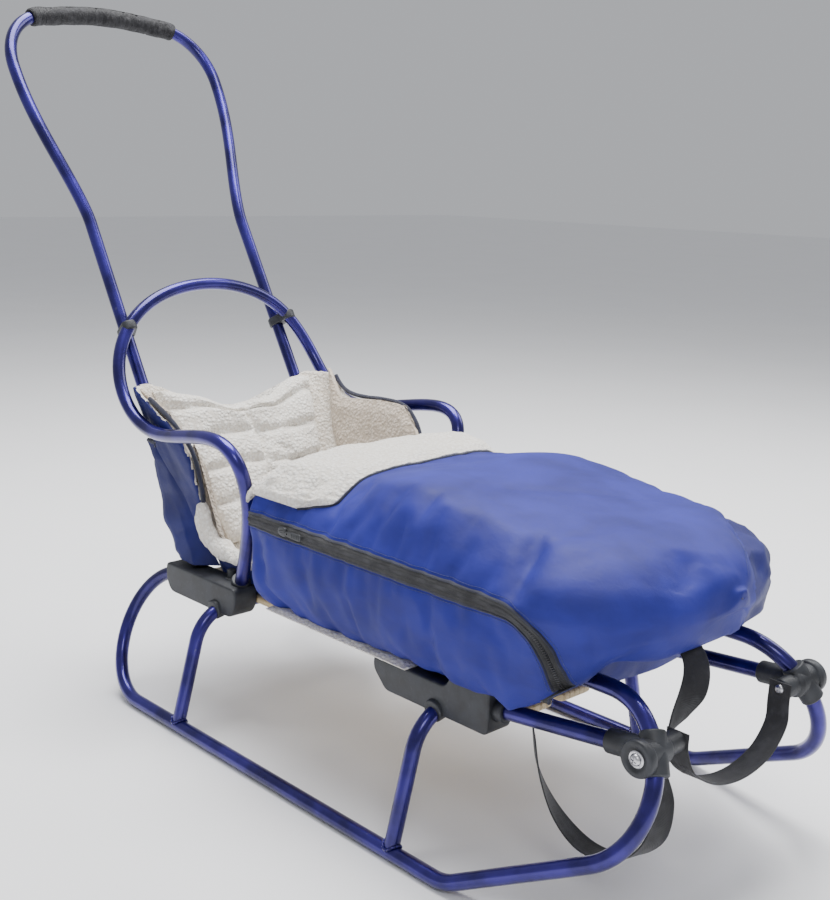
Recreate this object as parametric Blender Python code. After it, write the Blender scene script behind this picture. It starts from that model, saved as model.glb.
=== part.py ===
"""Sled stroller: a steel-tube sled with a hoop backrest, a push handle and a lined footmuff.

Metres, +Z up. The front of the sled faces -Y and the two runners stand at -X and +X. The origin is on
the ground under the middle of the whole length. Along the sled, positions are written as a distance
forward of the rear leg bow and turned into Y in one place.
"""

import math

import bmesh
import bpy
from mathutils import Matrix, Vector

# Where the rear leg bow stands, so that the origin is midway between the grip and the front of the runners.
REAR_BOW_Y = 0.0749

# Steel tube.
TUBE_RADIUS = 0.0085
TUBE_WALL = 0.0015
TUBE_SIDES = 12
BORE_SIDES = 6
FIT = 0.0003
SLIDE_FIT = 0.0005

# Runner side frames. They lean outward at the ground.
RUNNER_HALF_WIDTH = 0.209
RUNNER_LEAN = 0.456
RAIL_HEIGHT = 0.1675
RAIL_HALF_WIDTH = RUNNER_HALF_WIDTH - RUNNER_LEAN * (RAIL_HEIGHT - TUBE_RADIUS)
REAR_BEND_AT = 0.0955
REAR_SOCKET_AT = 0.0775
GROUND_LENGTH_FORWARD = 0.461
GROUND_BEND_RADIUS = 0.057
RISE_ANGLE = 26.5
RISE_LENGTH = 0.1536
CURL_RADIUS = 0.0726
CURL_ANGLE = 87.2
CURL_RUN = 0.005
SCROLL_RADIUS = 0.0737
SCROLL_TOP_RUN = 0.050
SCROLL_DROP_RADIUS = 0.060
SCROLL_DROP_ANGLE = 34.0
SCROLL_DROP_RUN = 0.048

# Leg bows.
MID_BOW_FORWARD = 0.396
BOW_HEIGHT = 0.150
BOW_BEND_RADIUS = 0.050
LEG_SPLAY = 14.9

# Seat slats.
SLAT_COUNT = 4
SLAT_WIDTH = 0.048
SLAT_THICKNESS = 0.010
SLAT_RAIL_GAP = 0.011496
SLATS_HALF_WIDTH = RAIL_HALF_WIDTH - TUBE_RADIUS - SLAT_RAIL_GAP
SLAT_REAR = -0.090
SLAT_FRONT = 0.485
SLAT_EDGE = 0.002
SLAT_BOTTOM = BOW_HEIGHT + TUBE_RADIUS + FIT
SLAT_TOP = SLAT_BOTTOM + SLAT_THICKNESS

# Plastic connectors between the tubes.
CONNECTOR_WIDTH = 0.035
CONNECTOR_INSET = 0.001296
CONNECTOR_MIDDLE = RAIL_HALF_WIDTH - CONNECTOR_INSET
CONNECTOR_BOTTOM = 0.1455
CONNECTOR_TOP = 0.184
REAR_CONNECTOR_REAR = -0.112
REAR_CONNECTOR_FRONT = 0.042
MID_CONNECTOR_REAR = 0.300
MID_CONNECTOR_FRONT = 0.472
MID_CONNECTOR_HIGH = 0.206
MID_CONNECTOR_LOW = 0.180
MID_CONNECTOR_STEP = 0.420
CONNECTOR_CHAMFER = 0.005
CONNECTOR_EDGE = 0.0015
RAIL_INSERT = 0.030
RAIL_END_GAP = 0.008

# Bolts.
SCREW_RADIUS = 0.0025
SCREW_HEAD_RADIUS = 0.0055
SCREW_HEAD_HEIGHT = 0.0025
SCREW_THROUGH = 0.002
SCREW_SIDES = 8

# Front clamps.
CLAMP_AHEAD = 0.189
CLAMP_FORWARD = GROUND_LENGTH_FORWARD + CLAMP_AHEAD
CLAMP_HEIGHT = 0.1886
CLAMP_BODY = 0.029
DISC_RADIUS = 0.018
DISC_THICKNESS = 0.010
BARREL_RADIUS = 0.011
BARREL_LENGTH = 0.023
CLAMP_EDGE = 0.002
CLAMP_SIDES = 18
CLAMP_SCREW_DEPTH = 0.011
CLAMP_HEAD_RADIUS = 0.0065
CLAMP_HEAD_HEIGHT = 0.0038

# Push handle: two legs that lean back, widening above a kink, and a rounded top.
HANDLE_FOOT_BACK = 0.0746
HANDLE_FOOT_HEIGHT = 0.190
HANDLE_SLOPE = 0.6076
HANDLE_INSET = 0.0087
HANDLE_HALF_WIDTH = CONNECTOR_MIDDLE - HANDLE_INSET
HANDLE_LEG_END = 0.205
HANDLE_KINK_HEIGHT = 0.632
HANDLE_KINK_EASE = 0.020
HANDLE_TOP_HEIGHT = 0.897
HANDLE_WIDENING = 0.041
HANDLE_TOP_HALF_WIDTH = HANDLE_HALF_WIDTH + HANDLE_WIDENING
HANDLE_TOP_BEND = 0.075
HANDLE_CROWN = 0.008
SPIGOT_RADIUS = 0.005
SPIGOT_END = 0.156
PLUG_LENGTH = 0.025
COLLAR_THICKNESS = 0.003
GRIP_RADIUS = 0.0135
GRIP_TO_HANDLE_SIDE = 0.0475
GRIP_HALF_WIDTH = HANDLE_TOP_HALF_WIDTH - GRIP_TO_HANDLE_SIDE

# Backrest hoop and armrests, one tube. Its sideways places are counted from the push handle's legs.
HOOP_BASE = (HANDLE_HALF_WIDTH + 0.0015, 0.0190, 0.1740)
HOOP_POST = (HANDLE_HALF_WIDTH + 0.0402, 0.1061, 0.3091)
HOOP_ARM_FRONT = (HANDLE_HALF_WIDTH + 0.0687, 0.0879, 0.4061)
HOOP_ARM_REAR = (HANDLE_HALF_WIDTH + 0.0379, -0.1283, 0.3346)
HOOP_SIDE_HALF_WIDTH = HANDLE_HALF_WIDTH + 0.0474
HOOP_SIDE_HEIGHT = 0.4159
HOOP_SHOULDER_HALF_WIDTH = HANDLE_HALF_WIDTH - 0.0025
HOOP_SHOULDER_HEIGHT = 0.5090
HOOP_TOP_HEIGHT = 0.5410
HOOP_SLOPE = 0.267
HOOP_TO_HANDLE = 0.0222
HOOP_STEPS = 3
GUIDE_WALL = 0.0022
GUIDE_HEIGHT = 0.012

# Footmuff, the foot end: a padded tube of nylon and fleece that is split along the zip.
MUFF_OUTSIDE_HANDLE = 0.0515
MUFF_HALF_WIDTH = HANDLE_HALF_WIDTH + MUFF_OUTSIDE_HANDLE
MUFF_REAR = 0.1045
MUFF_TOE = 0.647
MUFF_WALL = 0.011
MUFF_REAR_WALL = 0.008
MUFF_FLOOR = SLAT_TOP + FIT
MUFF_OVER_CONNECTOR = 0.008
MUFF_FLAT_END = 0.360
MUFF_LIFT_START = 0.420
MUFF_LIFT_END = 0.560
MUFF_LIFT = 0.033
MUFF_MIDDLE = 0.315
MUFF_NOSE = 0.128
MUFF_NOSE_END = 0.10
MUFF_NOSE_POWER = 2.2
MUFF_NOSE_ROOT = 1.4
MUFF_POWER_ABOVE = 0.62
MUFF_POWER_BELOW = 0.42
MUFF_SIDES = 24
ZIP_HEIGHT = 0.295
ZIP_CORNER_FORWARD = 0.563
ZIP_CORNER_RADIUS = 0.062
ZIP_CORNER_STEPS = 12
ZIP_GAP = 0.0006
MUFF_TOP_REAR = 0.352
MUFF_TOP_PEAK = 0.372
MUFF_PEAK_FORWARD = 0.340
MUFF_TOP_TOE = 0.354
MUFF_TUBE_CLEARANCE = 0.0015
TOE_UNDERSIDE = 0.256
TOE_DROOP = 0.190
HINGE_OFFSET = 0.003

# Footmuff, the seat end: a shell with wings, open at the sides under the armrests.
SHELL_WALL = 0.008
SHELL_INSIDE_HANDLE = 0.0125
SHELL_FLOOR_HALF_WIDTH = HANDLE_HALF_WIDTH - SHELL_INSIDE_HANDLE
SHELL_FLARE = 0.215
SHELL_TOP = 0.405
SHELL_TOP_MIDDLE = 0.377
SHELL_LIP = 0.207
SHELL_CORNER = 0.030
SHELL_TO_LEGS = 0.0015
# The cloth pocket behind the seat shell, round the push handle's legs. Each place is a height and how far forward.
POCKET_WALL = 0.003
POCKET_CORNER = 0.016
POCKET_LAP = 0.027
POCKET_TO_LEGS = 0.0018
POCKET_LOW = 0.190
POCKET_SIDE_TOP = 0.325
POCKET_REAR_TOP = 0.290
POCKET_REAR = [(0.170, -0.085), (0.200, -0.112), (0.232, -0.138), (0.262, -0.149), (0.290, -0.154), (0.325, -0.150)]

# Fleece parts.
BACK_CUSHION_THICKNESS = 0.026
BACK_CUSHION_TOP = 0.409
BACK_CUSHION_HALF_WIDTH_LOW = SHELL_FLOOR_HALF_WIDTH - 0.025
BACK_CUSHION_HALF_WIDTH_HIGH = SHELL_FLOOR_HALF_WIDTH + 0.016
SEAT_CUSHION_THICKNESS = 0.024
SEAT_CUSHION_HALF_WIDTH = SHELL_FLOOR_HALF_WIDTH - 0.010
CHANNEL_DEPTH = 0.006
CHANNEL_PITCH = 0.050
MAT_THICKNESS = 0.010
MAT_FRONT = 0.355
CUFF_THICKNESS = 0.014
CUFF_LENGTH = 0.108
CUFF_FRONT = MUFF_REAR + CUFF_LENGTH

# Zip.
TAPE_THICKNESS = 0.0016
TAPE_WIDTH = 0.006
TAPE_LOW_END = 0.232
SLIDER_LENGTH = 0.014
SLIDER_HEIGHT = 0.012
SLIDER_THICKNESS = 0.0045
SLIDER_AT = 0.175
PULL_LENGTH = 0.028
PULL_WIDTH = 0.008
PULL_THICKNESS = 0.0016

# Webbing.
WEBBING_WIDTH = 0.025
WEBBING_THICKNESS = 0.0018
PULL_STRAP_EASE = 0.0012
PULL_STRAP_DROP = [(0.0780, 0.6540, 0.1560), (0.0450, 0.6580, 0.1370), (0.0000, 0.6590, 0.1300)]
# Each place of the tether strap is sideways, forward, height and the turn of its width from sideways.
TETHER_START = [(-0.0150, 0.5980, 0.0, 38.0), (-0.0300, 0.6180, -0.0006, 38.0)]
TETHER_ROUTE = [
    (-0.0460, 0.6370, 0.2450, 42.0), (-0.0620, 0.6460, 0.2290, 46.0), (-0.0700, 0.6380, 0.2020, 10.0),
    (-0.0760, 0.6300, 0.1760, -28.0), (-0.0850, 0.6320, 0.1480, -10.0), (-0.0930, 0.6440, 0.1200, 14.0),
    (-0.1000, 0.6400, 0.0850, 22.0), (-0.1040, 0.6120, 0.0580, 10.0), (-0.1080, 0.5700, 0.0520, 0.0),
    (-0.1150, 0.5360, 0.0760, -24.0), (-0.1260, 0.5190, 0.1180, -46.0),
]
TETHER_END = 0.515
TETHER_END_TURN = -46.0
TETHER_END_GAP = 0.0014

UP = Vector((0.0, 0.0, 1.0))

NAVY_TUBE = ("navy_tube", (0.045, 0.040, 0.190), 0.28, 0.75)
BLACK_PLASTIC = ("black_plastic", (0.030, 0.034, 0.040), 0.50, 0.0)
BLACK_FOAM = ("black_foam", (0.020, 0.020, 0.024), 0.85, 0.0)
BLUE_NYLON = ("blue_nylon", (0.095, 0.120, 0.380), 0.60, 0.0)
CREAM_FLEECE = ("cream_fleece", (0.800, 0.760, 0.680), 0.95, 0.0)
PALE_WOOD = ("pale_wood", (0.560, 0.470, 0.300), 0.60, 0.0)
BRIGHT_STEEL = ("bright_steel", (0.700, 0.700, 0.720), 0.25, 1.0)
ZIP_BLACK = ("zip_black", (0.045, 0.045, 0.050), 0.55, 0.0)
WEBBING = ("webbing", (0.030, 0.030, 0.034), 0.80, 0.0)


def at(x, forward, height):
    """A world point from the sideways place, the distance forward of the rear bow and the height."""
    return Vector((x, REAR_BOW_Y - forward, height))


def clear_scene():
    """Removes whatever the file opened with."""
    for thing in list(bpy.data.objects):
        bpy.data.objects.remove(thing, do_unlink=True)


def material(finish):
    """The Principled material of a finish, made once."""
    name, colour, roughness, metallic = finish
    made = bpy.data.materials.get(name)
    if made is None:
        made = bpy.data.materials.new(name)
        made.use_nodes = True
        shader = made.node_tree.nodes["Principled BSDF"]
        shader.inputs["Base Color"].default_value = (*colour, 1.0)
        shader.inputs["Roughness"].default_value = roughness
        shader.inputs["Metallic"].default_value = metallic
    return made


def make_object(name, mesh_builder, finish=None, smooth=True):
    """Turns a bmesh into a named object with a material, or into a hidden cutter without one."""
    bmesh.ops.remove_doubles(mesh_builder, verts=mesh_builder.verts, dist=0.00001)
    bmesh.ops.recalc_face_normals(mesh_builder, faces=mesh_builder.faces)
    if mesh_builder.calc_volume(signed=True) < 0:
        bmesh.ops.reverse_faces(mesh_builder, faces=mesh_builder.faces)
    mesh = bpy.data.meshes.new(name)
    mesh_builder.to_mesh(mesh)
    mesh_builder.free()
    made = bpy.data.objects.new(name, mesh)
    bpy.context.scene.collection.objects.link(made)
    if finish is None:
        made.hide_render = True
        made.display_type = "WIRE"
    else:
        mesh.materials.append(material(finish))
        if smooth:
            mesh.shade_smooth()
            mesh.set_sharp_from_angle(angle=math.radians(40))
    return made


def boolean(target, cutter, operation="DIFFERENCE"):
    """Adds an exact Boolean with a hidden cutter to an object."""
    step = target.modifiers.new(f"{operation.lower()}_{cutter.name}"[:60], "BOOLEAN")
    step.operation = operation
    step.object = cutter
    step.solver = "EXACT"


def rest_on(child, pivot):
    """Parents an object to a pivot empty and keeps it where it is."""
    child.parent = pivot
    child.matrix_parent_inverse = pivot.matrix_world.inverted()


def pivot_at(name, place):
    """An empty on a joint's axis."""
    pivot = bpy.data.objects.new(name, None)
    pivot.location = place
    bpy.context.scene.collection.objects.link(pivot)
    bpy.context.view_layer.update()
    return pivot


class TubeBender:
    """A tube's centreline in a plane, made of straight runs and bends."""

    def __init__(self, start, heading_degrees):
        self.points = [Vector(start)]
        self.heading = math.radians(heading_degrees)

    def straight(self, length):
        """Runs on by a length."""
        step = Vector((math.cos(self.heading), math.sin(self.heading))) * length
        self.points.append(self.points[-1] + step)
        return self

    def bend(self, radius, degrees, steps):
        """Turns through an angle, positive to the left."""
        turn = math.radians(degrees)
        side = math.copysign(1.0, turn)
        start = self.points[-1]
        centre = start + side * radius * Vector((-math.sin(self.heading), math.cos(self.heading)))
        for step in range(1, steps + 1):
            heading = self.heading + turn * step / steps
            self.points.append(centre - side * radius * Vector((-math.sin(heading), math.cos(heading))))
        self.heading += turn
        return self


def sweep(points, radius, sides=TUBE_SIDES, bore=None, bore_sides=BORE_SIDES):
    """A round bar along a line of points, or a tube when a bore radius is given."""
    rings = {"outer": [], "inner": []}
    shape = bmesh.new()
    tangents = []
    for index, point in enumerate(points):
        before = points[max(index - 1, 0)]
        after = points[min(index + 1, len(points) - 1)]
        tangents.append((after - before).normalized())
    normal = start_normal(points)
    for point, tangent in zip(points, tangents):
        normal = (normal - tangent * normal.dot(tangent)).normalized()
        binormal = tangent.cross(normal)
        for key, size, count in (("outer", radius, sides), ("inner", bore, bore_sides)):
            if size is None:
                continue
            ring = []
            for corner in range(count):
                angle = math.tau * corner / count
                offset = (normal * math.cos(angle) + binormal * math.sin(angle)) * size
                ring.append(shape.verts.new(point + offset))
            rings[key].append(ring)
    for loops in rings.values():
        for first, second in zip(loops, loops[1:]):
            count = len(first)
            for corner in range(count):
                after = (corner + 1) % count
                shape.faces.new((first[corner], first[after], second[after], second[corner]))
    for end in (0, -1):
        if bore is None:
            shape.faces.new(rings["outer"][end])
        else:
            bridge_ring(shape, rings["outer"][end], rings["inner"][end])
    return shape


def start_normal(points):
    """The direction across a line's start that lies in the plane of its first bend, or upright without one."""
    start = (points[1] - points[0]).normalized()
    for here, following in zip(points[1:], points[2:]):
        turn = start.cross((following - here).normalized())
        if turn.length > 0.01:
            return turn.cross(start).normalized()
    return (UP - start * UP.dot(start)).normalized()


def bridge_ring(shape, outer, inner):
    """Closes the flat end between an outer ring and a ring with half as many corners."""
    ratio = len(outer) // len(inner)
    for corner, vertex in enumerate(inner):
        following = inner[(corner + 1) % len(inner)]
        first = corner * ratio
        for step in range(ratio):
            shape.faces.new((outer[(first + step) % len(outer)], outer[(first + step + 1) % len(outer)], vertex))
        shape.faces.new((outer[(first + ratio) % len(outer)], following, vertex))


def skin(rings):
    """A closed skin through rings of places, capped at both ends."""
    shape = bmesh.new()
    loops = [[shape.verts.new(point) for point in ring] for ring in rings]
    for first, second in zip(loops, loops[1:]):
        count = len(first)
        for corner in range(count):
            after = (corner + 1) % count
            shape.faces.new((first[corner], first[after], second[after], second[corner]))
    shape.faces.new(loops[0])
    shape.faces.new(loops[-1])
    return shape


def prism(outline, low_x, high_x):
    """A solid that stands across the sled between two sideways places, from a (forward, height) outline."""
    return skin([[at(x, *point) for point in outline] for x in (low_x, high_x)])


def block(low, high):
    """A box between two corners."""
    shape = bmesh.new()
    middle = (low + high) / 2
    size = high - low
    bmesh.ops.create_cube(shape, size=1.0, matrix=Matrix.Translation(middle) @ Matrix.Diagonal((*size, 1.0)))
    return shape


def lathe(profile, origin, axis, sides=TUBE_SIDES):
    """A turned piece: the profile lists (distance along the axis, radius) from end to end."""
    axis = axis.normalized()
    across = axis.orthogonal().normalized()
    up = axis.cross(across)
    rings = []
    for along, radius in profile:
        ring = []
        for corner in range(sides):
            angle = math.tau * corner / sides
            spoke = across * math.cos(angle) + up * math.sin(angle)
            ring.append(origin + axis * along + spoke * radius)
        rings.append(ring)
    return skin(rings)


def ribbon(points, across, width, thickness):
    """A flat strap along a line, with its width along the given direction at each point."""
    rings = []
    for index, (point, side) in enumerate(zip(points, across)):
        tangent = (points[min(index + 1, len(points) - 1)] - points[max(index - 1, 0)]).normalized()
        side = (side - tangent * side.dot(tangent)).normalized() * width / 2
        face = tangent.cross(side).normalized() * thickness / 2
        rings.append([point + side + face, point - side + face, point - side - face, point + side - face])
    return skin(rings)


def grid_solid(outer, inner):
    """A closed sheet solid between two grids of points with the same rows and columns."""
    shape = bmesh.new()
    sheets = [[[shape.verts.new(point) for point in row] for row in grid] for grid in (outer, inner)]
    rows, columns = len(outer), len(outer[0])
    for sheet in sheets:
        for row in range(rows - 1):
            for column in range(columns - 1):
                near, far = sheet[row], sheet[row + 1]
                shape.faces.new((near[column], near[column + 1], far[column + 1], far[column]))
    border = [(0, column) for column in range(columns)]
    border += [(row, columns - 1) for row in range(1, rows)]
    border += [(rows - 1, column) for column in range(columns - 2, -1, -1)]
    border += [(row, 0) for row in range(rows - 2, 0, -1)]
    for index, (row, column) in enumerate(border):
        next_row, next_column = border[(index + 1) % len(border)]
        top, base = sheets
        corners = (top[row][column], top[next_row][next_column], base[next_row][next_column], base[row][column])
        shape.faces.new(corners)
    return shape


def smooth_through(points, steps):
    """Points along a uniform cubic B-spline near its control points, ends included."""
    control = [2 * points[0] - points[1], *points, 2 * points[-1] - points[-2]]
    line = []
    for index in range(len(control) - 3):
        for step in range(steps):
            line.append(spline_point(control[index : index + 4], step / steps))
    line.append(spline_point(control[-4:], 1.0))
    return line


def spline_point(control, share):
    """One point of a cubic B-spline span."""
    weights = (
        (1 - share) ** 3 / 6,
        (3 * share**3 - 6 * share**2 + 4) / 6,
        (-3 * share**3 + 3 * share**2 + 3 * share + 1) / 6,
        share**3 / 6,
    )
    return sum((point * weight for point, weight in zip(control, weights)), Vector((0.0, 0.0, 0.0)))


def catmull_through(points, steps):
    """Points along a smooth curve that passes through every given point."""
    control = [2 * points[0] - points[1], *points, 2 * points[-1] - points[-2]]
    line = []
    for index in range(len(control) - 3):
        a, b, c, d = control[index : index + 4]
        for step in range(steps):
            t = step / steps
            square = (2 * a - 5 * b + 4 * c - d) * t**2
            cube = (3 * b - a - 3 * c + d) * t**3
            line.append(0.5 * (2 * b + (c - a) * t + square + cube))
    line.append(points[-1])
    return line


def mirrored(points):
    """The same places on the other side of the sled."""
    return [Vector((-point.x, point.y, point.z)) for point in points]


def lean_x(height):
    """How far out the runner side frame stands at a height."""
    return RUNNER_HALF_WIDTH - RUNNER_LEAN * (height - TUBE_RADIUS)


def handle_back(height):
    """How far behind the rear bow the push handle's plane is at a height."""
    return HANDLE_FOOT_BACK + HANDLE_SLOPE * (height - HANDLE_FOOT_HEIGHT)


def hoop_back(height):
    """How far behind the rear bow the hoop's upper part is at a height."""
    crossing = (HOOP_SHOULDER_HEIGHT + HOOP_SIDE_HEIGHT) / 2 + TUBE_RADIUS
    return handle_back(crossing) - HOOP_TO_HANDLE + HOOP_SLOPE * (height - crossing)


def runner_line():
    """A runner's centreline as (forward, height) points, from the rear socket to the end of the scroll."""
    bend_radius = (RAIL_HEIGHT - TUBE_RADIUS) / 2
    bender = TubeBender((-REAR_SOCKET_AT, RAIL_HEIGHT), 180.0)
    bender.straight(REAR_BEND_AT - REAR_SOCKET_AT)
    bender.bend(bend_radius, 180.0, 10)
    bender.straight(REAR_BEND_AT + GROUND_LENGTH_FORWARD)
    bender.bend(GROUND_BEND_RADIUS, RISE_ANGLE, 3)
    bender.straight(RISE_LENGTH)
    bender.bend(CURL_RADIUS, CURL_ANGLE, 6)
    bender.straight(CURL_RUN)
    bender.bend(SCROLL_RADIUS, 180.0 - RISE_ANGLE - CURL_ANGLE, 4)
    bender.straight(SCROLL_TOP_RUN)
    bender.bend(SCROLL_DROP_RADIUS, SCROLL_DROP_ANGLE, 3)
    bender.straight(SCROLL_DROP_RUN)
    return bender.points


def in_frame_plane(flat_points, side):
    """Places (forward, height) points in the leaning side frame of one side."""
    return [at(side * lean_x(height), forward, height) for forward, height in flat_points]


def bow_line(forward):
    """A leg bow's centreline, from the left foot over to the right foot."""
    splay = math.radians(LEG_SPLAY)
    drop = BOW_BEND_RADIUS * (1 - math.sin(splay))
    reach = BOW_BEND_RADIUS * math.cos(splay)
    bend_low = BOW_HEIGHT - drop
    leg_top_x = RUNNER_HALF_WIDTH - (bend_low - TUBE_RADIUS) * math.tan(splay)
    half_flat = leg_top_x - reach
    leg_length = (bend_low - TUBE_RADIUS) / math.cos(splay)
    bender = TubeBender((-RUNNER_HALF_WIDTH, TUBE_RADIUS), 90.0 - LEG_SPLAY)
    bender.straight(leg_length)
    bender.bend(BOW_BEND_RADIUS, -(90.0 - LEG_SPLAY), 6)
    bender.straight(2 * half_flat)
    bender.bend(BOW_BEND_RADIUS, -(90.0 - LEG_SPLAY), 6)
    bender.straight(leg_length)
    return [at(x, forward, height) for x, height in bender.points]


def handle_line():
    """The push handle's centreline, from the left leg's foot over the top to the right leg's foot."""
    top_bend_height = HANDLE_TOP_HEIGHT - HANDLE_TOP_BEND
    half = [
        Vector((HANDLE_HALF_WIDTH, HANDLE_LEG_END)),
        Vector((HANDLE_HALF_WIDTH, HANDLE_KINK_HEIGHT - 2 * HANDLE_KINK_EASE)),
    ]
    rise = top_bend_height - HANDLE_KINK_HEIGHT
    spread = HANDLE_TOP_HALF_WIDTH - HANDLE_HALF_WIDTH
    for step in range(0, 8):
        share = step / 7
        widening = spread * math.sin(share * math.pi / 2) ** 1.5
        height = HANDLE_KINK_HEIGHT - HANDLE_KINK_EASE + (rise + HANDLE_KINK_EASE) * share
        half.append(Vector((HANDLE_HALF_WIDTH + widening, height)))
    for step in range(1, 7):
        angle = math.pi / 2 * step / 6
        inward = HANDLE_TOP_BEND * (1 - math.cos(angle))
        half.append(Vector((HANDLE_TOP_HALF_WIDTH - inward, top_bend_height + HANDLE_TOP_BEND * math.sin(angle))))
    crown_half = HANDLE_TOP_HALF_WIDTH - HANDLE_TOP_BEND
    for step in range(1, 4):
        share = step / 3
        half.append(Vector((crown_half * (1 - share), HANDLE_TOP_HEIGHT + HANDLE_CROWN * math.sin(share * math.pi / 2))))
    left = [at(-x, -handle_back(height), height) for x, height in half]
    return left + mirrored(left[:-1])[::-1]


def hoop_line():
    """The hoop's centreline, from the left base up round the backrest to the right base."""
    right = [Vector(HOOP_BASE), Vector(HOOP_POST), Vector(HOOP_ARM_FRONT), Vector(HOOP_ARM_REAR)]
    right.append(Vector((HOOP_SIDE_HALF_WIDTH, -hoop_back(HOOP_SIDE_HEIGHT), HOOP_SIDE_HEIGHT)))
    right.append(Vector((HOOP_SHOULDER_HALF_WIDTH, -hoop_back(HOOP_SHOULDER_HEIGHT), HOOP_SHOULDER_HEIGHT)))
    left = [at(-x, forward, height) for x, forward, height in right]
    top = at(0.0, -hoop_back(HOOP_TOP_HEIGHT), HOOP_TOP_HEIGHT)
    return smooth_through([*left, top, *mirrored(left)[::-1]], HOOP_STEPS)


def tube(name, points):
    """A steel tube along a line."""
    return make_object(name, sweep(points, TUBE_RADIUS, bore=TUBE_RADIUS - TUBE_WALL), NAVY_TUBE)


def clearance(name, points, extra=FIT, radius=TUBE_RADIUS):
    """A hidden bar that cuts room for a tube."""
    return make_object(f"room_{name}", sweep(points, radius + extra))


SIDES = (("left", -1.0), ("right", 1.0))
BOWS = (("rear", 0.0), ("mid", MID_BOW_FORWARD))
UP = Vector((0.0, 0.0, 1.0))


class Screw:
    """An upright screw: its head lies level with the top of what it holds, and its shank ends in a bow."""

    def __init__(self, name, top):
        self.name = name
        self.top = top
        self.depth = top.z - (BOW_HEIGHT + TUBE_RADIUS) + TUBE_WALL + SCREW_THROUGH

    def profile(self, extra, above):
        """The turned outline, made fatter by an allowance and ending above or below the top."""
        return [
            (-self.depth - extra, SCREW_RADIUS + extra), (-SCREW_HEAD_HEIGHT - extra, SCREW_RADIUS + extra),
            (-SCREW_HEAD_HEIGHT - extra, SCREW_HEAD_RADIUS + extra), (above, SCREW_HEAD_RADIUS + extra),
        ]

    def hold(self, *pieces):
        """Makes the screw and drills every piece that it goes through."""
        make_object(self.name, lathe(self.profile(0.0, -FIT), self.top, UP, SCREW_SIDES), BRIGHT_STEEL)
        room = make_object(f"drill_{self.name}", lathe(self.profile(FIT, SCREW_HEAD_HEIGHT), self.top, UP, SCREW_SIDES))
        for piece in pieces:
            boolean(piece, room)


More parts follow.
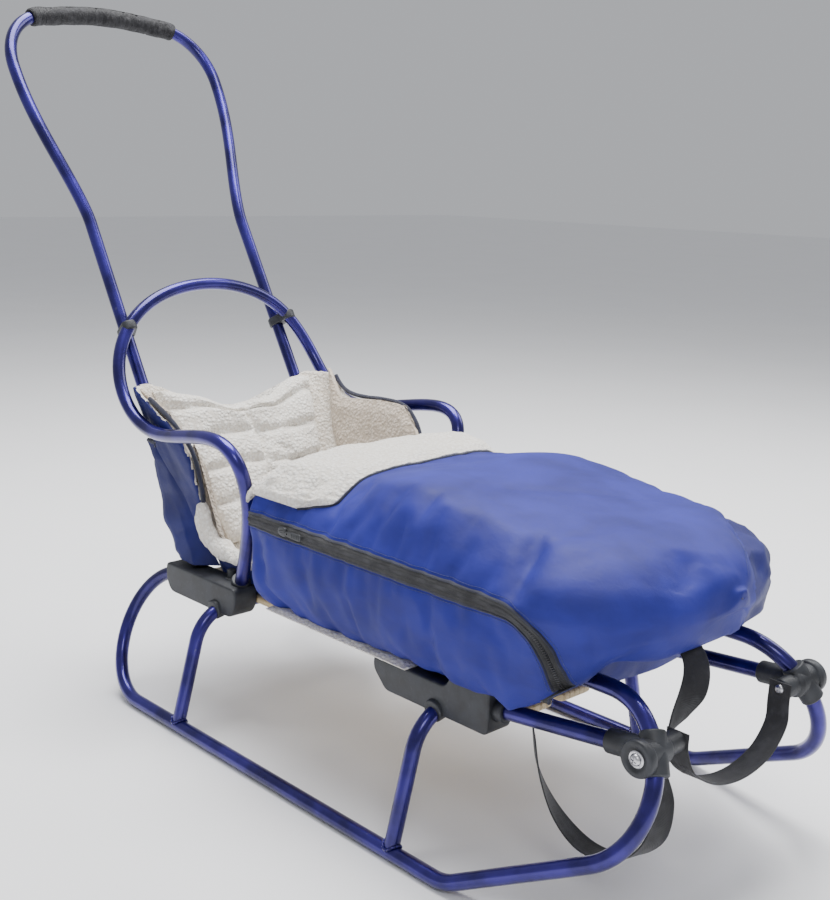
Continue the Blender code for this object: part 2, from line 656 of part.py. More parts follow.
class Frame:
    """The sled's steel tubes, slats and connectors."""

    def __init__(self):
        self.runner = {name: in_frame_plane(runner_line(), side) for name, side in SIDES}
        self.bows = {"rear": bow_line(0.0), "mid": bow_line(MID_BOW_FORWARD)}
        self.hoop = hoop_line()
        self.handle = handle_line()
        self.rail = {name: self.rail_line(side) for name, side in SIDES}
        self.room = {}
        self.bow_object = {}

    @staticmethod
    def rail_line(side):
        """A front seat rail's two ends, from inside the mid connector to the front clamp."""
        rear = MID_CONNECTOR_FRONT - RAIL_INSERT
        front = CLAMP_FORWARD - TUBE_RADIUS - RAIL_END_GAP
        share = (front - rear) / (CLAMP_FORWARD - rear)
        low = at(side * lean_x(RAIL_HEIGHT), rear, RAIL_HEIGHT)
        high = at(side * lean_x(CLAMP_HEIGHT), CLAMP_FORWARD, CLAMP_HEIGHT)
        return [low, low.lerp(high, share)]

    def build(self):
        """Makes every fixed piece of the frame."""
        self.make_rooms()
        for name, _ in SIDES:
            tube(f"runner_{name}", self.runner[name])
            tube(f"seat_rail_{name}", self.rail[name])
        self.make_bows()
        tube("backrest_hoop", self.hoop)
        self.make_slats()
        self.make_connectors()
        self.make_clamps()
        self.make_guides()

    def make_rooms(self):
        """The hidden bars that cut each tube's seat in its neighbours."""
        for name, _ in SIDES:
            self.room[f"runner_{name}"] = clearance(f"runner_{name}", extended(self.runner[name], FIT, FIT))
            self.room[f"rail_{name}"] = clearance(f"rail_{name}", extended(self.rail[name], FIT, FIT))
        for key, line in self.bows.items():
            self.room[f"{key}_bow"] = clearance(f"{key}_bow", line)
        self.room["hoop"] = clearance("hoop", extended(self.hoop, FIT, FIT))
        self.room["handle"] = clearance("handle", self.handle, SLIDE_FIT)

    def make_bows(self):
        """The two leg bows, cut round at the feet to sit on the runners."""
        for key in self.bows:
            bow = tube(f"{key}_bow", self.bows[key])
            for name, _ in SIDES:
                boolean(bow, self.room[f"runner_{name}"])
            self.bow_object[key] = bow

    def make_slats(self):
        """The wooden slats and the screws that hold them to the bows."""
        for index, x in enumerate(slat_middles(), start=1):
            low = at(x - SLAT_WIDTH / 2, SLAT_FRONT, SLAT_BOTTOM)
            high = at(x + SLAT_WIDTH / 2, SLAT_REAR, SLAT_TOP)
            slat = make_object(f"slat_{index}", block(low, high), PALE_WOOD, smooth=False)
            rounding = slat.modifiers.new("rounded_edges", "BEVEL")
            rounding.width = SLAT_EDGE
            rounding.segments = 1
            for key, forward in BOWS:
                screw = Screw(f"slat_screw_{index}_{key}", at(x, forward, SLAT_TOP))
                screw.hold(slat, self.bow_object[key])

    def make_connectors(self):
        """The plastic blocks at the seat's edges."""
        for name, side in SIDES:
            rear = self.connector(f"rear_connector_{name}", rear_connector_outline(), side)
            mid = self.connector(f"mid_connector_{name}", mid_connector_outline(), side)
            for part in ("rear_bow", f"runner_{name}", "hoop"):
                boolean(rear, self.room[part])
            boolean(rear, spigot_room(name, side))
            for part in ("mid_bow", f"rail_{name}", f"runner_{name}"):
                boolean(mid, self.room[part])
            tops = {"rear": (rear, CONNECTOR_TOP), "mid": (mid, MID_CONNECTOR_LOW)}
            for key, forward in BOWS:
                connector, top = tops[key]
                screw = Screw(f"connector_screw_{key}_{name}", at(side * HANDLE_HALF_WIDTH, forward, top))
                screw.hold(connector, self.bow_object[key])

    @staticmethod
    def connector(name, outline, side):
        """A connector's solid block at one side of the seat, before its sockets are cut."""
        inner = side * (CONNECTOR_MIDDLE - CONNECTOR_WIDTH / 2)
        outer = side * (CONNECTOR_MIDDLE + CONNECTOR_WIDTH / 2)
        made = make_object(name, prism(outline, inner, outer), BLACK_PLASTIC, smooth=False)
        edges = made.modifiers.new("soft_edges", "BEVEL")
        edges.width = CONNECTOR_EDGE
        edges.segments = 1
        edges.limit_method = "ANGLE"
        return made

    def make_clamps(self):
        """The front clamps that join runner and seat rail, each with a screwed disc outside."""
        half = CLAMP_BODY / 2
        inner_end = -half - BARREL_LENGTH
        disc_face = half + DISC_THICKNESS
        for name, side in SIDES:
            middle = at(side * lean_x(CLAMP_HEIGHT), CLAMP_FORWARD, CLAMP_HEIGHT)
            outward = Vector((side, 0.0, 0.0))
            profile = [
                (inner_end, BARREL_RADIUS - CLAMP_EDGE), (inner_end + CLAMP_EDGE, BARREL_RADIUS), (-half, BARREL_RADIUS),
                (-half, half), (half, half), (half, DISC_RADIUS), (disc_face - CLAMP_EDGE, DISC_RADIUS),
                (disc_face, DISC_RADIUS - CLAMP_EDGE),
            ]
            clamp = make_object(f"front_clamp_{name}", lathe(profile, middle, outward, CLAMP_SIDES), BLACK_PLASTIC)
            boolean(clamp, self.room[f"runner_{name}"])
            boolean(clamp, self.room[f"rail_{name}"])
            face = middle + outward * disc_face
            hole = [(-CLAMP_SCREW_DEPTH - FIT, SCREW_RADIUS + FIT), (CLAMP_EDGE, SCREW_RADIUS + FIT)]
            boolean(clamp, make_object(f"drill_clamp_{name}", lathe(hole, face, outward, SCREW_SIDES)))
            head = [
                (-CLAMP_SCREW_DEPTH, SCREW_RADIUS), (FIT, SCREW_RADIUS), (FIT, CLAMP_HEAD_RADIUS),
                (CLAMP_HEAD_HEIGHT - CLAMP_EDGE / 2, CLAMP_HEAD_RADIUS), (CLAMP_HEAD_HEIGHT, CLAMP_HEAD_RADIUS - CLAMP_EDGE),
            ]
            make_object(f"front_screw_{name}", lathe(head, face, outward, TUBE_SIDES), BRIGHT_STEEL)

    def make_guides(self):
        """The clips that hold the hoop to the push handle's legs and let the legs slide."""
        for name, side in SIDES:
            on_leg, on_hoop = self.crossing(side)
            along = handle_direction()
            toward = (on_hoop - on_leg) - along * (on_hoop - on_leg).dot(along)
            reach = toward.length
            toward.normalize()
            across = along.cross(toward)
            outline = stadium(TUBE_RADIUS + SLIDE_FIT + GUIDE_WALL, reach)
            rings = []
            for height in (-GUIDE_HEIGHT / 2, GUIDE_HEIGHT / 2):
                rings.append([on_leg + toward * out + across * wide + along * height for out, wide in outline])
            guide = make_object(f"handle_guide_{name}", skin(rings), BLACK_PLASTIC, smooth=False)
            boolean(guide, self.room["handle"])
            boolean(guide, self.room["hoop"])

    def crossing(self, side):
        """The nearest places of a handle leg's axis and the hoop's line."""
        foot = at(side * HANDLE_HALF_WIDTH, -handle_back(HANDLE_LEG_END), HANDLE_LEG_END)
        along = handle_direction()
        best = None
        for start, end in zip(self.hoop, self.hoop[1:]):
            for step in range(20):
                place = start.lerp(end, step / 20)
                if place.x * side <= 0 or place.z < HOOP_SIDE_HEIGHT:
                    continue
                axis_place = foot + along * (place - foot).dot(along)
                gap = (place - axis_place).length
                if best is None or gap < best[0]:
                    best = (gap, axis_place, place)
        return best[1], best[2]


def handle_direction():
    """The unit direction of the handle's legs, upward."""
    return Vector((0.0, HANDLE_SLOPE, 1.0)).normalized()


def extended(points, start, end):
    """The line with its two ends pushed out by small lengths."""
    line = [point.copy() for point in points]
    line[0] += (line[0] - line[1]).normalized() * start
    line[-1] += (line[-1] - line[-2]).normalized() * end
    return line


def stadium(radius, reach, steps=8):
    """An outline round the leg that runs to the hoop's middle plane: (towards the hoop, across)."""
    outline = [(reach, radius * 0.8), (reach * 0.5, radius)]
    for step in range(steps + 1):
        angle = math.pi / 2 + math.pi * step / steps
        outline.append((radius * math.cos(angle), radius * math.sin(angle)))
    outline += [(reach * 0.5, -radius), (reach, -radius * 0.8)]
    return outline


def slat_middles():
    """The sideways places of the slats' centre lines."""
    reach = SLATS_HALF_WIDTH - SLAT_WIDTH / 2
    return [-reach + 2 * reach * index / (SLAT_COUNT - 1) for index in range(SLAT_COUNT)]


def rear_connector_outline():
    """The rear connector from the side: (forward, height)."""
    cut = CONNECTOR_CHAMFER
    return [
        (REAR_CONNECTOR_REAR, CONNECTOR_BOTTOM + 3 * cut), (REAR_CONNECTOR_REAR + 2 * cut, CONNECTOR_BOTTOM),
        (REAR_CONNECTOR_FRONT - 2 * cut, CONNECTOR_BOTTOM), (REAR_CONNECTOR_FRONT, CONNECTOR_BOTTOM + 3 * cut),
        (REAR_CONNECTOR_FRONT, CONNECTOR_TOP - cut), (REAR_CONNECTOR_FRONT - cut, CONNECTOR_TOP),
        (REAR_CONNECTOR_REAR + cut, CONNECTOR_TOP), (REAR_CONNECTOR_REAR, CONNECTOR_TOP - cut),
    ]


def mid_connector_outline():
    """The mid connector from the side: low at the rear, and high at the front where the scroll ends."""
    cut = CONNECTOR_CHAMFER
    return [
        (MID_CONNECTOR_REAR, CONNECTOR_BOTTOM + 4 * cut), (MID_CONNECTOR_REAR + 4 * cut, CONNECTOR_BOTTOM),
        (MID_CONNECTOR_FRONT - cut, CONNECTOR_BOTTOM), (MID_CONNECTOR_FRONT, CONNECTOR_BOTTOM + cut),
        (MID_CONNECTOR_FRONT, MID_CONNECTOR_HIGH - cut), (MID_CONNECTOR_FRONT - cut, MID_CONNECTOR_HIGH),
        (MID_CONNECTOR_STEP + cut, MID_CONNECTOR_HIGH), (MID_CONNECTOR_STEP - 2 * cut, MID_CONNECTOR_LOW),
        (MID_CONNECTOR_REAR + cut, MID_CONNECTOR_LOW), (MID_CONNECTOR_REAR, MID_CONNECTOR_LOW - cut),
    ]


def spigot_axis(side, height):
    """A place on a handle leg's axis at a height."""
    return at(side * HANDLE_HALF_WIDTH, -handle_back(height), height)


def spigot_room(name, side):
    """The hidden pin that drills a rear connector for a handle spigot."""
    low = spigot_axis(side, SPIGOT_END)
    length = (spigot_axis(side, HANDLE_LEG_END) - low).length
    radius = SPIGOT_RADIUS + SLIDE_FIT
    return make_object(f"drill_spigot_{name}", lathe([(-FIT, radius), (length, radius)], low, handle_direction()))


def build_handle(frame):
    """The push handle, which lifts out along its legs."""
    pivot = pivot_at("push_handle_slide", spigot_axis(0.0, HANDLE_LEG_END))
    pieces = [tube("push_handle", frame.handle)]
    for name, side in SIDES:
        low = spigot_axis(side, SPIGOT_END)
        tube_end = (spigot_axis(side, HANDLE_LEG_END) - low).length
        collar_low = tube_end - COLLAR_THICKNESS - FIT
        plug_radius = (TUBE_RADIUS - TUBE_WALL) * math.cos(math.pi / BORE_SIDES) - FIT
        profile = [
            (0.0, SPIGOT_RADIUS - 0.001), (0.001, SPIGOT_RADIUS), (collar_low, SPIGOT_RADIUS), (collar_low, TUBE_RADIUS),
            (tube_end - FIT, TUBE_RADIUS), (tube_end - FIT, plug_radius), (tube_end + PLUG_LENGTH, plug_radius),
        ]
        pieces.append(make_object(f"handle_spigot_{name}", lathe(profile, low, handle_direction()), BLACK_PLASTIC))
    top = [point for point in frame.handle if abs(point.x) < GRIP_HALF_WIDTH]
    grip = make_object("handle_grip", sweep(top, GRIP_RADIUS, sides=14), BLACK_FOAM)
    boolean(grip, clearance("grip_bar", frame.handle, FIT))
    pieces.append(grip)
    for piece in pieces:
        rest_on(piece, pivot)


def muff_station(forward):
    """The foot end's outer section at a place: half width, underside and crown."""
    rise = (forward - CUFF_FRONT) / (MUFF_PEAK_FORWARD - CUFF_FRONT)
    fall = (forward - MUFF_PEAK_FORWARD) / (MUFF_TOE - MUFF_NOSE - MUFF_PEAK_FORWARD)
    crown = MUFF_TOP_REAR + (MUFF_TOP_PEAK - MUFF_TOP_REAR) * min(1.0, max(0.0, rise))
    crown -= (MUFF_TOP_PEAK - MUFF_TOP_TOE) * min(1.0, max(0.0, fall))
    lift = (forward - MUFF_LIFT_START) / (MUFF_LIFT_END - MUFF_LIFT_START)
    under = MUFF_FLOOR + MUFF_LIFT * min(1.0, max(0.0, lift))
    nose = max(0.0, (forward - MUFF_TOE + MUFF_NOSE) / MUFF_NOSE)
    left_over = max(0.0, 1.0 - nose**MUFF_NOSE_POWER)
    fullness = MUFF_NOSE_END + (1.0 - MUFF_NOSE_END) * left_over ** (1.0 / MUFF_NOSE_ROOT)
    middle = MUFF_MIDDLE
    return MUFF_HALF_WIDTH * fullness, middle + (under - middle) * fullness, middle + (crown - middle) * fullness


def muff_side(forward, height):
    """How far out the foot end's skin stands at a height on its side."""
    half, under, crown = muff_station(forward)
    above = height > ZIP_HEIGHT
    power = MUFF_POWER_ABOVE if above else MUFF_POWER_BELOW
    reach = (crown - ZIP_HEIGHT) if above else (ZIP_HEIGHT - under)
    upward = min(1.0, abs(height - ZIP_HEIGHT) / reach) ** (1.0 / power)
    return half * math.sqrt(1.0 - upward**2) ** power


def muff_ring(forward, inset, floor=0.0):
    """One ring of the foot end's skin, drawn in by an inset and no lower than a floor: a rounded box."""
    half, under, crown = muff_station(forward)
    ring = []
    for corner in range(MUFF_SIDES):
        angle = math.tau * corner / MUFF_SIDES
        above = math.sin(angle) > 0
        power = MUFF_POWER_ABOVE if above else MUFF_POWER_BELOW
        across = math.copysign(abs(math.cos(angle)) ** power, math.cos(angle))
        upward = math.copysign(abs(math.sin(angle)) ** power, math.sin(angle))
        reach = (crown - ZIP_HEIGHT) if above else (ZIP_HEIGHT - under)
        height = ZIP_HEIGHT + max(reach - inset, inset / 5) * upward
        ring.append(at((half - inset) * across, forward, max(height, floor)))
    return ring


def muff_floor(forward):
    """The height of the foot end's inner floor, which rises over the mid connectors and the scrolls."""
    steps = [
        (MUFF_FLAT_END, MUFF_FLOOR + MUFF_WALL),
        (MID_CONNECTOR_STEP - 2 * CONNECTOR_CHAMFER, MID_CONNECTOR_HIGH + MUFF_TUBE_CLEARANCE + MUFF_OVER_CONNECTOR),
        (SLAT_FRONT, TOE_UNDERSIDE + MUFF_WALL),
    ]
    if forward <= steps[0][0]:
        return steps[0][1]
    for (start, low), (end, high) in zip(steps, steps[1:]):
        if forward <= end:
            return low + (high - low) * (forward - start) / (end - start)
    return steps[-1][1]


def muff_outside():
    """The foot end's outer skin."""
    nose_start = MUFF_TOE - MUFF_NOSE
    stations = [MUFF_REAR, CUFF_FRONT, MUFF_PEAK_FORWARD, MUFF_LIFT_START, SLAT_FRONT, nose_start]
    stations += [nose_start + MUFF_NOSE * share for share in (0.15, 0.30, 0.45, 0.60, 0.74, 0.87, 0.95, 1.0)]
    return skin([muff_ring(forward, 0.0) for forward in stations])


def muff_inside(inset, rear):
    """The foot end's hollow, from behind to inside the toe."""
    nose_start = MUFF_TOE - MUFF_NOSE
    stations = [rear, CUFF_FRONT, MUFF_FLAT_END, MID_CONNECTOR_STEP - 2 * CONNECTOR_CHAMFER]
    stations += [MUFF_LIFT_START, SLAT_FRONT, nose_start]
    stations += [nose_start + (MUFF_NOSE - inset) * share for share in (0.30, 0.55, 0.78, 1.0)]
    return skin([muff_ring(forward, inset, muff_floor(forward) + inset - MUFF_WALL) for forward in stations])


def zip_line(offset, low_end):
    """The zip from the side, moved towards the cover by an offset: (forward, height)."""
    radius = ZIP_CORNER_RADIUS + offset
    middle = (ZIP_CORNER_FORWARD - ZIP_CORNER_RADIUS, ZIP_HEIGHT - ZIP_CORNER_RADIUS)
    line = [(MUFF_REAR, ZIP_HEIGHT + offset)]
    for step in range(ZIP_CORNER_STEPS + 1):
        angle = math.pi / 2 * step / ZIP_CORNER_STEPS
        line.append((middle[0] + radius * math.sin(angle), middle[1] + radius * math.cos(angle)))
    line.append((ZIP_CORNER_FORWARD + offset, low_end))
    return line


def zip_cutter(name, offset):
    """The hidden solid that splits the foot end along the zip."""
    reach = MUFF_HALF_WIDTH + 0.05
    line = zip_line(offset, 0.10)
    line[0] = (MUFF_REAR - 0.05, line[0][1])
    outline = [*line, (MUFF_TOE + 0.05, 0.10), (MUFF_TOE + 0.05, 0.50), (MUFF_REAR - 0.05, 0.50)]
    return make_object(name, prism(outline, -reach, reach))


class Footmuff:
    """The nylon and fleece footmuff, its cover and its zip."""

    def __init__(self, frame):
        self.frame = frame
        self.hollow = make_object("room_inside_muff", muff_inside(MUFF_WALL, MUFF_REAR + MUFF_REAR_WALL))
        self.opening = make_object("room_muff_opening", self.opening_shape())

    @staticmethod
    def opening_shape():
        """The way from the seat into the foot end, as wide as the seat shell is inside."""
        front = MUFF_REAR + 2 * MUFF_REAR_WALL
        rings = []
        for height in (MUFF_FLOOR + MUFF_WALL, MUFF_TOP_REAR - MUFF_WALL):
            half = shell_half_width(height) - SHELL_WALL
            places = ((-half, MUFF_REAR - 0.02), (-half, front), (half, front), (half, MUFF_REAR - 0.02))
            rings.append([at(x, forward, height) for x, forward in places])
        return skin(rings)

    def build(self):
        """Makes every piece of the footmuff."""
        self.make_tub()
        self.make_cover()
        self.make_zip()
        self.make_shell()
        self.make_pocket()
        self.make_cushions()

    def make_tub(self):
        """The foot end below the zip, cut clear of what it lies on."""
        tub = make_object("footmuff_tub", muff_outside(), BLUE_NYLON)
        for room in (zip_cutter("room_above_zip", -ZIP_GAP / 2), self.hollow, self.opening):
            boolean(tub, room)
        for name, side in SIDES:
            boolean(tub, clearance(f"under_muff_runner_{name}", self.frame.runner[name], MUFF_TUBE_CLEARANCE))
            boolean(tub, clearance(f"under_muff_rail_{name}", self.frame.rail[name], MUFF_TUBE_CLEARANCE))
            boolean(tub, connector_room(name, side))
        mat_low = at(-MUFF_HALF_WIDTH, MAT_FRONT, MUFF_FLOOR)
        mat_high = at(MUFF_HALF_WIDTH, MUFF_REAR + MUFF_REAR_WALL + FIT, MUFF_FLOOR + MUFF_WALL + MAT_THICKNESS)
        mat = make_object("leg_mat", block(mat_low, mat_high), CREAM_FLEECE)
        inside = make_object("keep_inside_muff", muff_inside(MUFF_WALL + FIT, MUFF_REAR + MUFF_REAR_WALL))
        boolean(mat, inside, "INTERSECT")

    def make_cover(self):
        """The foot end above the zip, which opens about its far edge, and the fleece cuff on it."""
        hinge = at(MUFF_HALF_WIDTH + HINGE_OFFSET, (MUFF_REAR + MUFF_TOE) / 2, ZIP_HEIGHT)
        self.hinge = pivot_at("footmuff_cover_hinge", hinge)
        cover = make_object("footmuff_cover", muff_outside(), BLUE_NYLON)
        boolean(cover, zip_cutter("keep_above_zip", ZIP_GAP / 2), "INTERSECT")
        boolean(cover, self.hollow)
        boolean(cover, self.opening)
        low = at(-lean_x(TOE_DROOP) - TUBE_RADIUS - MUFF_TUBE_CLEARANCE, MUFF_TOE + 0.05, 0.10)
        high = at(MUFF_HALF_WIDTH + 0.05, ZIP_CORNER_FORWARD - 0.02, TOE_UNDERSIDE)
        boolean(cover, make_object("room_under_toe", block(low, high)))
        rest_on(cover, self.hinge)
        rest_on(make_object("fleece_cuff", self.cuff_shape(), CREAM_FLEECE), self.hinge)

    @staticmethod
    def cuff_shape():
        """The folded cuff, which lies on the cover from the zip over to the far edge."""
        outer, inner = [], []
        rows = 6
        for row in range(rows + 1):
            share = row / rows
            forward = MUFF_REAR + CUFF_LENGTH * share
            swell = CUFF_THICKNESS * (0.35 + 0.65 * math.sin(math.pi * min(1.0, 0.08 + share * 0.92)) ** 0.5)
            last = MUFF_SIDES // 2
            outer.append(muff_ring(forward, -FIT - swell)[1:last])
            inner.append(muff_ring(forward, -FIT)[1:last])
        return grid_solid(outer, inner)

    def make_zip(self):
        """The two tapes of the zip, its slider and the slider's pull."""
        skin_x = -MUFF_HALF_WIDTH - FIT
        for name, sign in (("lower", -1.0), ("upper", 1.0)):
            near = zip_line(sign * ZIP_GAP / 2, TAPE_LOW_END)
            far = zip_line(sign * (ZIP_GAP / 2 + TAPE_WIDTH), TAPE_LOW_END)
            faces = []
            for out in (FIT, FIT + TAPE_THICKNESS):
                faces.append([[at(-muff_side(*place) - out, *place) for place in pair] for pair in zip(near, far)])
            tape = make_object(f"zip_tape_{name}", grid_solid(*faces), ZIP_BLACK, smooth=False)
            if name == "upper":
                rest_on(tape, self.hinge)
        face = skin_x - TAPE_THICKNESS - FIT
        low = at(face - SLIDER_THICKNESS, SLIDER_AT + SLIDER_LENGTH / 2, ZIP_HEIGHT - SLIDER_HEIGHT / 2)
        high = at(face, SLIDER_AT - SLIDER_LENGTH / 2, ZIP_HEIGHT + SLIDER_HEIGHT / 2)
        slide = pivot_at("zip_slider_slide", (low + high) / 2)
        slider = make_object("zip_slider", block(low, high), ZIP_BLACK, smooth=False)
        edges = slider.modifiers.new("soft_edges", "BEVEL")
        edges.width = SLIDER_THICKNESS / 4
        edges.segments = 1
        rest_on(slider, slide)
        self.make_pull(face - SLIDER_THICKNESS / 2, slide)

    @staticmethod
    def make_pull(middle_x, slide):
        """The slider's pull: a small plate with a round root, which swings outward."""
        radius = PULL_THICKNESS / 2
        root = SLIDER_AT + SLIDER_LENGTH / 2 + FIT + radius
        swing = pivot_at("zip_pull_swing", at(middle_x, root, ZIP_HEIGHT))
        outline = [(radius, PULL_LENGTH), (-radius, PULL_LENGTH)]
        for step in range(7):
            angle = math.pi + math.pi * step / 6
            outline.append((radius * math.cos(angle), radius * math.sin(angle)))
        rings = []
        for height in (ZIP_HEIGHT - PULL_WIDTH / 2, ZIP_HEIGHT + PULL_WIDTH / 2):
            rings.append([at(middle_x + out, root + along, height) for out, along in outline])
        rest_on(make_object("zip_pull", skin(rings), ZIP_BLACK, smooth=False), swing)
        swing.parent = slide
        swing.matrix_parent_inverse = slide.matrix_world.inverted()

    def make_shell(self):
        """The seat end: a floor, a leaning back and two wings, open at the sides under the armrests."""
        front = MUFF_REAR - FIT
        shell = make_object("footmuff_seat_shell", shell_loft(0.0, MUFF_FLOOR, SHELL_TOP + 0.01, front), BLUE_NYLON)
        boolean(shell, make_object("room_inside_shell", shell_loft(SHELL_WALL, MUFF_FLOOR + SHELL_WALL, SHELL_TOP + 0.03, front + 0.02)))
        near = [
            (-0.175, 0.420), (-0.150, SHELL_TOP), (-0.100, 0.385), (-0.060, 0.355), (-0.046, 0.330), (-0.048, 0.270),
            (-0.070, 0.244), (-0.062, 0.220), (-0.035, SHELL_LIP), (0.035, SHELL_LIP), (0.075, 0.222), (0.092, 0.255),
            (0.098, 0.294), (0.130, 0.294), (0.130, 0.450), (-0.175, 0.450),
        ]
        far = [
            (-0.175, 0.420), (-0.150, SHELL_TOP), (-0.119, 0.372), (-0.036, 0.380), (0.015, 0.380), (0.046, 0.352),
            (0.070, 0.310), (0.085, 0.294), (0.130, 0.294), (0.130, 0.450), (-0.175, 0.450),
        ]
        boolean(shell, make_object("room_near_side", prism(near, -0.250, -SHELL_FLOOR_HALF_WIDTH / 2)))
        boolean(shell, make_object("room_far_side", prism(far, SHELL_FLOOR_HALF_WIDTH / 2, 0.250)))
        rings = []
        for forward in (-0.300, -0.075):
            top = ((-0.25, SHELL_TOP), (-0.13, SHELL_TOP), (-0.06, 0.386), (0.0, SHELL_TOP_MIDDLE), (0.06, 0.386), (0.13, SHELL_TOP), (0.25, SHELL_TOP))
            rings.append([at(x, forward, height) for x, height in (*top, (0.25, 0.450), (-0.25, 0.450))])
        boolean(shell, make_object("room_above_back", skin(rings)))

    def make_pocket(self):
        """The cloth pocket that hangs behind the seat shell, with the push handle's legs inside it."""
        heights = (0.0, 0.25, 0.5, 0.75, 1.0)
        tops = pocket_tops()
        sheets = []
        for out in (POCKET_WALL, 0.0):
            rows = []
            for share in heights:
                row = []
                for index, top in enumerate(tops):
                    height = POCKET_LOW + (top - POCKET_LOW) * share
                    row.append(at(*pocket_path(height, out)[index], height))
                rows.append(row)
            sheets.append(rows)
        make_object("handle_pocket", grid_solid(*sheets), BLUE_NYLON)

    def make_cushions(self):
        """The fleece seat and back, crowned and quilted, kept inside the shell."""
        inside_shape = shell_loft(SHELL_WALL + FIT, MUFF_FLOOR + SHELL_WALL + FIT, SHELL_TOP + 0.03, MUFF_REAR - FIT)
        inside = make_object("keep_inside_shell", inside_shape)
        floor = MUFF_FLOOR + SHELL_WALL
        seat_rear = -shell_back(floor)

        def on_seat(x, along, rise):
            return at(x, seat_rear + along, floor - SEAT_CUSHION_THICKNESS / 2 + rise * 1.5)

        seat_length = MUFF_REAR + FIT - seat_rear
        seat = make_object("seat_cushion", quilted(seat_length, SEAT_CUSHION_HALF_WIDTH, SEAT_CUSHION_HALF_WIDTH, SEAT_CUSHION_THICKNESS, on_seat), CREAM_FLEECE)
        boolean(seat, inside, "INTERSECT")

        slope = handle_direction()
        forward_up = Vector((0.0, -slope.z, slope.y))
        foot_height = floor + SEAT_CUSHION_THICKNESS + FIT
        foot = at(0.0, -shell_back(foot_height) + SHELL_WALL * LEAN_STRETCH, foot_height)

        def on_back(x, along, rise):
            return foot + Vector((x, 0.0, 0.0)) + slope * (along + 0.003) + forward_up * (rise + FIT)

        back_length = (BACK_CUSHION_TOP - foot_height) / slope.z - 0.003 - BACK_CUSHION_THICKNESS * slope.y
        back = quilted(back_length, BACK_CUSHION_HALF_WIDTH_LOW, BACK_CUSHION_HALF_WIDTH_HIGH, BACK_CUSHION_THICKNESS, on_back)
        make_object("back_cushion", back, CREAM_FLEECE)


LEAN_STRETCH = math.sqrt(1.0 + HANDLE_SLOPE**2)


def shell_half_width(height):
    """How far out the seat shell's sides stand at a height."""
    return SHELL_FLOOR_HALF_WIDTH + SHELL_FLARE * (height - MUFF_FLOOR)


def shell_back(height):
    """How far behind the rear bow the seat shell's outer back is at a height: just before the handle's legs."""
    return handle_back(height) - (TUBE_RADIUS + SHELL_TO_LEGS) * LEAN_STRETCH


def pocket_path(height, out):
    """The pocket's inner side at a height, from its left front edge round the back, or a surface that far outside it."""
    half = shell_half_width(height) + FIT + out
    wide = max(half, HANDLE_HALF_WIDTH + TUBE_RADIUS + POCKET_TO_LEGS + out)
    rear = stepped(POCKET_REAR, height) - out
    edge = POCKET_LAP - shell_back(height)
    corner = POCKET_CORNER + out
    left = [(-half, edge), (-(half + wide) / 2, edge - 0.012), (-wide, edge - 0.024)]
    for step in range(5):
        angle = math.pi / 2 * step / 4
        left.append((-wide + corner * (1 - math.cos(angle)), rear + corner * (1 - math.sin(angle))))
    left.append((-HANDLE_HALF_WIDTH / 2, rear))
    return left + [(0.0, rear)] + [(-x, forward) for x, forward in left[::-1]]


def pocket_tops():
    """How high the pocket stands at each place of its path: high at the sides and low behind the legs."""
    fall = POCKET_SIDE_TOP - POCKET_REAR_TOP
    left = [POCKET_SIDE_TOP] * 4 + [POCKET_SIDE_TOP - fall * share for share in (0.2, 0.5, 0.8, 1.0)] + [POCKET_REAR_TOP]
    return left + [POCKET_REAR_TOP] + left[::-1]


def stepped(places, height):
    """How far forward a list of height and forward places runs at a height, straight between them."""
    for (low, first), (high, second) in zip(places, places[1:]):
        if height <= high:
            return first + (second - first) * (height - low) / (high - low)
    return places[-1][1]


def shell_loft(inset, low, high, front):
    """The seat shell's outer or inner shape between two heights, with rounded rear corners."""
    rings = []
    for height in (low, high):
        half = shell_half_width(height) - inset
        rear = -shell_back(height) + inset * LEAN_STRETCH
        corner = SHELL_CORNER - inset
        left = [at(-half, front, height)]
        for step in range(5):
            angle = math.pi / 2 * step / 4
            left.append(at(-half + corner * (1 - math.cos(angle)), rear + corner * (1 - math.sin(angle)), height))
        rings.append(left + mirrored(left)[::-1])
    return skin(rings)


def ticks(length, pitch, groove):
    """Places along a quilted length: its ends, its sewn channels, their shoulders and what lies between."""
    places = {0.0, length, length * 0.04, length * 0.96}
    channel = pitch
    while channel < length - pitch / 2:
        places.update((channel - groove, channel, channel + groove))
        channel += pitch
    middle = pitch / 2
    while middle < length:
        places.add(middle)
        middle += pitch
    return sorted(place for place in places if 0.0 <= place <= length)


def quilted(length, half_low, half_high, thickness, place):
    """A crowned cushion with drawn-in sides and sewn channels across it and down its middle."""
    groove = CHANNEL_DEPTH * 1.2
    rows = ticks(length, CHANNEL_PITCH, groove)
    columns = (-1.0, -0.94, -0.75, -0.40, -0.09, 0.0, 0.09, 0.40, 0.75, 0.94, 1.0)
    outer, inner = [], []
    for along in rows:
        half = half_low + (half_high - half_low) * along / length
        ends = 1.0 - 0.45 * abs(2 * along / length - 1) ** 6
        nearest = abs(along - CHANNEL_PITCH * max(1, round(along / CHANNEL_PITCH)))
        sewn = 1.0 if nearest < groove / 2 and along < length - CHANNEL_PITCH / 2 else 0.0
        outer_row, inner_row = [], []
        for column in columns:
            sides = 1.0 - 0.45 * abs(column) ** 6
            middle_sewn = 1.0 if column == 0.0 else 0.0
            rise = thickness * ends * sides - CHANNEL_DEPTH * max(sewn * (1 - abs(column) ** 8), middle_sewn)
            outer_row.append(place(half * column, along, rise))
            inner_row.append(place(half * column * 0.97, along, 0.0))
        outer.append(outer_row)
        inner.append(inner_row)
    return grid_solid(outer, inner)


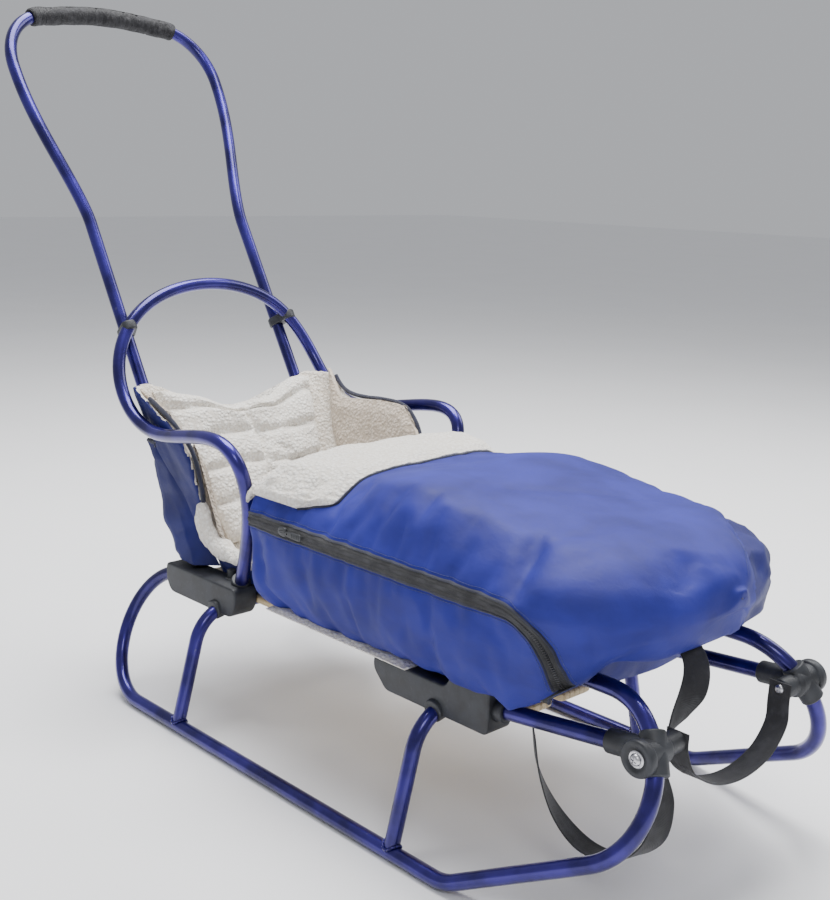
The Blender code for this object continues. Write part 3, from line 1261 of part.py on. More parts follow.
def connector_room(name, side):
    """The hidden block that lifts the footmuff's underside over a mid connector."""
    gap = MUFF_TUBE_CLEARANCE
    inner = side * (CONNECTOR_MIDDLE - CONNECTOR_WIDTH / 2 - gap)
    outer = side * (CONNECTOR_MIDDLE + CONNECTOR_WIDTH / 2 + gap)
    below = MUFF_FLOOR - 0.03
    outline = [
        (MID_CONNECTOR_REAR - gap, below), (MID_CONNECTOR_FRONT + gap, below), (MID_CONNECTOR_FRONT + gap, MID_CONNECTOR_HIGH + gap),
        (MID_CONNECTOR_STEP + CONNECTOR_CHAMFER - gap, MID_CONNECTOR_HIGH + gap),
        (MID_CONNECTOR_STEP - 2 * CONNECTOR_CHAMFER - gap, MID_CONNECTOR_LOW + gap), (MID_CONNECTOR_REAR - gap, MID_CONNECTOR_LOW + gap),
    ]
    return make_object(f"room_connector_{name}", prism(outline, inner, outer))


def build_straps(frame):
    """The webbing pull strap between the clamps, and the tether that holds the footmuff's toe down."""
    end_x = lean_x(CLAMP_HEIGHT) - CLAMP_BODY / 2 - BARREL_LENGTH - FIT - WEBBING_THICKNESS / 2
    left = [at(-end_x, CLAMP_FORWARD, CLAMP_HEIGHT + BARREL_RADIUS - CLAMP_EDGE)]
    left.append(at(PULL_STRAP_EASE - end_x, CLAMP_FORWARD, CLAMP_HEIGHT - BARREL_RADIUS))
    left += [at(-x, forward, height) for x, forward, height in PULL_STRAP_DROP]
    points = catmull_through(left + mirrored(left[:-1])[::-1], 3)
    across = [Vector((0.0, 1.0, 0.0))] * len(points)
    make_object("pull_strap", ribbon(points, across, WEBBING_WIDTH, WEBBING_THICKNESS), WEBBING)

    toe_height = TOE_UNDERSIDE - FIT - WEBBING_THICKNESS / 2
    low, high = frame.rail["left"]
    rail_place = low.lerp(high, (REAR_BOW_Y - TETHER_END - low.y) / (high.y - low.y))
    rail_height = rail_place.z - TUBE_RADIUS - FIT - TETHER_END_GAP
    places = [(x, forward, toe_height + rise, turn) for x, forward, rise, turn in TETHER_START] + TETHER_ROUTE
    places.append((rail_place.x, TETHER_END, rail_height, TETHER_END_TURN))
    points = catmull_through([at(*place[:3]) for place in places], 3)
    turns = catmull_through([Vector((place[3], 0.0, 0.0)) for place in places], 3)
    across = [Vector((math.cos(math.radians(turn.x)), -math.sin(math.radians(turn.x)), 0.0)) for turn in turns]
    make_object("tether_strap", ribbon(points, across, WEBBING_WIDTH, WEBBING_THICKNESS), WEBBING)


def main():
    """Builds the sled."""
    clear_scene()
    frame = Frame()
    frame.build()
    build_handle(frame)
    Footmuff(frame).build()
    build_straps(frame)


main()
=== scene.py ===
"""The look of the sled stroller: steel tubes, plastic fittings, wooden slats, webbing and a lined footmuff.

Metres, +Z up. The sled's front faces -Y. Places along the sled are given as a distance forward of the
rear leg bow, as in the solid model, and become Y in one place.
"""

import logging
import math
from collections.abc import Callable, Iterator, Sequence
from contextlib import contextmanager
from dataclasses import dataclass, field
from enum import Enum

import bmesh
import bpy
import numpy as np
from mathutils import Matrix, Vector, noise
from mathutils.bvhtree import BVHTree


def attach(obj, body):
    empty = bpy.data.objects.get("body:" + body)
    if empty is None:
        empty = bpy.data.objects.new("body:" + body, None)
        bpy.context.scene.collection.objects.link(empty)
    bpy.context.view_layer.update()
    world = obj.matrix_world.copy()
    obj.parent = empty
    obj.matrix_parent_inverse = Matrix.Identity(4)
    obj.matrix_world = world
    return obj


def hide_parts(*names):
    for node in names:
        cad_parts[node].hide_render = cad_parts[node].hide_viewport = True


LOG = logging.getLogger("sled_stroller")
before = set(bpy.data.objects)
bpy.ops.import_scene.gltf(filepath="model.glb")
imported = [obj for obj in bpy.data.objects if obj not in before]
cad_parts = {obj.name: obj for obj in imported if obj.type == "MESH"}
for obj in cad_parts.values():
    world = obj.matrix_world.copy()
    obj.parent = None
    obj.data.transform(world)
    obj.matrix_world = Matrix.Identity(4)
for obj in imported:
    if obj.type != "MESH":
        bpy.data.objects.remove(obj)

UP = Vector((0.0, 0.0, 1.0))
OUTWARD = Vector((1.0, 0.0, 0.0))
REAR_BOW_Y = 0.0749
# How far back the handle's legs lean for each metre up, and what that makes of a metre across them.
LEG_SLOPE = 0.6076
LEG_SLANT = 1.1701

Ring = list[Vector]
Colour = tuple[float, float, float]


class Body(Enum):
    """The sled's moving bodies."""

    FRAME = "frame"
    HANDLE = "handle"
    COVER = "cover"
    SLIDER = "slider"
    PULL = "pull"


class Slot(Enum):
    """The finishes' names."""

    TUBE = "navy_tube"
    PLASTIC = "black_plastic"
    FOAM = "black_foam"
    NYLON = "blue_nylon"
    FLEECE = "cream_fleece"
    WOOD = "pale_wood"
    STEEL = "bright_steel"
    ZIP = "zip_black"
    WEBBING = "webbing"


class Side(Enum):
    """The two sides of the sled, each with its sign along X."""

    LEFT = -1.0
    RIGHT = 1.0

    @property
    def word(self) -> str:
        """The side's word in the names of pieces."""
        return self.name.lower()


def at(x: float, forward: float, height: float) -> Vector:
    """A place from its sideways distance, its distance forward of the rear bow and its height."""
    return Vector((x, REAR_BOW_Y - forward, height))


def forward_of(place: Vector) -> float:
    """How far forward of the rear bow a place is."""
    return REAR_BOW_Y - place.y


def flat_line(pairs: Sequence[tuple[float, float]]) -> Ring:
    """Pairs of forward and height as places in a plane."""
    return [Vector((forward, height, 0.0)) for forward, height in pairs]


def ripple(x: float, y: float, z: float) -> float:
    """Smooth noise at three coordinates, about -0.5 to 0.5."""
    return noise.noise(Vector((x, y, z)))


def mirrored(points: Sequence[Vector]) -> Ring:
    """The same places on the other side of the sled."""
    return [Vector((-point.x, point.y, point.z)) for point in points]


def smoothstep(value: float, low: float, high: float) -> float:
    """Rises from 0 to 1 between two values, level at both ends."""
    share = min(1.0, max(0.0, (value - low) / (high - low)))
    return share * share * (3.0 - 2.0 * share)


def between(value: float, low: float, full: float, fading: float, end: float) -> float:
    """Rises from 0 at low to 1 at full, and falls from 1 at fading to 0 at end."""
    return smoothstep(value, low, full) * (1.0 - smoothstep(value, fading, end))


def swollen(wave: float, power: float) -> float:
    """A sine or cosine drawn towards a rectangle by a power under 1."""
    return math.copysign(abs(wave) ** power, wave)


def lerp(start: float, end: float, share: float) -> float:
    """The number a share of the way from one to another."""
    return start + (end - start) * share


def spline_point(control: Sequence[Vector], share: float) -> Vector:
    """One point of a cubic B-spline span.

    Args:
        control: The span's four control points.
        share: How far along the span, from 0 to 1.

    Returns:
        The point.
    """
    weights = (
        (1 - share) ** 3 / 6,
        (3 * share**3 - 6 * share**2 + 4) / 6,
        (-3 * share**3 + 3 * share**2 + 3 * share + 1) / 6,
        share**3 / 6,
    )
    total = Vector((0.0, 0.0, 0.0))
    for point, weight in zip(control, weights):
        total += point * weight
    return total


def spline_near(points: Sequence[Vector], steps: int) -> Ring:
    """A smooth curve near its control points, with both ends kept.

    Args:
        points: The control points.
        steps: Points made in each span.

    Returns:
        The curve's points.
    """
    control = [2 * points[0] - points[1], *points, 2 * points[-1] - points[-2]]
    line = []
    for index in range(len(control) - 3):
        for step in range(steps):
            line.append(spline_point(control[index : index + 4], step / steps))
    line.append(spline_point(control[-4:], 1.0))
    return line


def curve_through(points: Sequence[Vector], steps: int) -> Ring:
    """A smooth curve that passes through every given point.

    Args:
        points: The points to pass through.
        steps: Points made in each span.

    Returns:
        The curve's points.
    """
    control = [2 * points[0] - points[1], *points, 2 * points[-1] - points[-2]]
    line = []
    for index in range(len(control) - 3):
        a, b, c, d = control[index : index + 4]
        for step in range(steps):
            t = step / steps
            square = (2 * a - 5 * b + 4 * c - d) * t**2
            cube = (3 * b - a - 3 * c + d) * t**3
            line.append(0.5 * (2 * b + (c - a) * t + square + cube))
    line.append(points[-1].copy())
    return line


def line_length(points: Sequence[Vector]) -> float:
    """The length of a line of points."""
    return sum((after - before).length for before, after in zip(points, points[1:]))


def reaches(points: Sequence[Vector]) -> list[float]:
    """The length of a line from its start to each of its points."""
    reach = [0.0]
    for before, after in zip(points, points[1:]):
        reach.append(reach[-1] + (after - before).length)
    return reach


def resampled(points: Sequence[Vector], count: int) -> Ring:
    """The same line with its points spread evenly.

    Args:
        points: The line.
        count: The number of spans wanted.

    Returns:
        The line's new points, one more than count.
    """
    reach = reaches(points)
    line = []
    span = 0
    for step in range(count + 1):
        goal = reach[-1] * step / count
        while span < len(points) - 2 and reach[span + 1] < goal:
            span += 1
        width = max(1e-9, reach[span + 1] - reach[span])
        line.append(points[span].lerp(points[span + 1], min(1.0, (goal - reach[span]) / width)))
    return line


def tangents(points: Sequence[Vector]) -> Ring:
    """The direction of a line at each of its points."""
    last = len(points) - 1
    return [(points[min(i + 1, last)] - points[max(i - 1, 0)]).normalized() for i in range(last + 1)]


def sweep_rings(points: Sequence[Vector], radii: Sequence[float], sides: int) -> list[Ring]:
    """Rings round a line, without twist.

    Args:
        points: The line.
        radii: The radius at each point.
        sides: Points in each ring.

    Returns:
        One ring for each point.
    """
    heading = tangents(points)
    normal = heading[0].orthogonal().normalized()
    rings = []
    for point, tangent, radius in zip(points, heading, radii):
        normal = (normal - tangent * normal.dot(tangent)).normalized()
        binormal = tangent.cross(normal)
        ring = []
        for corner in range(sides):
            angle = math.tau * corner / sides
            ring.append(point + (normal * math.cos(angle) + binormal * math.sin(angle)) * radius)
        rings.append(ring)
    return rings


@contextmanager
def edited(mesh: bpy.types.Mesh) -> Iterator[bmesh.types.BMesh]:
    """Opens a mesh for editing and writes it back.

    Args:
        mesh: The mesh.

    Yields:
        Its editable form.
    """
    builder = bmesh.new()
    builder.from_mesh(mesh)
    yield builder
    builder.to_mesh(mesh)
    builder.free()


def softened(piece: bpy.types.Object, degrees: float) -> bpy.types.Object:
    """Shades a piece smooth, with edges over an angle kept sharp.

    Args:
        piece: The piece.
        degrees: The angle.

    Returns:
        The same piece.
    """
    piece.data.shade_smooth()
    piece.data.set_sharp_from_angle(angle=math.radians(degrees))
    return piece


def mesh_piece(
    name: str, places: Sequence[Vector], faces: Sequence[Sequence[int]], smooth: bool = True
) -> bpy.types.Object:
    """Makes an object from places and faces.

    Args:
        name: The piece's name.
        places: The corners.
        faces: Each face as indices of corners.
        smooth: Whether it is shaded smooth, with edges over 40 degrees kept sharp.

    Returns:
        The new object.
    """
    mesh = bpy.data.meshes.new(name)
    mesh.from_pydata([tuple(place) for place in places], [], [tuple(face) for face in faces])
    with edited(mesh) as builder:
        bmesh.ops.remove_doubles(builder, verts=builder.verts, dist=0.000005)
        bmesh.ops.recalc_face_normals(builder, faces=builder.faces)
    piece = bpy.data.objects.new(name, mesh)
    bpy.context.scene.collection.objects.link(piece)
    return softened(piece, 40.0) if smooth else piece


def loft(
    name: str, rings: Sequence[Ring], capped: bool = True, wrap: bool = True, smooth: bool = True
) -> bpy.types.Object:
    """A skin through rings of places.

    Args:
        name: The piece's name.
        rings: The rings, all with the same number of places.
        capped: Whether both ends are closed.
        wrap: Whether each ring closes on itself.
        smooth: Whether it is shaded smooth.

    Returns:
        The new object.
    """
    count = len(rings[0])
    places = [place for ring in rings for place in ring]
    faces: list[Sequence[int]] = []
    for row in range(len(rings) - 1):
        low, high = row * count, (row + 1) * count
        for corner in range(count if wrap else count - 1):
            after = (corner + 1) % count
            faces.append((low + corner, low + after, high + after, high + corner))
    if capped:
        faces.append(tuple(range(count))[::-1])
        faces.append(tuple(range((len(rings) - 1) * count, len(rings) * count)))
    return mesh_piece(name, places, faces, smooth)


def slab(name: str, outer: Sequence[Ring], inner: Sequence[Ring]) -> bpy.types.Object:
    """A closed slab between two grids of places.

    Args:
        name: The piece's name.
        outer: The rows of its upper face.
        inner: The rows of its lower face.

    Returns:
        The new object.
    """
    return loft(name, [upper + lower[::-1] for upper, lower in zip(outer, inner)])


def turned(
    name: str, profile: Sequence[tuple[float, float]], origin: Vector, axis: Vector, sides: int = 40
) -> bpy.types.Object:
    """A turned piece.

    Args:
        name: The piece's name.
        profile: Pairs of distance along the axis and radius, from end to end.
        origin: The place on the axis that the distances are measured from.
        axis: The axis direction.
        sides: Sides round it.

    Returns:
        The new object.
    """
    axis = axis.normalized()
    across = axis.orthogonal().normalized()
    upward = axis.cross(across)
    rings = []
    for along, radius in profile:
        ring = []
        for corner in range(sides):
            angle = math.tau * corner / sides
            ring.append(
                origin + axis * along + (across * math.cos(angle) + upward * math.sin(angle)) * radius
            )
        rings.append(ring)
    return loft(name, rings)


def stitch(ends: Ring, thin: float, thick: float) -> bpy.types.Object:
    """One stitch through three places, thickest in its middle.

    Args:
        ends: Its start, middle and end.
        thin: Its radius at its ends.
        thick: Its radius in its middle.

    Returns:
        The stitch.
    """
    return loft("stitch", sweep_rings(ends, [thin, thick, thin], 5))


def rounded_profile(start: float, end: float, radius: float, edge: float, steps: int = 4) -> list[
    tuple[float, float]
]:
    """A turned bar's outline with rounded ends.

    Args:
        start: Where it starts along the axis.
        end: Where it ends.
        radius: Its radius.
        edge: The radius of the rounding.
        steps: Steps in each rounding.

    Returns:
        Pairs of distance along the axis and radius.
    """
    profile = []
    for step in range(steps + 1):
        angle = math.pi / 2 * step / steps
        profile.append((start + edge * (1 - math.cos(angle)), radius - edge * (1 - math.sin(angle))))
    far = [(end - (along - start), size) for along, size in profile[::-1]]
    return profile + far


def rounded_outline(corners: Sequence[tuple[float, float]], radius: float, steps: int = 4) -> list[
    tuple[float, float]
]:
    """A flat outline with its corners rounded.

    Args:
        corners: The outline's corners in order.
        radius: The rounding, made smaller where an edge is short.
        steps: Steps in each corner.

    Returns:
        The rounded outline's corners.
    """
    outline = []
    count = len(corners)
    for index in range(count):
        before = Vector(corners[index - 1])
        here = Vector(corners[index])
        after = Vector(corners[(index + 1) % count])
        back, ahead = before - here, after - here
        reach = min(radius, 0.45 * back.length, 0.45 * ahead.length)
        start, end = here + back.normalized() * reach, here + ahead.normalized() * reach
        for step in range(steps + 1):
            share = step / steps
            outline.append(tuple(start.lerp(here, share).lerp(here.lerp(end, share), share)))
    return outline


def settled(piece: bpy.types.Object) -> bpy.types.Object:
    """Bakes a piece's modifiers into its mesh.

    Args:
        piece: The piece.

    Returns:
        The same piece without modifiers.
    """
    bpy.context.view_layer.update()
    graph = bpy.context.evaluated_depsgraph_get()
    made = bpy.data.meshes.new_from_object(piece.evaluated_get(graph), depsgraph=graph)
    piece.modifiers.clear()
    piece.data = made
    return piece


def bevelled(
    piece: bpy.types.Object, width: float, segments: int = 3, angle: float = 30.0
) -> bpy.types.Object:
    """Rounds a piece's edges.

    Args:
        piece: The piece.
        width: The rounding's width.
        segments: Segments in the rounding.
        angle: Edges that turn by more than this many degrees are rounded.

    Returns:
        The same piece.
    """
    step = piece.modifiers.new("rounding", "BEVEL")
    step.width = width
    step.segments = segments
    step.limit_method = "ANGLE"
    step.angle_limit = math.radians(angle)
    step.harden_normals = False
    return softened(settled(piece), 50.0)


def cut(piece: bpy.types.Object, cutter: bpy.types.Object, operation: str = "DIFFERENCE") -> None:
    """Cuts a piece with another, which is then removed.

    Args:
        piece: The piece that stays.
        cutter: The piece that cuts.
        operation: The Boolean's name.
    """
    step = piece.modifiers.new("cut", "BOOLEAN")
    step.operation = operation
    step.object = cutter
    step.solver = "EXACT"
    step.material_mode = "TRANSFER"
    settled(piece)
    bpy.data.objects.remove(cutter, do_unlink=True)


def joined(name: str, pieces: Sequence[bpy.types.Object]) -> bpy.types.Object:
    """Joins several pieces' meshes into the first one.

    Args:
        name: The joined piece's name.
        pieces: The pieces.

    Returns:
        The joined piece.
    """
    with edited(pieces[0].data) as builder:
        for piece in pieces[1:]:
            builder.from_mesh(piece.data)
    for piece in pieces[1:]:
        bpy.data.objects.remove(piece, do_unlink=True)
    pieces[0].name = name
    pieces[0].data.name = name
    return softened(pieces[0], 45.0)


def dress(
    piece: bpy.types.Object,
    finishes: Sequence[bpy.types.Material],
    body: Body,
    slot: Slot,
    stands_for: Sequence[str] = (),
) -> bpy.types.Object:
    """Gives a piece its materials and its body, and hides the solids that it stands for.

    Args:
        piece: The piece, in place.
        finishes: Its materials in slot order.
        body: The body that it rides on.
        slot: Not used.
        stands_for: Names of the solids that it hides.

    Returns:
        The same piece.
    """
    indexes = np.zeros(len(piece.data.polygons), dtype=np.int32)
    piece.data.polygons.foreach_get("material_index", indexes)
    piece.data.materials.clear()
    for finish in finishes:
        piece.data.materials.append(finish)
    piece.data.polygons.foreach_set("material_index", np.minimum(indexes, len(finishes) - 1))
    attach(piece, body.value)
    if stands_for:
        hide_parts(*stands_for)
    LOG.info("made %s on %s, %d faces", piece.name, body.value, len(piece.data.polygons))
    return piece


def repaint(node: str, finish: bpy.types.Material) -> None:
    """Gives a solid that stays its new material."""
    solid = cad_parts[node]
    for index in range(max(1, len(solid.material_slots))):
        if solid.material_slots:
            solid.material_slots[index].link = "OBJECT"
            solid.material_slots[index].material = finish


class Signal:
    """A shader socket that ordinary operators turn into Math nodes."""

    def __init__(self, graph: "ShaderGraph", socket: bpy.types.NodeSocket) -> None:
        """Wraps a socket of a graph."""
        self.graph = graph
        self.socket = socket

    def __add__(self, other: "Signal | float") -> "Signal":
        """This plus another."""
        return self.graph.math("ADD", self, other)

    def __sub__(self, other: "Signal | float") -> "Signal":
        """This minus another."""
        return self.graph.math("SUBTRACT", self, other)

    def __rsub__(self, other: float) -> "Signal":
        """A number minus this."""
        return self.graph.math("SUBTRACT", other, self)

    def __mul__(self, other: "Signal | float") -> "Signal":
        """This times another."""
        return self.graph.math("MULTIPLY", self, other)

    def __truediv__(self, other: "Signal | float") -> "Signal":
        """This divided by another."""
        return self.graph.math("DIVIDE", self, other)

    def __pow__(self, other: float) -> "Signal":
        """This to a power."""
        return self.graph.math("POWER", self, other)

    __radd__ = __add__
    __rmul__ = __mul__

    def sine(self) -> "Signal":
        """The sine of this."""
        return self.graph.math("SINE", self, 0.0)

    def size(self) -> "Signal":
        """This without its sign."""
        return self.graph.math("ABSOLUTE", self, 0.0)

    def over(self, low: float, high: float) -> "Signal":
        """A smooth mask from 0 at low to 1 at high."""
        settings = {"interpolation_type": "SMOOTHSTEP"}
        return self.graph.out(
            "ShaderNodeMapRange", settings, {"Value": self, "From Min": low, "From Max": high}
        )


class ShaderGraph:
    """A material's nodes round one Principled shader."""

    def __init__(self, name: str, **constants: float | Colour) -> None:
        """Makes the material and sets its constant sockets.

        Args:
            name: The material's name.
            constants: Socket values, with underscores in place of spaces.
        """
        self.material = bpy.data.materials.new(name)
        self.material.use_nodes = True
        self.tree = self.material.node_tree
        self.shader = self.tree.nodes["Principled BSDF"]
        for key, value in constants.items():
            socket = self.shader.inputs[key.replace("_", " ")]
            socket.default_value = (*value, 1.0) if isinstance(
                value, tuple
            ) and socket.type == "RGBA" else value

    def add(self, kind: str, settings: dict, sockets: dict) -> bpy.types.Node:
        """Adds any node.

        Args:
            kind: The node's type.
            settings: Its properties, or "stops" for a ramp's positions and colours.
            sockets: Values or links by socket name.

        Returns:
            The node.
        """
        node = self.tree.nodes.new(kind)
        for key, value in settings.items():
            if key == "stops":
                while len(node.color_ramp.elements) < len(value):
                    node.color_ramp.elements.new(1.0)
                for element, (position, colour) in zip(node.color_ramp.elements, value):
                    element.position = position
                    element.color = (*colour, 1.0)
            else:
                setattr(node, key, value)
        for key, value in sockets.items():
            socket = node.inputs[key] if isinstance(key, int) else next(
                s for s in node.inputs if s.name == key and s.enabled
            )
            if isinstance(value, Signal):
                self.tree.links.new(value.socket, socket)
            elif socket.type == "RGBA":
                socket.default_value = (*value, 1.0)
            else:
                socket.default_value = value
        return node

    def out(self, kind: str, settings: dict, sockets: dict, name: str | None = None) -> Signal:
        """Adds a node and gives one of its outputs.

        Args:
            kind: The node's type.
            settings: Its properties.
            sockets: Values or links by socket name.
            name: The output's name, or None for the first that is in use.

        Returns:
            The output.
        """
        node = self.add(kind, settings, sockets)
        return Signal(self, next(s for s in node.outputs if s.enabled and name in (None, s.name)))

    def math(self, operation: str, first: "Signal | float", second: "Signal | float") -> Signal:
        """A Math node on two values."""
        return self.out("ShaderNodeMath", {"operation": operation}, {0: first, 1: second})

    def place(self, stretch: tuple[float, float, float] = (1.0, 1.0, 1.0)) -> Signal:
        """The place on the piece in metres, stretched along each axis."""
        spot = self.out("ShaderNodeTexCoord", {}, {}, "Object")
        return self.out("ShaderNodeVectorMath", {"operation": "MULTIPLY"}, {0: spot, 1: stretch})

    def axis(self, name: str) -> Signal:
        """One coordinate of the place, named X, Y or Z."""
        spot = self.out("ShaderNodeTexCoord", {}, {}, "Object")
        return self.out("ShaderNodeSeparateXYZ", {}, {"Vector": spot}, name)

    def clouds(
        self, scale: float, detail: float = 2.0, twist: float = 0.0,
        stretch: tuple[float, float, float] = (1, 1, 1),
    ) -> Signal:
        """A noise value.

        Args:
            scale: Features per metre.
            detail: Octaves.
            twist: Distortion.
            stretch: The stretch along each axis.

        Returns:
            The noise, about 0.3 to 0.7.
        """
        sockets = {"Vector": self.place(stretch), "Scale": scale, "Detail": detail, "Distortion": twist}
        return self.out("ShaderNodeTexNoise", {}, sockets, "Fac")

    def cells(
        self, scale: float, feature: str = "F1", stretch: tuple[float, float, float] = (1, 1, 1)
    ) -> Signal:
        """A cell pattern's distance value."""
        sockets = {"Vector": self.place(stretch), "Scale": scale}
        return self.out("ShaderNodeTexVoronoi", {"feature": feature}, sockets, "Distance")

    def tint(self, factor: "Signal | float", first: "Colour | Signal", second: "Colour | Signal") -> Signal:
        """Mixes two colours."""
        return self.out(
            "ShaderNodeMix", {"data_type": "RGBA"}, {"Factor": factor, "A": first, "B": second}, "Result"
        )

    def ramp(self, value: Signal, stops: Sequence[tuple[float, Colour]]) -> Signal:
        """A value turned into colours by stops."""
        return self.out("ShaderNodeValToRGB", {"stops": stops}, {"Fac": value}, "Color")

    def bump(
        self, height: Signal, depth: float, strength: float = 1.0, under: Signal | None = None
    ) -> Signal:
        """A bumped normal.

        Args:
            height: The height value.
            depth: The height in metres of one unit.
            strength: How strong it is.
            under: A normal that it adds to.

        Returns:
            The normal.
        """
        sockets = {"Height": height, "Distance": depth, "Strength": strength}
        if under is not None:
            sockets["Normal"] = under
        return self.out("ShaderNodeBump", {}, sockets)

    def feed(self, **links: Signal) -> bpy.types.Material:
        """Links signals to the shader.

        Args:
            links: Signals by socket name, with underscores in place of spaces.

        Returns:
            The finished material.
        """
        for key, signal in links.items():
            self.tree.links.new(signal.socket, self.shader.inputs[key.replace("_", " ")])
        return self.material


@dataclass(frozen=True)
class TubePaint:
    """Dark blue metallic paint under a clear coat, scuffed where the tubes run on the ground."""

    deep: Colour = (0.009, 0.006, 0.070)
    bright: Colour = (0.032, 0.021, 0.215)
    scuff: Colour = (0.16, 0.16, 0.20)

    def build(self) -> bpy.types.Material:
        """Makes the material."""
        graph = ShaderGraph(
            "tube_paint", Metallic=0.75, Coat_Weight=0.45, Coat_Roughness=0.05, Specular_IOR_Level=0.5
        )
        flake = graph.cells(2600.0)
        drift = graph.clouds(22.0, 3.0)
        paint = graph.tint(drift.over(0.35, 0.65), self.deep, self.bright)
        paint = graph.tint(flake.over(0.25, 0.75) * 0.30, paint, self.bright)
        low = 1.0 - graph.axis("Z").over(0.0015, 0.0075)
        scratch = graph.clouds(420.0, 4.0, 0.4, (1.0, 0.06, 1.0)).over(0.50, 0.60)
        worn = low * scratch
        rough = 0.24 + drift * 0.10 + worn * 0.30
        chips = graph.clouds(95.0, 5.0).over(0.70, 0.74)
        normal = graph.bump(graph.clouds(700.0, 2.0), 0.00006, 0.5)
        normal = graph.bump(worn + chips * 0.4, 0.00010, 0.6, normal)
        return graph.feed(
            Base_Color=graph.tint(worn + chips * 0.25, paint, self.scuff), Roughness=rough, Normal=normal
        )


@dataclass(frozen=True)
class MouldedPlastic:
    """Near-black moulded plastic with a fine sparked grain."""

    name: str = "moulded_plastic"
    dark: Colour = (0.012, 0.013, 0.016)
    grey: Colour = (0.036, 0.040, 0.048)
    rough: float = 0.42

    def build(self) -> bpy.types.Material:
        """Makes the material."""
        graph = ShaderGraph(self.name, Specular_IOR_Level=0.5)
        drift = graph.clouds(60.0, 4.0)
        grain = graph.clouds(2400.0, 2.0)
        scuff = graph.clouds(260.0, 5.0, 0.5).over(0.60, 0.70)
        colour = graph.tint(drift.over(0.3, 0.7) * 0.7 + scuff * 0.3, self.dark, self.grey)
        normal = graph.bump(grain, 0.00012, 0.6)
        normal = graph.bump(graph.clouds(75.0, 2.0), 0.0004, 0.25, normal)
        return graph.feed(
            Base_Color=colour, Roughness=self.rough + drift * 0.16 - scuff * 0.08, Normal=normal
        )


@dataclass(frozen=True)
class GripFoam:
    """Black foam rubber with pores and rubbed creases."""

    dark: Colour = (0.010, 0.010, 0.012)
    dusty: Colour = (0.055, 0.055, 0.060)

    def build(self) -> bpy.types.Material:
        """Makes the material."""
        graph = ShaderGraph("grip_foam", Specular_IOR_Level=0.35)
        pores = graph.cells(900.0)
        creases = graph.clouds(150.0, 5.0, 1.5, (1.6, 0.6, 0.6))
        rub = graph.clouds(48.0, 4.0).over(0.50, 0.68)
        colour = graph.tint(rub * 0.7 + creases.over(0.45, 0.62) * 0.3, self.dark, self.dusty)
        normal = graph.bump(pores.over(0.05, 0.45), 0.00035, 0.7)
        normal = graph.bump(creases, 0.0022, 0.8, normal)
        return graph.feed(Base_Color=colour, Roughness=0.62 + rub * 0.25, Normal=normal)


@dataclass(frozen=True)
class Nylon:
    """Royal blue woven nylon over padding, with a soft shine and fine creases."""

    name: str = "nylon"
    shade: Colour = (0.011, 0.013, 0.140)
    light: Colour = (0.025, 0.030, 0.300)
    crease_depth: float = 0.0030

    def build(self) -> bpy.types.Material:
        """Makes the material."""
        graph = ShaderGraph(self.name, Sheen_Weight=0.04, Sheen_Roughness=0.40, Specular_IOR_Level=0.28)
        graph.shader.inputs["Sheen Tint"].default_value = (0.62, 0.70, 1.0, 1.0)
        thread = math.tau / 0.00085
        x, y, z = graph.axis("X"), graph.axis("Y"), graph.axis("Z")
        weave = ((x + z * 0.6) * thread).sine() * (y * thread).sine()
        broad = graph.clouds(11.0, 2.0, 0.6)
        folds = graph.clouds(30.0, 2.0, 0.5, (0.75, 0.5, 1.0))
        fine = graph.clouds(140.0, 3.0, 0.5, (1.0, 0.6, 1.0))
        colour = graph.tint(
            broad.over(0.3, 0.7) * 0.5 + folds.over(0.35, 0.65) * 0.25 + fine * 0.25, self.shade, self.light
        )
        colour = graph.tint(weave.over(-1.0, 1.0) * 0.12, colour, self.shade)
        rough = 0.50 + fine * 0.16
        normal = graph.bump(weave, 0.00006, 0.5)
        normal = graph.bump(fine, 0.0008, 0.35, normal)
        normal = graph.bump(folds * 0.7 + broad, self.crease_depth, 0.35, normal)
        return graph.feed(Base_Color=colour, Roughness=rough, Normal=normal)


@dataclass(frozen=True)
class Sherpa:
    """Cream curly fleece with painted shade in the pits between its curls."""

    name: str = "sherpa"
    curl: Colour = (0.930, 0.905, 0.850)
    pit_shade: Colour = (0.640, 0.575, 0.490)
    tan: Colour = (0.780, 0.700, 0.590)

    def build(self) -> bpy.types.Material:
        """Makes the material."""
        graph = ShaderGraph(self.name, Sheen_Weight=0.55, Sheen_Roughness=0.6, Specular_IOR_Level=0.15)
        graph.shader.inputs["Sheen Tint"].default_value = (1.0, 0.97, 0.92, 1.0)
        lumps = graph.cells(210.0)
        curls = graph.clouds(330.0, 3.0, 2.2)
        tufts = graph.clouds(70.0, 3.0, 0.8)
        height = (1.0 - lumps.over(0.10, 0.75)) * 0.6 + curls * 0.5 + tufts * 0.5
        # Painted shade: the low places of the curls' height are darkened towards the pit colour.
        pit_shade_mask = 1.0 - height.over(0.45, 0.95)
        colour = graph.tint(pit_shade_mask * 0.55, self.curl, self.pit_shade)
        colour = graph.tint(tufts.over(0.52, 0.75) * 0.22, colour, self.tan)
        normal = graph.bump(height, 0.0030, 0.85)
        return graph.feed(Base_Color=colour, Roughness=0.86 + curls * 0.12, Normal=normal)


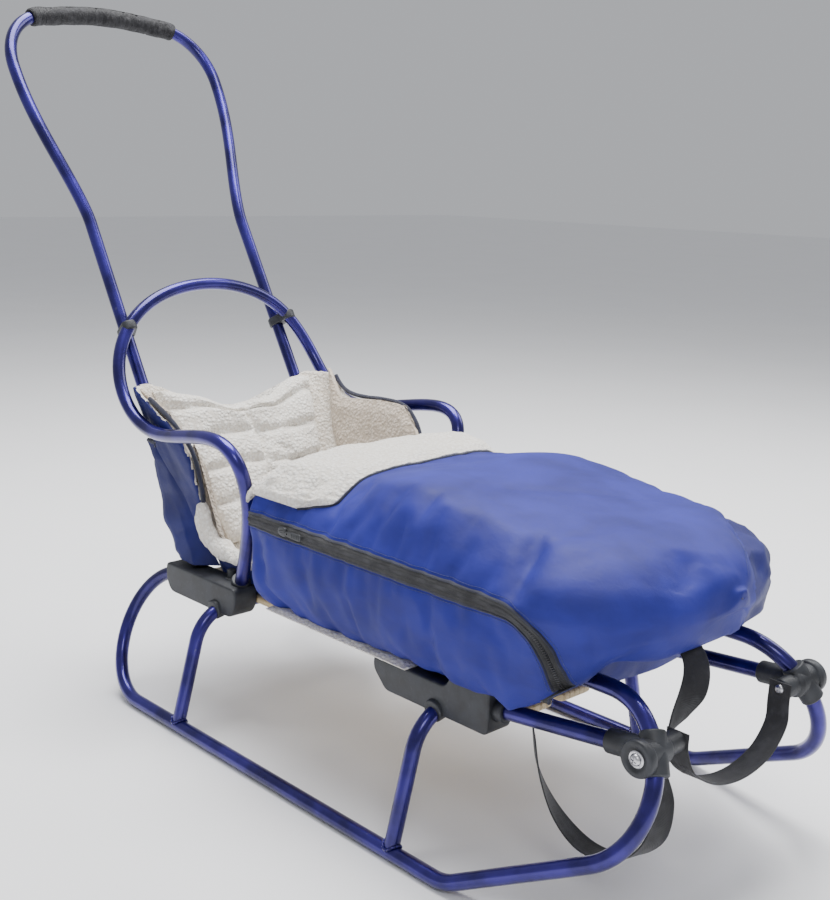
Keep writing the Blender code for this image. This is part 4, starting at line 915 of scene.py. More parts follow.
@dataclass(frozen=True)
class PaleWood:
    """Planed pale softwood under thin varnish, with its grain along the sled."""

    early: Colour = (0.700, 0.560, 0.330)
    late: Colour = (0.430, 0.290, 0.130)

    def build(self) -> bpy.types.Material:
        """Makes the material."""
        graph = ShaderGraph("pale_wood", Coat_Weight=0.18, Coat_Roughness=0.35)
        drift = graph.clouds(6.0, 3.0, 0.4, (1.0, 0.25, 1.0))
        rings = ((graph.axis("X") + drift * 0.05) * 700.0).sine()
        fibre = graph.clouds(420.0, 4.0, 0.3, (1.0, 0.03, 1.0))
        mask = rings.over(0.0, 1.0) * 0.55 + fibre.over(0.40, 0.70) * 0.45
        knots = graph.cells(9.0, stretch=(1.0, 0.5, 1.0)).over(0.0, 0.10)
        colour = graph.tint(mask, self.early, self.late)
        colour = graph.tint((1.0 - knots) * 0.7, colour, (0.20, 0.11, 0.05))
        normal = graph.bump(fibre + mask * 0.3, 0.00018, 0.7)
        return graph.feed(Base_Color=colour, Roughness=0.50 + fibre * 0.2, Normal=normal)


@dataclass(frozen=True)
class Metal:
    """Bright plated steel, faintly brushed."""

    name: str = "bright_steel"
    colour: Colour = (0.66, 0.66, 0.68)
    dull: Colour = (0.40, 0.40, 0.43)

    def build(self) -> bpy.types.Material:
        """Makes the material."""
        graph = ShaderGraph(self.name, Metallic=1.0)
        drift = graph.clouds(350.0, 4.0, 0.5)
        normal = graph.bump(graph.clouds(1800.0, 2.0, 0.0, (1.0, 0.1, 1.0)), 0.00004, 0.5)
        colour = graph.tint(drift.over(0.35, 0.7), self.colour, self.dull)
        return graph.feed(Base_Color=colour, Roughness=0.22 + drift * 0.2, Normal=normal)


@dataclass(frozen=True)
class Woven:
    """Black woven tape or webbing: ribs across it, and dust in them."""

    name: str
    dark: Colour = (0.012, 0.012, 0.014)
    worn: Colour = (0.060, 0.060, 0.066)
    pitch: float = 0.0016

    def build(self) -> bpy.types.Material:
        """Makes the material."""
        graph = ShaderGraph(self.name, Sheen_Weight=0.25, Sheen_Roughness=0.5, Specular_IOR_Level=0.3)
        thread = math.tau / self.pitch
        x, y, z = graph.axis("X"), graph.axis("Y"), graph.axis("Z")
        twill = ((x + y + z) * thread).sine() * 0.5 + ((x - y + z * 0.5) * thread * 1.3).sine() * 0.5
        dust = graph.clouds(85.0, 4.0)
        colour = graph.tint(twill.over(-0.8, 1.0) * 0.45 + dust.over(0.45, 0.7) * 0.4, self.dark, self.worn)
        normal = graph.bump(twill, 0.00022, 0.7)
        normal = graph.bump(dust, 0.0010, 0.3, normal)
        return graph.feed(Base_Color=colour, Roughness=0.66 + dust * 0.25, Normal=normal)


@dataclass(frozen=True)
class FloorPaper:
    """The plain pale studio floor."""

    pale: Colour = (0.90, 0.90, 0.91)
    paler: Colour = (0.94, 0.94, 0.95)

    def build(self) -> bpy.types.Material:
        """Makes the material."""
        graph = ShaderGraph("floor_paper", Specular_IOR_Level=0.2)
        drift = graph.clouds(3.0, 2.0)
        normal = graph.bump(graph.clouds(500.0, 2.0), 0.0001, 0.2)
        return graph.feed(
            Base_Color=graph.tint(drift, self.pale, self.paler), Roughness=0.82 + drift * 0.1, Normal=normal
        )


@dataclass(frozen=True)
class SledPlan:
    """The sizes that several sub-assemblies share, as in the solid model."""

    tube: float = 0.0085
    runner_half: float = 0.209
    lean: float = 0.456
    rail_height: float = 0.1675
    bow_height: float = 0.150
    mid_bow: float = 0.396
    slat_top: float = 0.1688
    slat_bottom: float = 0.1588
    clamp_forward: float = 0.650
    clamp_height: float = 0.1886
    handle_half: float = 0.1265
    leg_end: float = 0.205
    spigot_end: float = 0.156
    hoop_shoulder: float = 0.4159
    hoop_bend: float = 0.5090

    def lean_x(self, height: float) -> float:
        """How far out a runner's side frame stands at a height."""
        return self.runner_half - self.lean * (height - self.tube)

    def handle_back(self, height: float) -> float:
        """How far behind the rear bow the push handle is at a height."""
        return 0.0746 + LEG_SLOPE * (height - 0.190)

    def hoop_back(self, height: float) -> float:
        """How far behind the rear bow the hoop's upper part is at a height."""
        crossing = (self.hoop_bend + self.hoop_shoulder) / 2 + self.tube
        return self.handle_back(crossing) - 0.0222 + 0.267 * (height - crossing)

    def leg_place(self, side: Side, height: float) -> Vector:
        """A place on a handle leg's axis."""
        return at(side.value * self.handle_half, -self.handle_back(height), height)


PLAN = SledPlan()
LEG_DIRECTION = Vector((0.0, LEG_SLOPE, 1.0)).normalized()


class Bender:
    """A tube's centreline in a plane, made of straight runs and bends."""

    def __init__(self, start: tuple[float, float], heading: float) -> None:
        """Starts at a flat point, heading in degrees."""
        self.points = [Vector(start)]
        self.heading = math.radians(heading)

    def straight(self, length: float) -> "Bender":
        """Runs on by a length."""
        self.points.append(
            self.points[-1] + Vector((math.cos(self.heading), math.sin(self.heading))) * length
        )
        return self

    def bend(self, radius: float, degrees: float) -> "Bender":
        """Turns through an angle, positive to the left, in steps of about 5 degrees."""
        turn = math.radians(degrees)
        side = math.copysign(1.0, turn)
        steps = max(3, round(abs(degrees) / 5.0))
        centre = self.points[-1] + side * radius * Vector((-math.sin(self.heading), math.cos(self.heading)))
        for step in range(1, steps + 1):
            heading = self.heading + turn * step / steps
            self.points.append(centre - side * radius * Vector((-math.sin(heading), math.cos(heading))))
        self.heading += turn
        return self


@dataclass
class SteelTubes:
    """The sled's bent steel tubes with the welds at the legs' feet."""

    sides: int = 20
    weld: float = 0.0021
    splay: float = 14.9
    bow_bend: float = 0.050
    shoulder_half: float = 0.1675
    shoulder_height: float = 0.822
    widening_height: float = 0.612
    top_bend: float = 0.075
    top_rise: float = 0.008

    def runner(self, side: Side) -> Ring:
        """A runner's line from the rear connector round to the end of its scroll."""
        bender = Bender((-0.0775, PLAN.rail_height), 180.0).straight(0.018)
        bender.bend((PLAN.rail_height - PLAN.tube) / 2, 180.0).straight(0.0955 + 0.461)
        bender.bend(0.057, 26.5).straight(0.1536).bend(0.0726, 87.2).straight(0.005)
        bender.bend(0.0737, 66.3).straight(0.050).bend(0.060, 34.0).straight(0.048)
        return [at(side.value * PLAN.lean_x(height), forward, height) for forward, height in bender.points]

    def bow(self, forward: float) -> Ring:
        """A leg bow's line from foot to foot."""
        splay = math.radians(self.splay)
        bend_low = PLAN.bow_height - self.bow_bend * (1 - math.sin(splay))
        half_flat = PLAN.runner_half - (bend_low - PLAN.tube) * math.tan(splay) - self.bow_bend * math.cos(
            splay
        )
        leg = (bend_low - PLAN.tube) / math.cos(splay)
        turn = 90.0 - self.splay
        bender = Bender((-PLAN.runner_half, PLAN.tube), turn).straight(leg).bend(self.bow_bend, -turn)
        bender.straight(2 * half_flat).bend(self.bow_bend, -turn).straight(leg)
        return [at(x, forward, height) for x, height in bender.points]

    def rail(self, side: Side) -> Ring:
        """A front seat rail's line from the mid connector into the front clamp."""
        low = at(side.value * PLAN.lean_x(PLAN.rail_height), 0.442, PLAN.rail_height)
        high = at(side.value * PLAN.lean_x(PLAN.clamp_height), PLAN.clamp_forward, PLAN.clamp_height)
        return [low, low.lerp(high, 0.5), low.lerp(high, 0.92)]

    def hoop(self) -> Ring:
        """The backrest hoop's line with its armrests, from the left base to the right one."""
        right = [
            (0.1280, 0.0190, 0.1740), (0.1667, 0.1061, 0.3091), (0.1952, 0.0879, 0.4061),
            (0.1644, -0.1283, 0.3346),
        ]
        for x, height in ((0.1739, PLAN.hoop_shoulder), (0.1240, PLAN.hoop_bend)):
            right.append((x, -PLAN.hoop_back(height), height))
        left = [at(-x, forward, height) for x, forward, height in right]
        return spline_near([*left, at(0.0, -PLAN.hoop_back(0.5410), 0.5410), *mirrored(left)[::-1]], 14)

    def handle(self) -> Ring:
        """The push handle's line from the left leg's end over the top to the right leg's."""
        half = [(PLAN.handle_half, PLAN.leg_end), (PLAN.handle_half, 0.592)]
        for step in range(25):
            share = step / 24
            widening = (self.shoulder_half - PLAN.handle_half) * math.sin(share * math.pi / 2) ** 1.5
            height = self.widening_height + (self.shoulder_height - self.widening_height) * share
            half.append((PLAN.handle_half + widening, height))
        for step in range(1, 19):
            angle = math.pi / 2 * step / 18
            x = self.shoulder_half - self.top_bend * (1 - math.cos(angle))
            half.append((x, self.shoulder_height + self.top_bend * math.sin(angle)))
        for step in range(1, 9):
            share = step / 8
            half.append((0.0925 * (1 - share), 0.897 + self.top_rise * math.sin(share * math.pi / 2)))
        left = [at(-x, -PLAN.handle_back(height), height) for x, height in half]
        return left + mirrored(left[:-1])[::-1]

    def tube(self, name: str, line: Ring) -> bpy.types.Object:
        """A tube along a line."""
        return loft(name, sweep_rings(line, [PLAN.tube] * len(line), self.sides))

    def foot_weld(self, name: str, side: Side, forward: float) -> bpy.types.Object:
        """The weld bead where a leg's foot meets its runner.

        Args:
            name: The bead's name.
            side: The side of the sled.
            forward: The leg's place along the sled.

        Returns:
            The bead.
        """
        foot = at(side.value * PLAN.runner_half, forward, PLAN.tube)
        splay = math.radians(self.splay)
        leg = Vector((-side.value * math.sin(splay), 0.0, math.cos(splay)))
        along = Vector((0.0, 1.0, 0.0))
        across = leg.cross(along)
        rings = []
        steps = 48
        for step in range(steps + 1):
            angle = math.tau * step / steps
            radius = PLAN.tube + 0.0004
            middle = foot + (along * math.cos(angle) + across * math.sin(angle)) * radius
            middle += leg * radius * math.sqrt(math.cos(angle) ** 2 + 0.10)
            outward = (along * math.cos(angle) + across * math.sin(angle) + leg * 0.25).normalized()
            thick = self.weld * (1.0 + 0.22 * math.sin(step * 2.6))
            ring = []
            for corner in range(8):
                turn = math.tau * corner / 8
                ring.append(middle + (outward * math.cos(turn) + leg * math.sin(turn)) * thick)
            rings.append(ring)
        return loft(name, rings, capped=False)

    def build(self, paint: bpy.types.Material) -> None:
        """Makes every painted tube and weld.

        Args:
            paint: The tube paint.
        """
        for side in Side:
            for kind, line in (("runner", self.runner(side)), ("seat_rail", self.rail(side))):
                name = f"{kind}_{side.word}"
                dress(self.tube(f"painted_{name}", line), [paint], Body.FRAME, Slot.TUBE, [name])
            for key, forward in (("rear", 0.0), ("mid", PLAN.mid_bow)):
                bead = self.foot_weld(f"weld_{key}_{side.word}", side, forward)
                dress(bead, [paint], Body.FRAME, Slot.TUBE)
        for key, forward in (("rear", 0.0), ("mid", PLAN.mid_bow)):
            dress(
                self.tube(f"painted_{key}_bow", self.bow(forward)), [paint], Body.FRAME, Slot.TUBE,
                [f"{key}_bow"],
            )
        dress(self.tube("painted_hoop", self.hoop()), [paint], Body.FRAME, Slot.TUBE, ["backrest_hoop"])
        dress(self.tube("painted_handle", self.handle()), [paint], Body.HANDLE, Slot.TUBE, ["push_handle"])


@dataclass
class Slats:
    """The seat's wooden slats."""

    middles: tuple[float, ...] = (-0.0925, -0.0308, 0.0308, 0.0925)
    width: float = 0.048
    rear: float = -0.090
    front: float = 0.485
    edge: float = 0.0022

    def board(self, name: str, middle: float) -> bpy.types.Object:
        """One slat with rounded edges and slightly rounded ends."""
        half = self.width / 2
        corners = [
            (middle - half, self.rear), (middle + half, self.rear), (middle + half, self.front),
            (middle - half, self.front),
        ]
        outline = rounded_outline(corners, 0.006, 5)
        rings = []
        for height, inset in ((PLAN.slat_bottom, self.edge), (PLAN.slat_bottom + self.edge, 0.0),
                              (PLAN.slat_top - self.edge, 0.0), (PLAN.slat_top, self.edge)):
            ring = []
            for x, forward in outline:
                inner_x = middle + (x - middle) * (1 - inset / half)
                centre = (self.rear + self.front) / 2
                inner_s = centre + (forward - centre) * (1 - 2 * inset / (self.front - self.rear))
                ring.append(at(inner_x, inner_s, height))
            rings.append(ring)
        return bevelled(loft(name, rings), 0.0009, 2, 25.0)

    def build(self, wood: bpy.types.Material, steel: bpy.types.Material) -> None:
        """Makes the slats and repaints their screws.

        Args:
            wood: The slats' finish.
            steel: The screws' finish.
        """
        for index, middle in enumerate(self.middles, start=1):
            dress(self.board(f"board_{index}", middle), [wood], Body.FRAME, Slot.WOOD, [f"slat_{index}"])
            for key in ("rear", "mid"):
                repaint(f"slat_screw_{index}_{key}", steel)


@dataclass
class Connectors:
    """The moulded blocks between the tubes at the seat's edges, with their collars."""

    middle: float = 0.1352
    width: float = 0.035
    bottom: float = 0.1455

    def block(
        self, name: str, corners: Sequence[tuple[float, float]], side: Side, rounding: float
    ) -> bpy.types.Object:
        """A block from its side outline, rounded all over.

        Args:
            name: The block's name.
            corners: The outline as (forward, height).
            side: The side of the sled.
            rounding: The rounding of the outline's corners.

        Returns:
            The block.
        """
        outline = rounded_outline(corners, rounding, 5)
        inner, outer = self.middle - self.width / 2, self.middle + self.width / 2
        rings = [[at(side.value * x, forward, height) for forward, height in outline] for x in (inner, outer)]
        return bevelled(loft(name, rings), 0.0026, 4, 50.0)

    def collar(
        self, name: str, place: Vector, axis: Vector, length: float, radius: float
    ) -> bpy.types.Object:
        """A rounded collar round a tube."""
        return turned(name, rounded_profile(-length / 2, length / 2, radius, 0.0016), place, axis, 32)

    def rear(self, side: Side) -> bpy.types.Object:
        """The rear connector of one side."""
        corners = [
            (-0.112, 0.1605), (-0.102, 0.1455), (0.032, 0.1455), (0.042, 0.1605), (0.042, 0.184),
            (-0.112, 0.184),
        ]
        name = f"rear_fitting_{side.word}"
        pieces = [self.block(name, corners, side, 0.008)]
        rail_x = side.value * PLAN.lean_x(PLAN.rail_height)
        pieces.append(
            self.collar("collar", at(rail_x, -0.106, PLAN.rail_height), Vector((0, 1, 0)), 0.017, 0.0128)
        )
        pieces.append(
            self.collar(
                "collar", at(side.value * 0.130, 0.0245, 0.1855), Vector((side.value * 0.25, -0.55, 1.0)),
                0.012, 0.0125,
            )
        )
        pieces.append(self.collar("collar", PLAN.leg_place(side, 0.1855), LEG_DIRECTION, 0.007, 0.0095))
        pieces.append(
            self.collar(
                "collar", at(side.value * 0.1500, 0.0, 0.1490), Vector((1.0, 0.0, -side.value * 0.18)), 0.011,
                0.0124,
            )
        )
        pieces.append(self.collar("collar", at(side.value * PLAN.handle_half, 0.0, 0.184), UP, 0.003, 0.0085))
        for index in (0, 3):
            foot = PLAN.leg_place(side, PLAN.spigot_end)
            cut(
                pieces[index],
                turned("spigot_hole", [(-0.002, 0.0057), (0.075, 0.0057)], foot, LEG_DIRECTION, 24),
            )
        for index in (0, 5):
            well = at(side.value * PLAN.handle_half, 0.0, 0.1835)
            cut(pieces[index], turned("screw_room", [(-0.004, 0.0060), (0.012, 0.0060)], well, UP, 20))
        return joined(name, pieces)

    def mid(self, side: Side) -> bpy.types.Object:
        """The mid connector of one side, higher in front where the scroll ends."""
        corners = [
            (0.300, 0.1655), (0.320, 0.1455), (0.467, 0.1455), (0.472, 0.1505), (0.472, 0.206),
            (0.425, 0.206),
            (0.410, 0.180), (0.300, 0.180),
        ]
        name = f"mid_fitting_{side.word}"
        pieces = [self.block(name, corners, side, 0.006)]
        rail = SteelTubes().rail(side)
        along = (rail[-1] - rail[0]).normalized()
        pieces.append(self.collar("collar", rail[0] + along * 0.033, along, 0.015, 0.0125))
        pieces.append(
            self.collar(
                "collar", at(side.value * 0.1500, PLAN.mid_bow, 0.1490),
                Vector((1.0, 0.0, -side.value * 0.18)), 0.011, 0.0124,
            )
        )
        well = at(side.value * PLAN.handle_half, PLAN.mid_bow, 0.1805)
        cut(pieces[0], turned("screw_room", [(-0.004, 0.0060), (0.008, 0.0060)], well, UP, 20))
        return joined(name, pieces)

    def build(self, plastic: bpy.types.Material, steel: bpy.types.Material) -> None:
        """Makes the four connectors and repaints their screws.

        Args:
            plastic: The moulded finish.
            steel: The screws' finish.
        """
        for side in Side:
            dress(self.rear(side), [plastic], Body.FRAME, Slot.PLASTIC, [f"rear_connector_{side.word}"])
            dress(self.mid(side), [plastic], Body.FRAME, Slot.PLASTIC, [f"mid_connector_{side.word}"])
            for key in ("rear", "mid"):
                repaint(f"connector_screw_{key}_{side.word}", steel)


@dataclass
class FrontClamps:
    """The front fittings that join runner and seat rail, each with a screwed disc outside."""

    face: float = 0.0226
    least_forward: float = 0.60

    def tangent(self, line: Ring, height: float) -> tuple[Vector, Vector]:
        """Where a runner's rising part passes a height, and its direction there.

        Args:
            line: The runner's line.
            height: The height.

        Returns:
            The place and the direction.
        """
        misses = []
        for index, point in enumerate(line[1:-1], start=1):
            misses.append((abs(point.z - height) + 10.0 * (point.y > REAR_BOW_Y - self.least_forward), index))
        best = min(misses)[1]
        return line[best], (line[best + 1] - line[best - 1]).normalized()

    def fitting(self, side: Side) -> bpy.types.Object:
        """One clamp: a turned body, a disc with a recess and sleeves round the two tubes."""
        middle = at(side.value * PLAN.lean_x(PLAN.clamp_height), PLAN.clamp_forward, PLAN.clamp_height)
        outward = Vector((side.value, 0.0, 0.0))
        profile = [
            (-0.0375, 0.0), (-0.0375, 0.0086), (-0.0368, 0.0101), (-0.0352, 0.0110), (-0.0165, 0.0112),
            (-0.0150, 0.0128),
            (-0.0138, 0.0140), (-0.0120, 0.0145), (0.0120, 0.0145), (0.0138, 0.0150), (0.0145, 0.0168),
            (0.0158, 0.0178),
            (0.0175, 0.0180), (0.0222, 0.0180), (0.0238, 0.0174), (0.0245, 0.0160), (0.0243, 0.0118),
            (0.0232, 0.0106),
            (self.face, 0.0090), (self.face, 0.0),
        ]
        name = f"front_fitting_{side.word}"
        pieces = [turned(name, profile, middle, outward, 48)]
        place, direction = self.tangent(SteelTubes().runner(side), PLAN.clamp_height)
        pieces.append(turned("sleeve", rounded_profile(-0.021, 0.021, 0.0122, 0.002), place, direction, 36))
        rail = SteelTubes().rail(side)
        along = (rail[-1] - rail[0]).normalized()
        pieces.append(
            turned(
                "sleeve", rounded_profile(-0.016, 0.030, 0.0120, 0.002), rail[-1] - along * 0.014, along, 36
            )
        )
        return joined(name, pieces)

    def bolt(self, side: Side) -> bpy.types.Object:
        """The bolt in a disc, with a washer and a domed head with a cross slot."""
        face = at(
            side.value * (PLAN.lean_x(PLAN.clamp_height) + self.face), PLAN.clamp_forward, PLAN.clamp_height
        )
        outward = Vector((side.value, 0.0, 0.0))
        profile = [
            (-0.003, 0.0), (-0.003, 0.0082), (0.0010, 0.0082), (0.0014, 0.0076), (0.0014, 0.0060),
            (0.0026, 0.0058),
            (0.0042, 0.0048), (0.0052, 0.0030), (0.0055, 0.0),
        ]
        bolt = turned(f"front_bolt_{side.word}", profile, face, outward, 40)
        for turn in (0.4, 0.4 + math.pi / 2):
            arm = Vector((0.0, math.cos(turn), math.sin(turn)))
            other = outward.cross(arm)
            rings = []
            for reach in (-0.0034, 0.0034):
                middle = face + outward * 0.0052 + arm * reach
                corners = ((-0.0016, -0.0006), (-0.0016, 0.0006), (0.0016, 0.0006), (0.0016, -0.0006))
                rings.append([middle + outward * out + other * wide for out, wide in corners])
            cut(bolt, loft("slot_cutter", rings, smooth=False))
        return softened(bolt, 40.0)

    def build(self, plastic: bpy.types.Material, steel: bpy.types.Material) -> None:
        """Makes both clamps and their bolts.

        Args:
            plastic: The moulded finish.
            steel: The bolts' finish.
        """
        for side in Side:
            dress(self.fitting(side), [plastic], Body.FRAME, Slot.PLASTIC, [f"front_clamp_{side.word}"])
            dress(self.bolt(side), [steel], Body.FRAME, Slot.STEEL, [f"front_screw_{side.word}"])


@dataclass
class PushHandleFittings:
    """The handle's plug-in spigots, its foam grip and the clips on the hoop."""

    grip_half: float = 0.120
    grip_radius: float = 0.0130
    grip_bore: float = 0.0087
    clip_wall: float = 0.0112

    def grip(self) -> bpy.types.Object:
        """The foam grip: dented, creased, and ragged at its ends."""
        top = [point for point in SteelTubes().handle() if abs(point.x) < self.grip_half + 0.002]
        line = resampled(top, 150)
        rings = sweep_rings(line, [1.0] * len(line), 40)
        shaped = []
        for index, (centre, ring) in enumerate(zip(line, rings)):
            share = index / (len(line) - 1)
            end = min(share, 1.0 - share) * (len(line) - 1)
            taper = 1.0 - 0.13 * max(0.0, 1.0 - end / 2.5) ** 2
            row = []
            for corner, place in enumerate(ring):
                spoke = (place - centre).normalized()
                probe = Vector((share * 9.0, spoke.y * 0.9, spoke.z * 0.9))
                dent = noise.noise(probe * 1.6) * 0.0007
                crease = -max(0.0, ripple(share * 46.0, spoke.y * 1.2, spoke.z * 1.2) - 0.12) * 0.0026
                ragged = ripple(corner * 0.9, share * 3.0, 4.0) * 0.0012 * max(0.0, 1.0 - end / 3.0)
                radius = self.grip_radius * taper + dent + crease
                row.append(centre + spoke * radius + Vector((ragged, 0.0, 0.0)))
            shaped.append(row)
        ends = []
        for centre, ring in ((line[0], rings[0]), (line[-1], rings[-1])):
            ends.append([centre + (place - centre).normalized() * self.grip_bore for place in ring])
        return loft("foam_grip", [ends[0], *shaped, ends[1]])

    def seam(self) -> bpy.types.Object:
        """The raised joint along the grip's top."""
        top = [point for point in SteelTubes().handle() if abs(point.x) < self.grip_half - 0.006]
        line = resampled(top, 120)
        offset = Vector((0.0, -0.45, 0.89)).normalized()
        rail = []
        for index, point in enumerate(line):
            wobble = ripple(index * 0.12, 2.0, 7.0) * 0.0007
            rail.append(point + offset * (self.grip_radius - 0.0007) + Vector((0.0, wobble, 0.0)))
        radii = [0.0011 * (1.0 + 0.4 * ripple(index * 0.3, 9.0, 1.0)) for index in range(len(rail))]
        return loft("foam_seam", sweep_rings(rail, radii, 8))

    def clip(self, side: Side) -> bpy.types.Object:
        """The moulded clip that ties a handle leg to the hoop."""
        foot = PLAN.leg_place(side, PLAN.leg_end)
        best = None
        hoop = SteelTubes().hoop()
        for start, end in zip(hoop, hoop[1:]):
            for step in range(6):
                place = start.lerp(end, step / 6)
                if place.x * side.value <= 0 or place.z < PLAN.hoop_shoulder:
                    continue
                on_axis = foot + LEG_DIRECTION * (place - foot).dot(LEG_DIRECTION)
                gap = (place - on_axis).length
                if best is None or gap < best[0]:
                    best = (gap, on_axis, place)
        _, on_leg, on_hoop = best
        toward = (on_hoop - on_leg) - LEG_DIRECTION * (on_hoop - on_leg).dot(LEG_DIRECTION)
        reach = toward.length
        toward.normalize()
        across = LEG_DIRECTION.cross(toward)
        wall = self.clip_wall
        outline = []
        for step in range(17):
            angle = math.pi / 2 + math.pi * step / 16
            outline.append((wall * math.cos(angle), wall * math.sin(angle)))
        for step in range(13):
            angle = -math.pi / 2 + math.pi * step / 12
            outline.append((reach + 0.0035 + wall * 0.62 * math.cos(angle), wall * 0.86 * math.sin(angle)))
        rings = []
        for height in (-0.0060, 0.0060):
            rings.append(
                [on_leg + toward * out + across * wide + LEG_DIRECTION * height for out, wide in outline]
            )
        clip = bevelled(loft(f"hoop_clip_{side.word}", rings), 0.0014, 3, 50.0)
        bore = turned("leg_room", [(-0.02, 0.0089), (0.02, 0.0089)], on_leg, LEG_DIRECTION, 28)
        cut(clip, bore)
        return softened(clip, 45.0)

    def spigot(self, side: Side) -> bpy.types.Object:
        """The plug in a handle leg's end with its pin."""
        low = PLAN.leg_place(side, PLAN.spigot_end)
        end = (PLAN.leg_place(side, PLAN.leg_end) - low).length
        profile = [
            (0.0, 0.0), (0.0, 0.0036), (0.0012, 0.0048), (0.004, 0.0050), (end - 0.0052, 0.0050),
            (end - 0.0046, 0.0082),
            (end - 0.0036, 0.0089), (end - 0.0008, 0.0089), (end - 0.0003, 0.0085), (end + 0.0001, 0.0062),
            (end + 0.020, 0.0060),
            (end + 0.021, 0.0),
        ]
        return turned(f"leg_plug_{side.word}", profile, low, LEG_DIRECTION, 32)

    def build(self, plastic: bpy.types.Material, foam: bpy.types.Material) -> None:
        """Makes the handle's fittings.

        Args:
            plastic: The moulded finish.
            foam: The grip's foam.
        """
        grip = dress(self.grip(), [foam], Body.HANDLE, Slot.FOAM, ["handle_grip"])
        dress(self.seam(), [foam], Body.HANDLE, Slot.FOAM)
        for side in Side:
            dress(self.clip(side), [plastic], Body.FRAME, Slot.PLASTIC, [f"handle_guide_{side.word}"])
            dress(self.spigot(side), [plastic], Body.HANDLE, Slot.PLASTIC, [f"handle_spigot_{side.word}"])


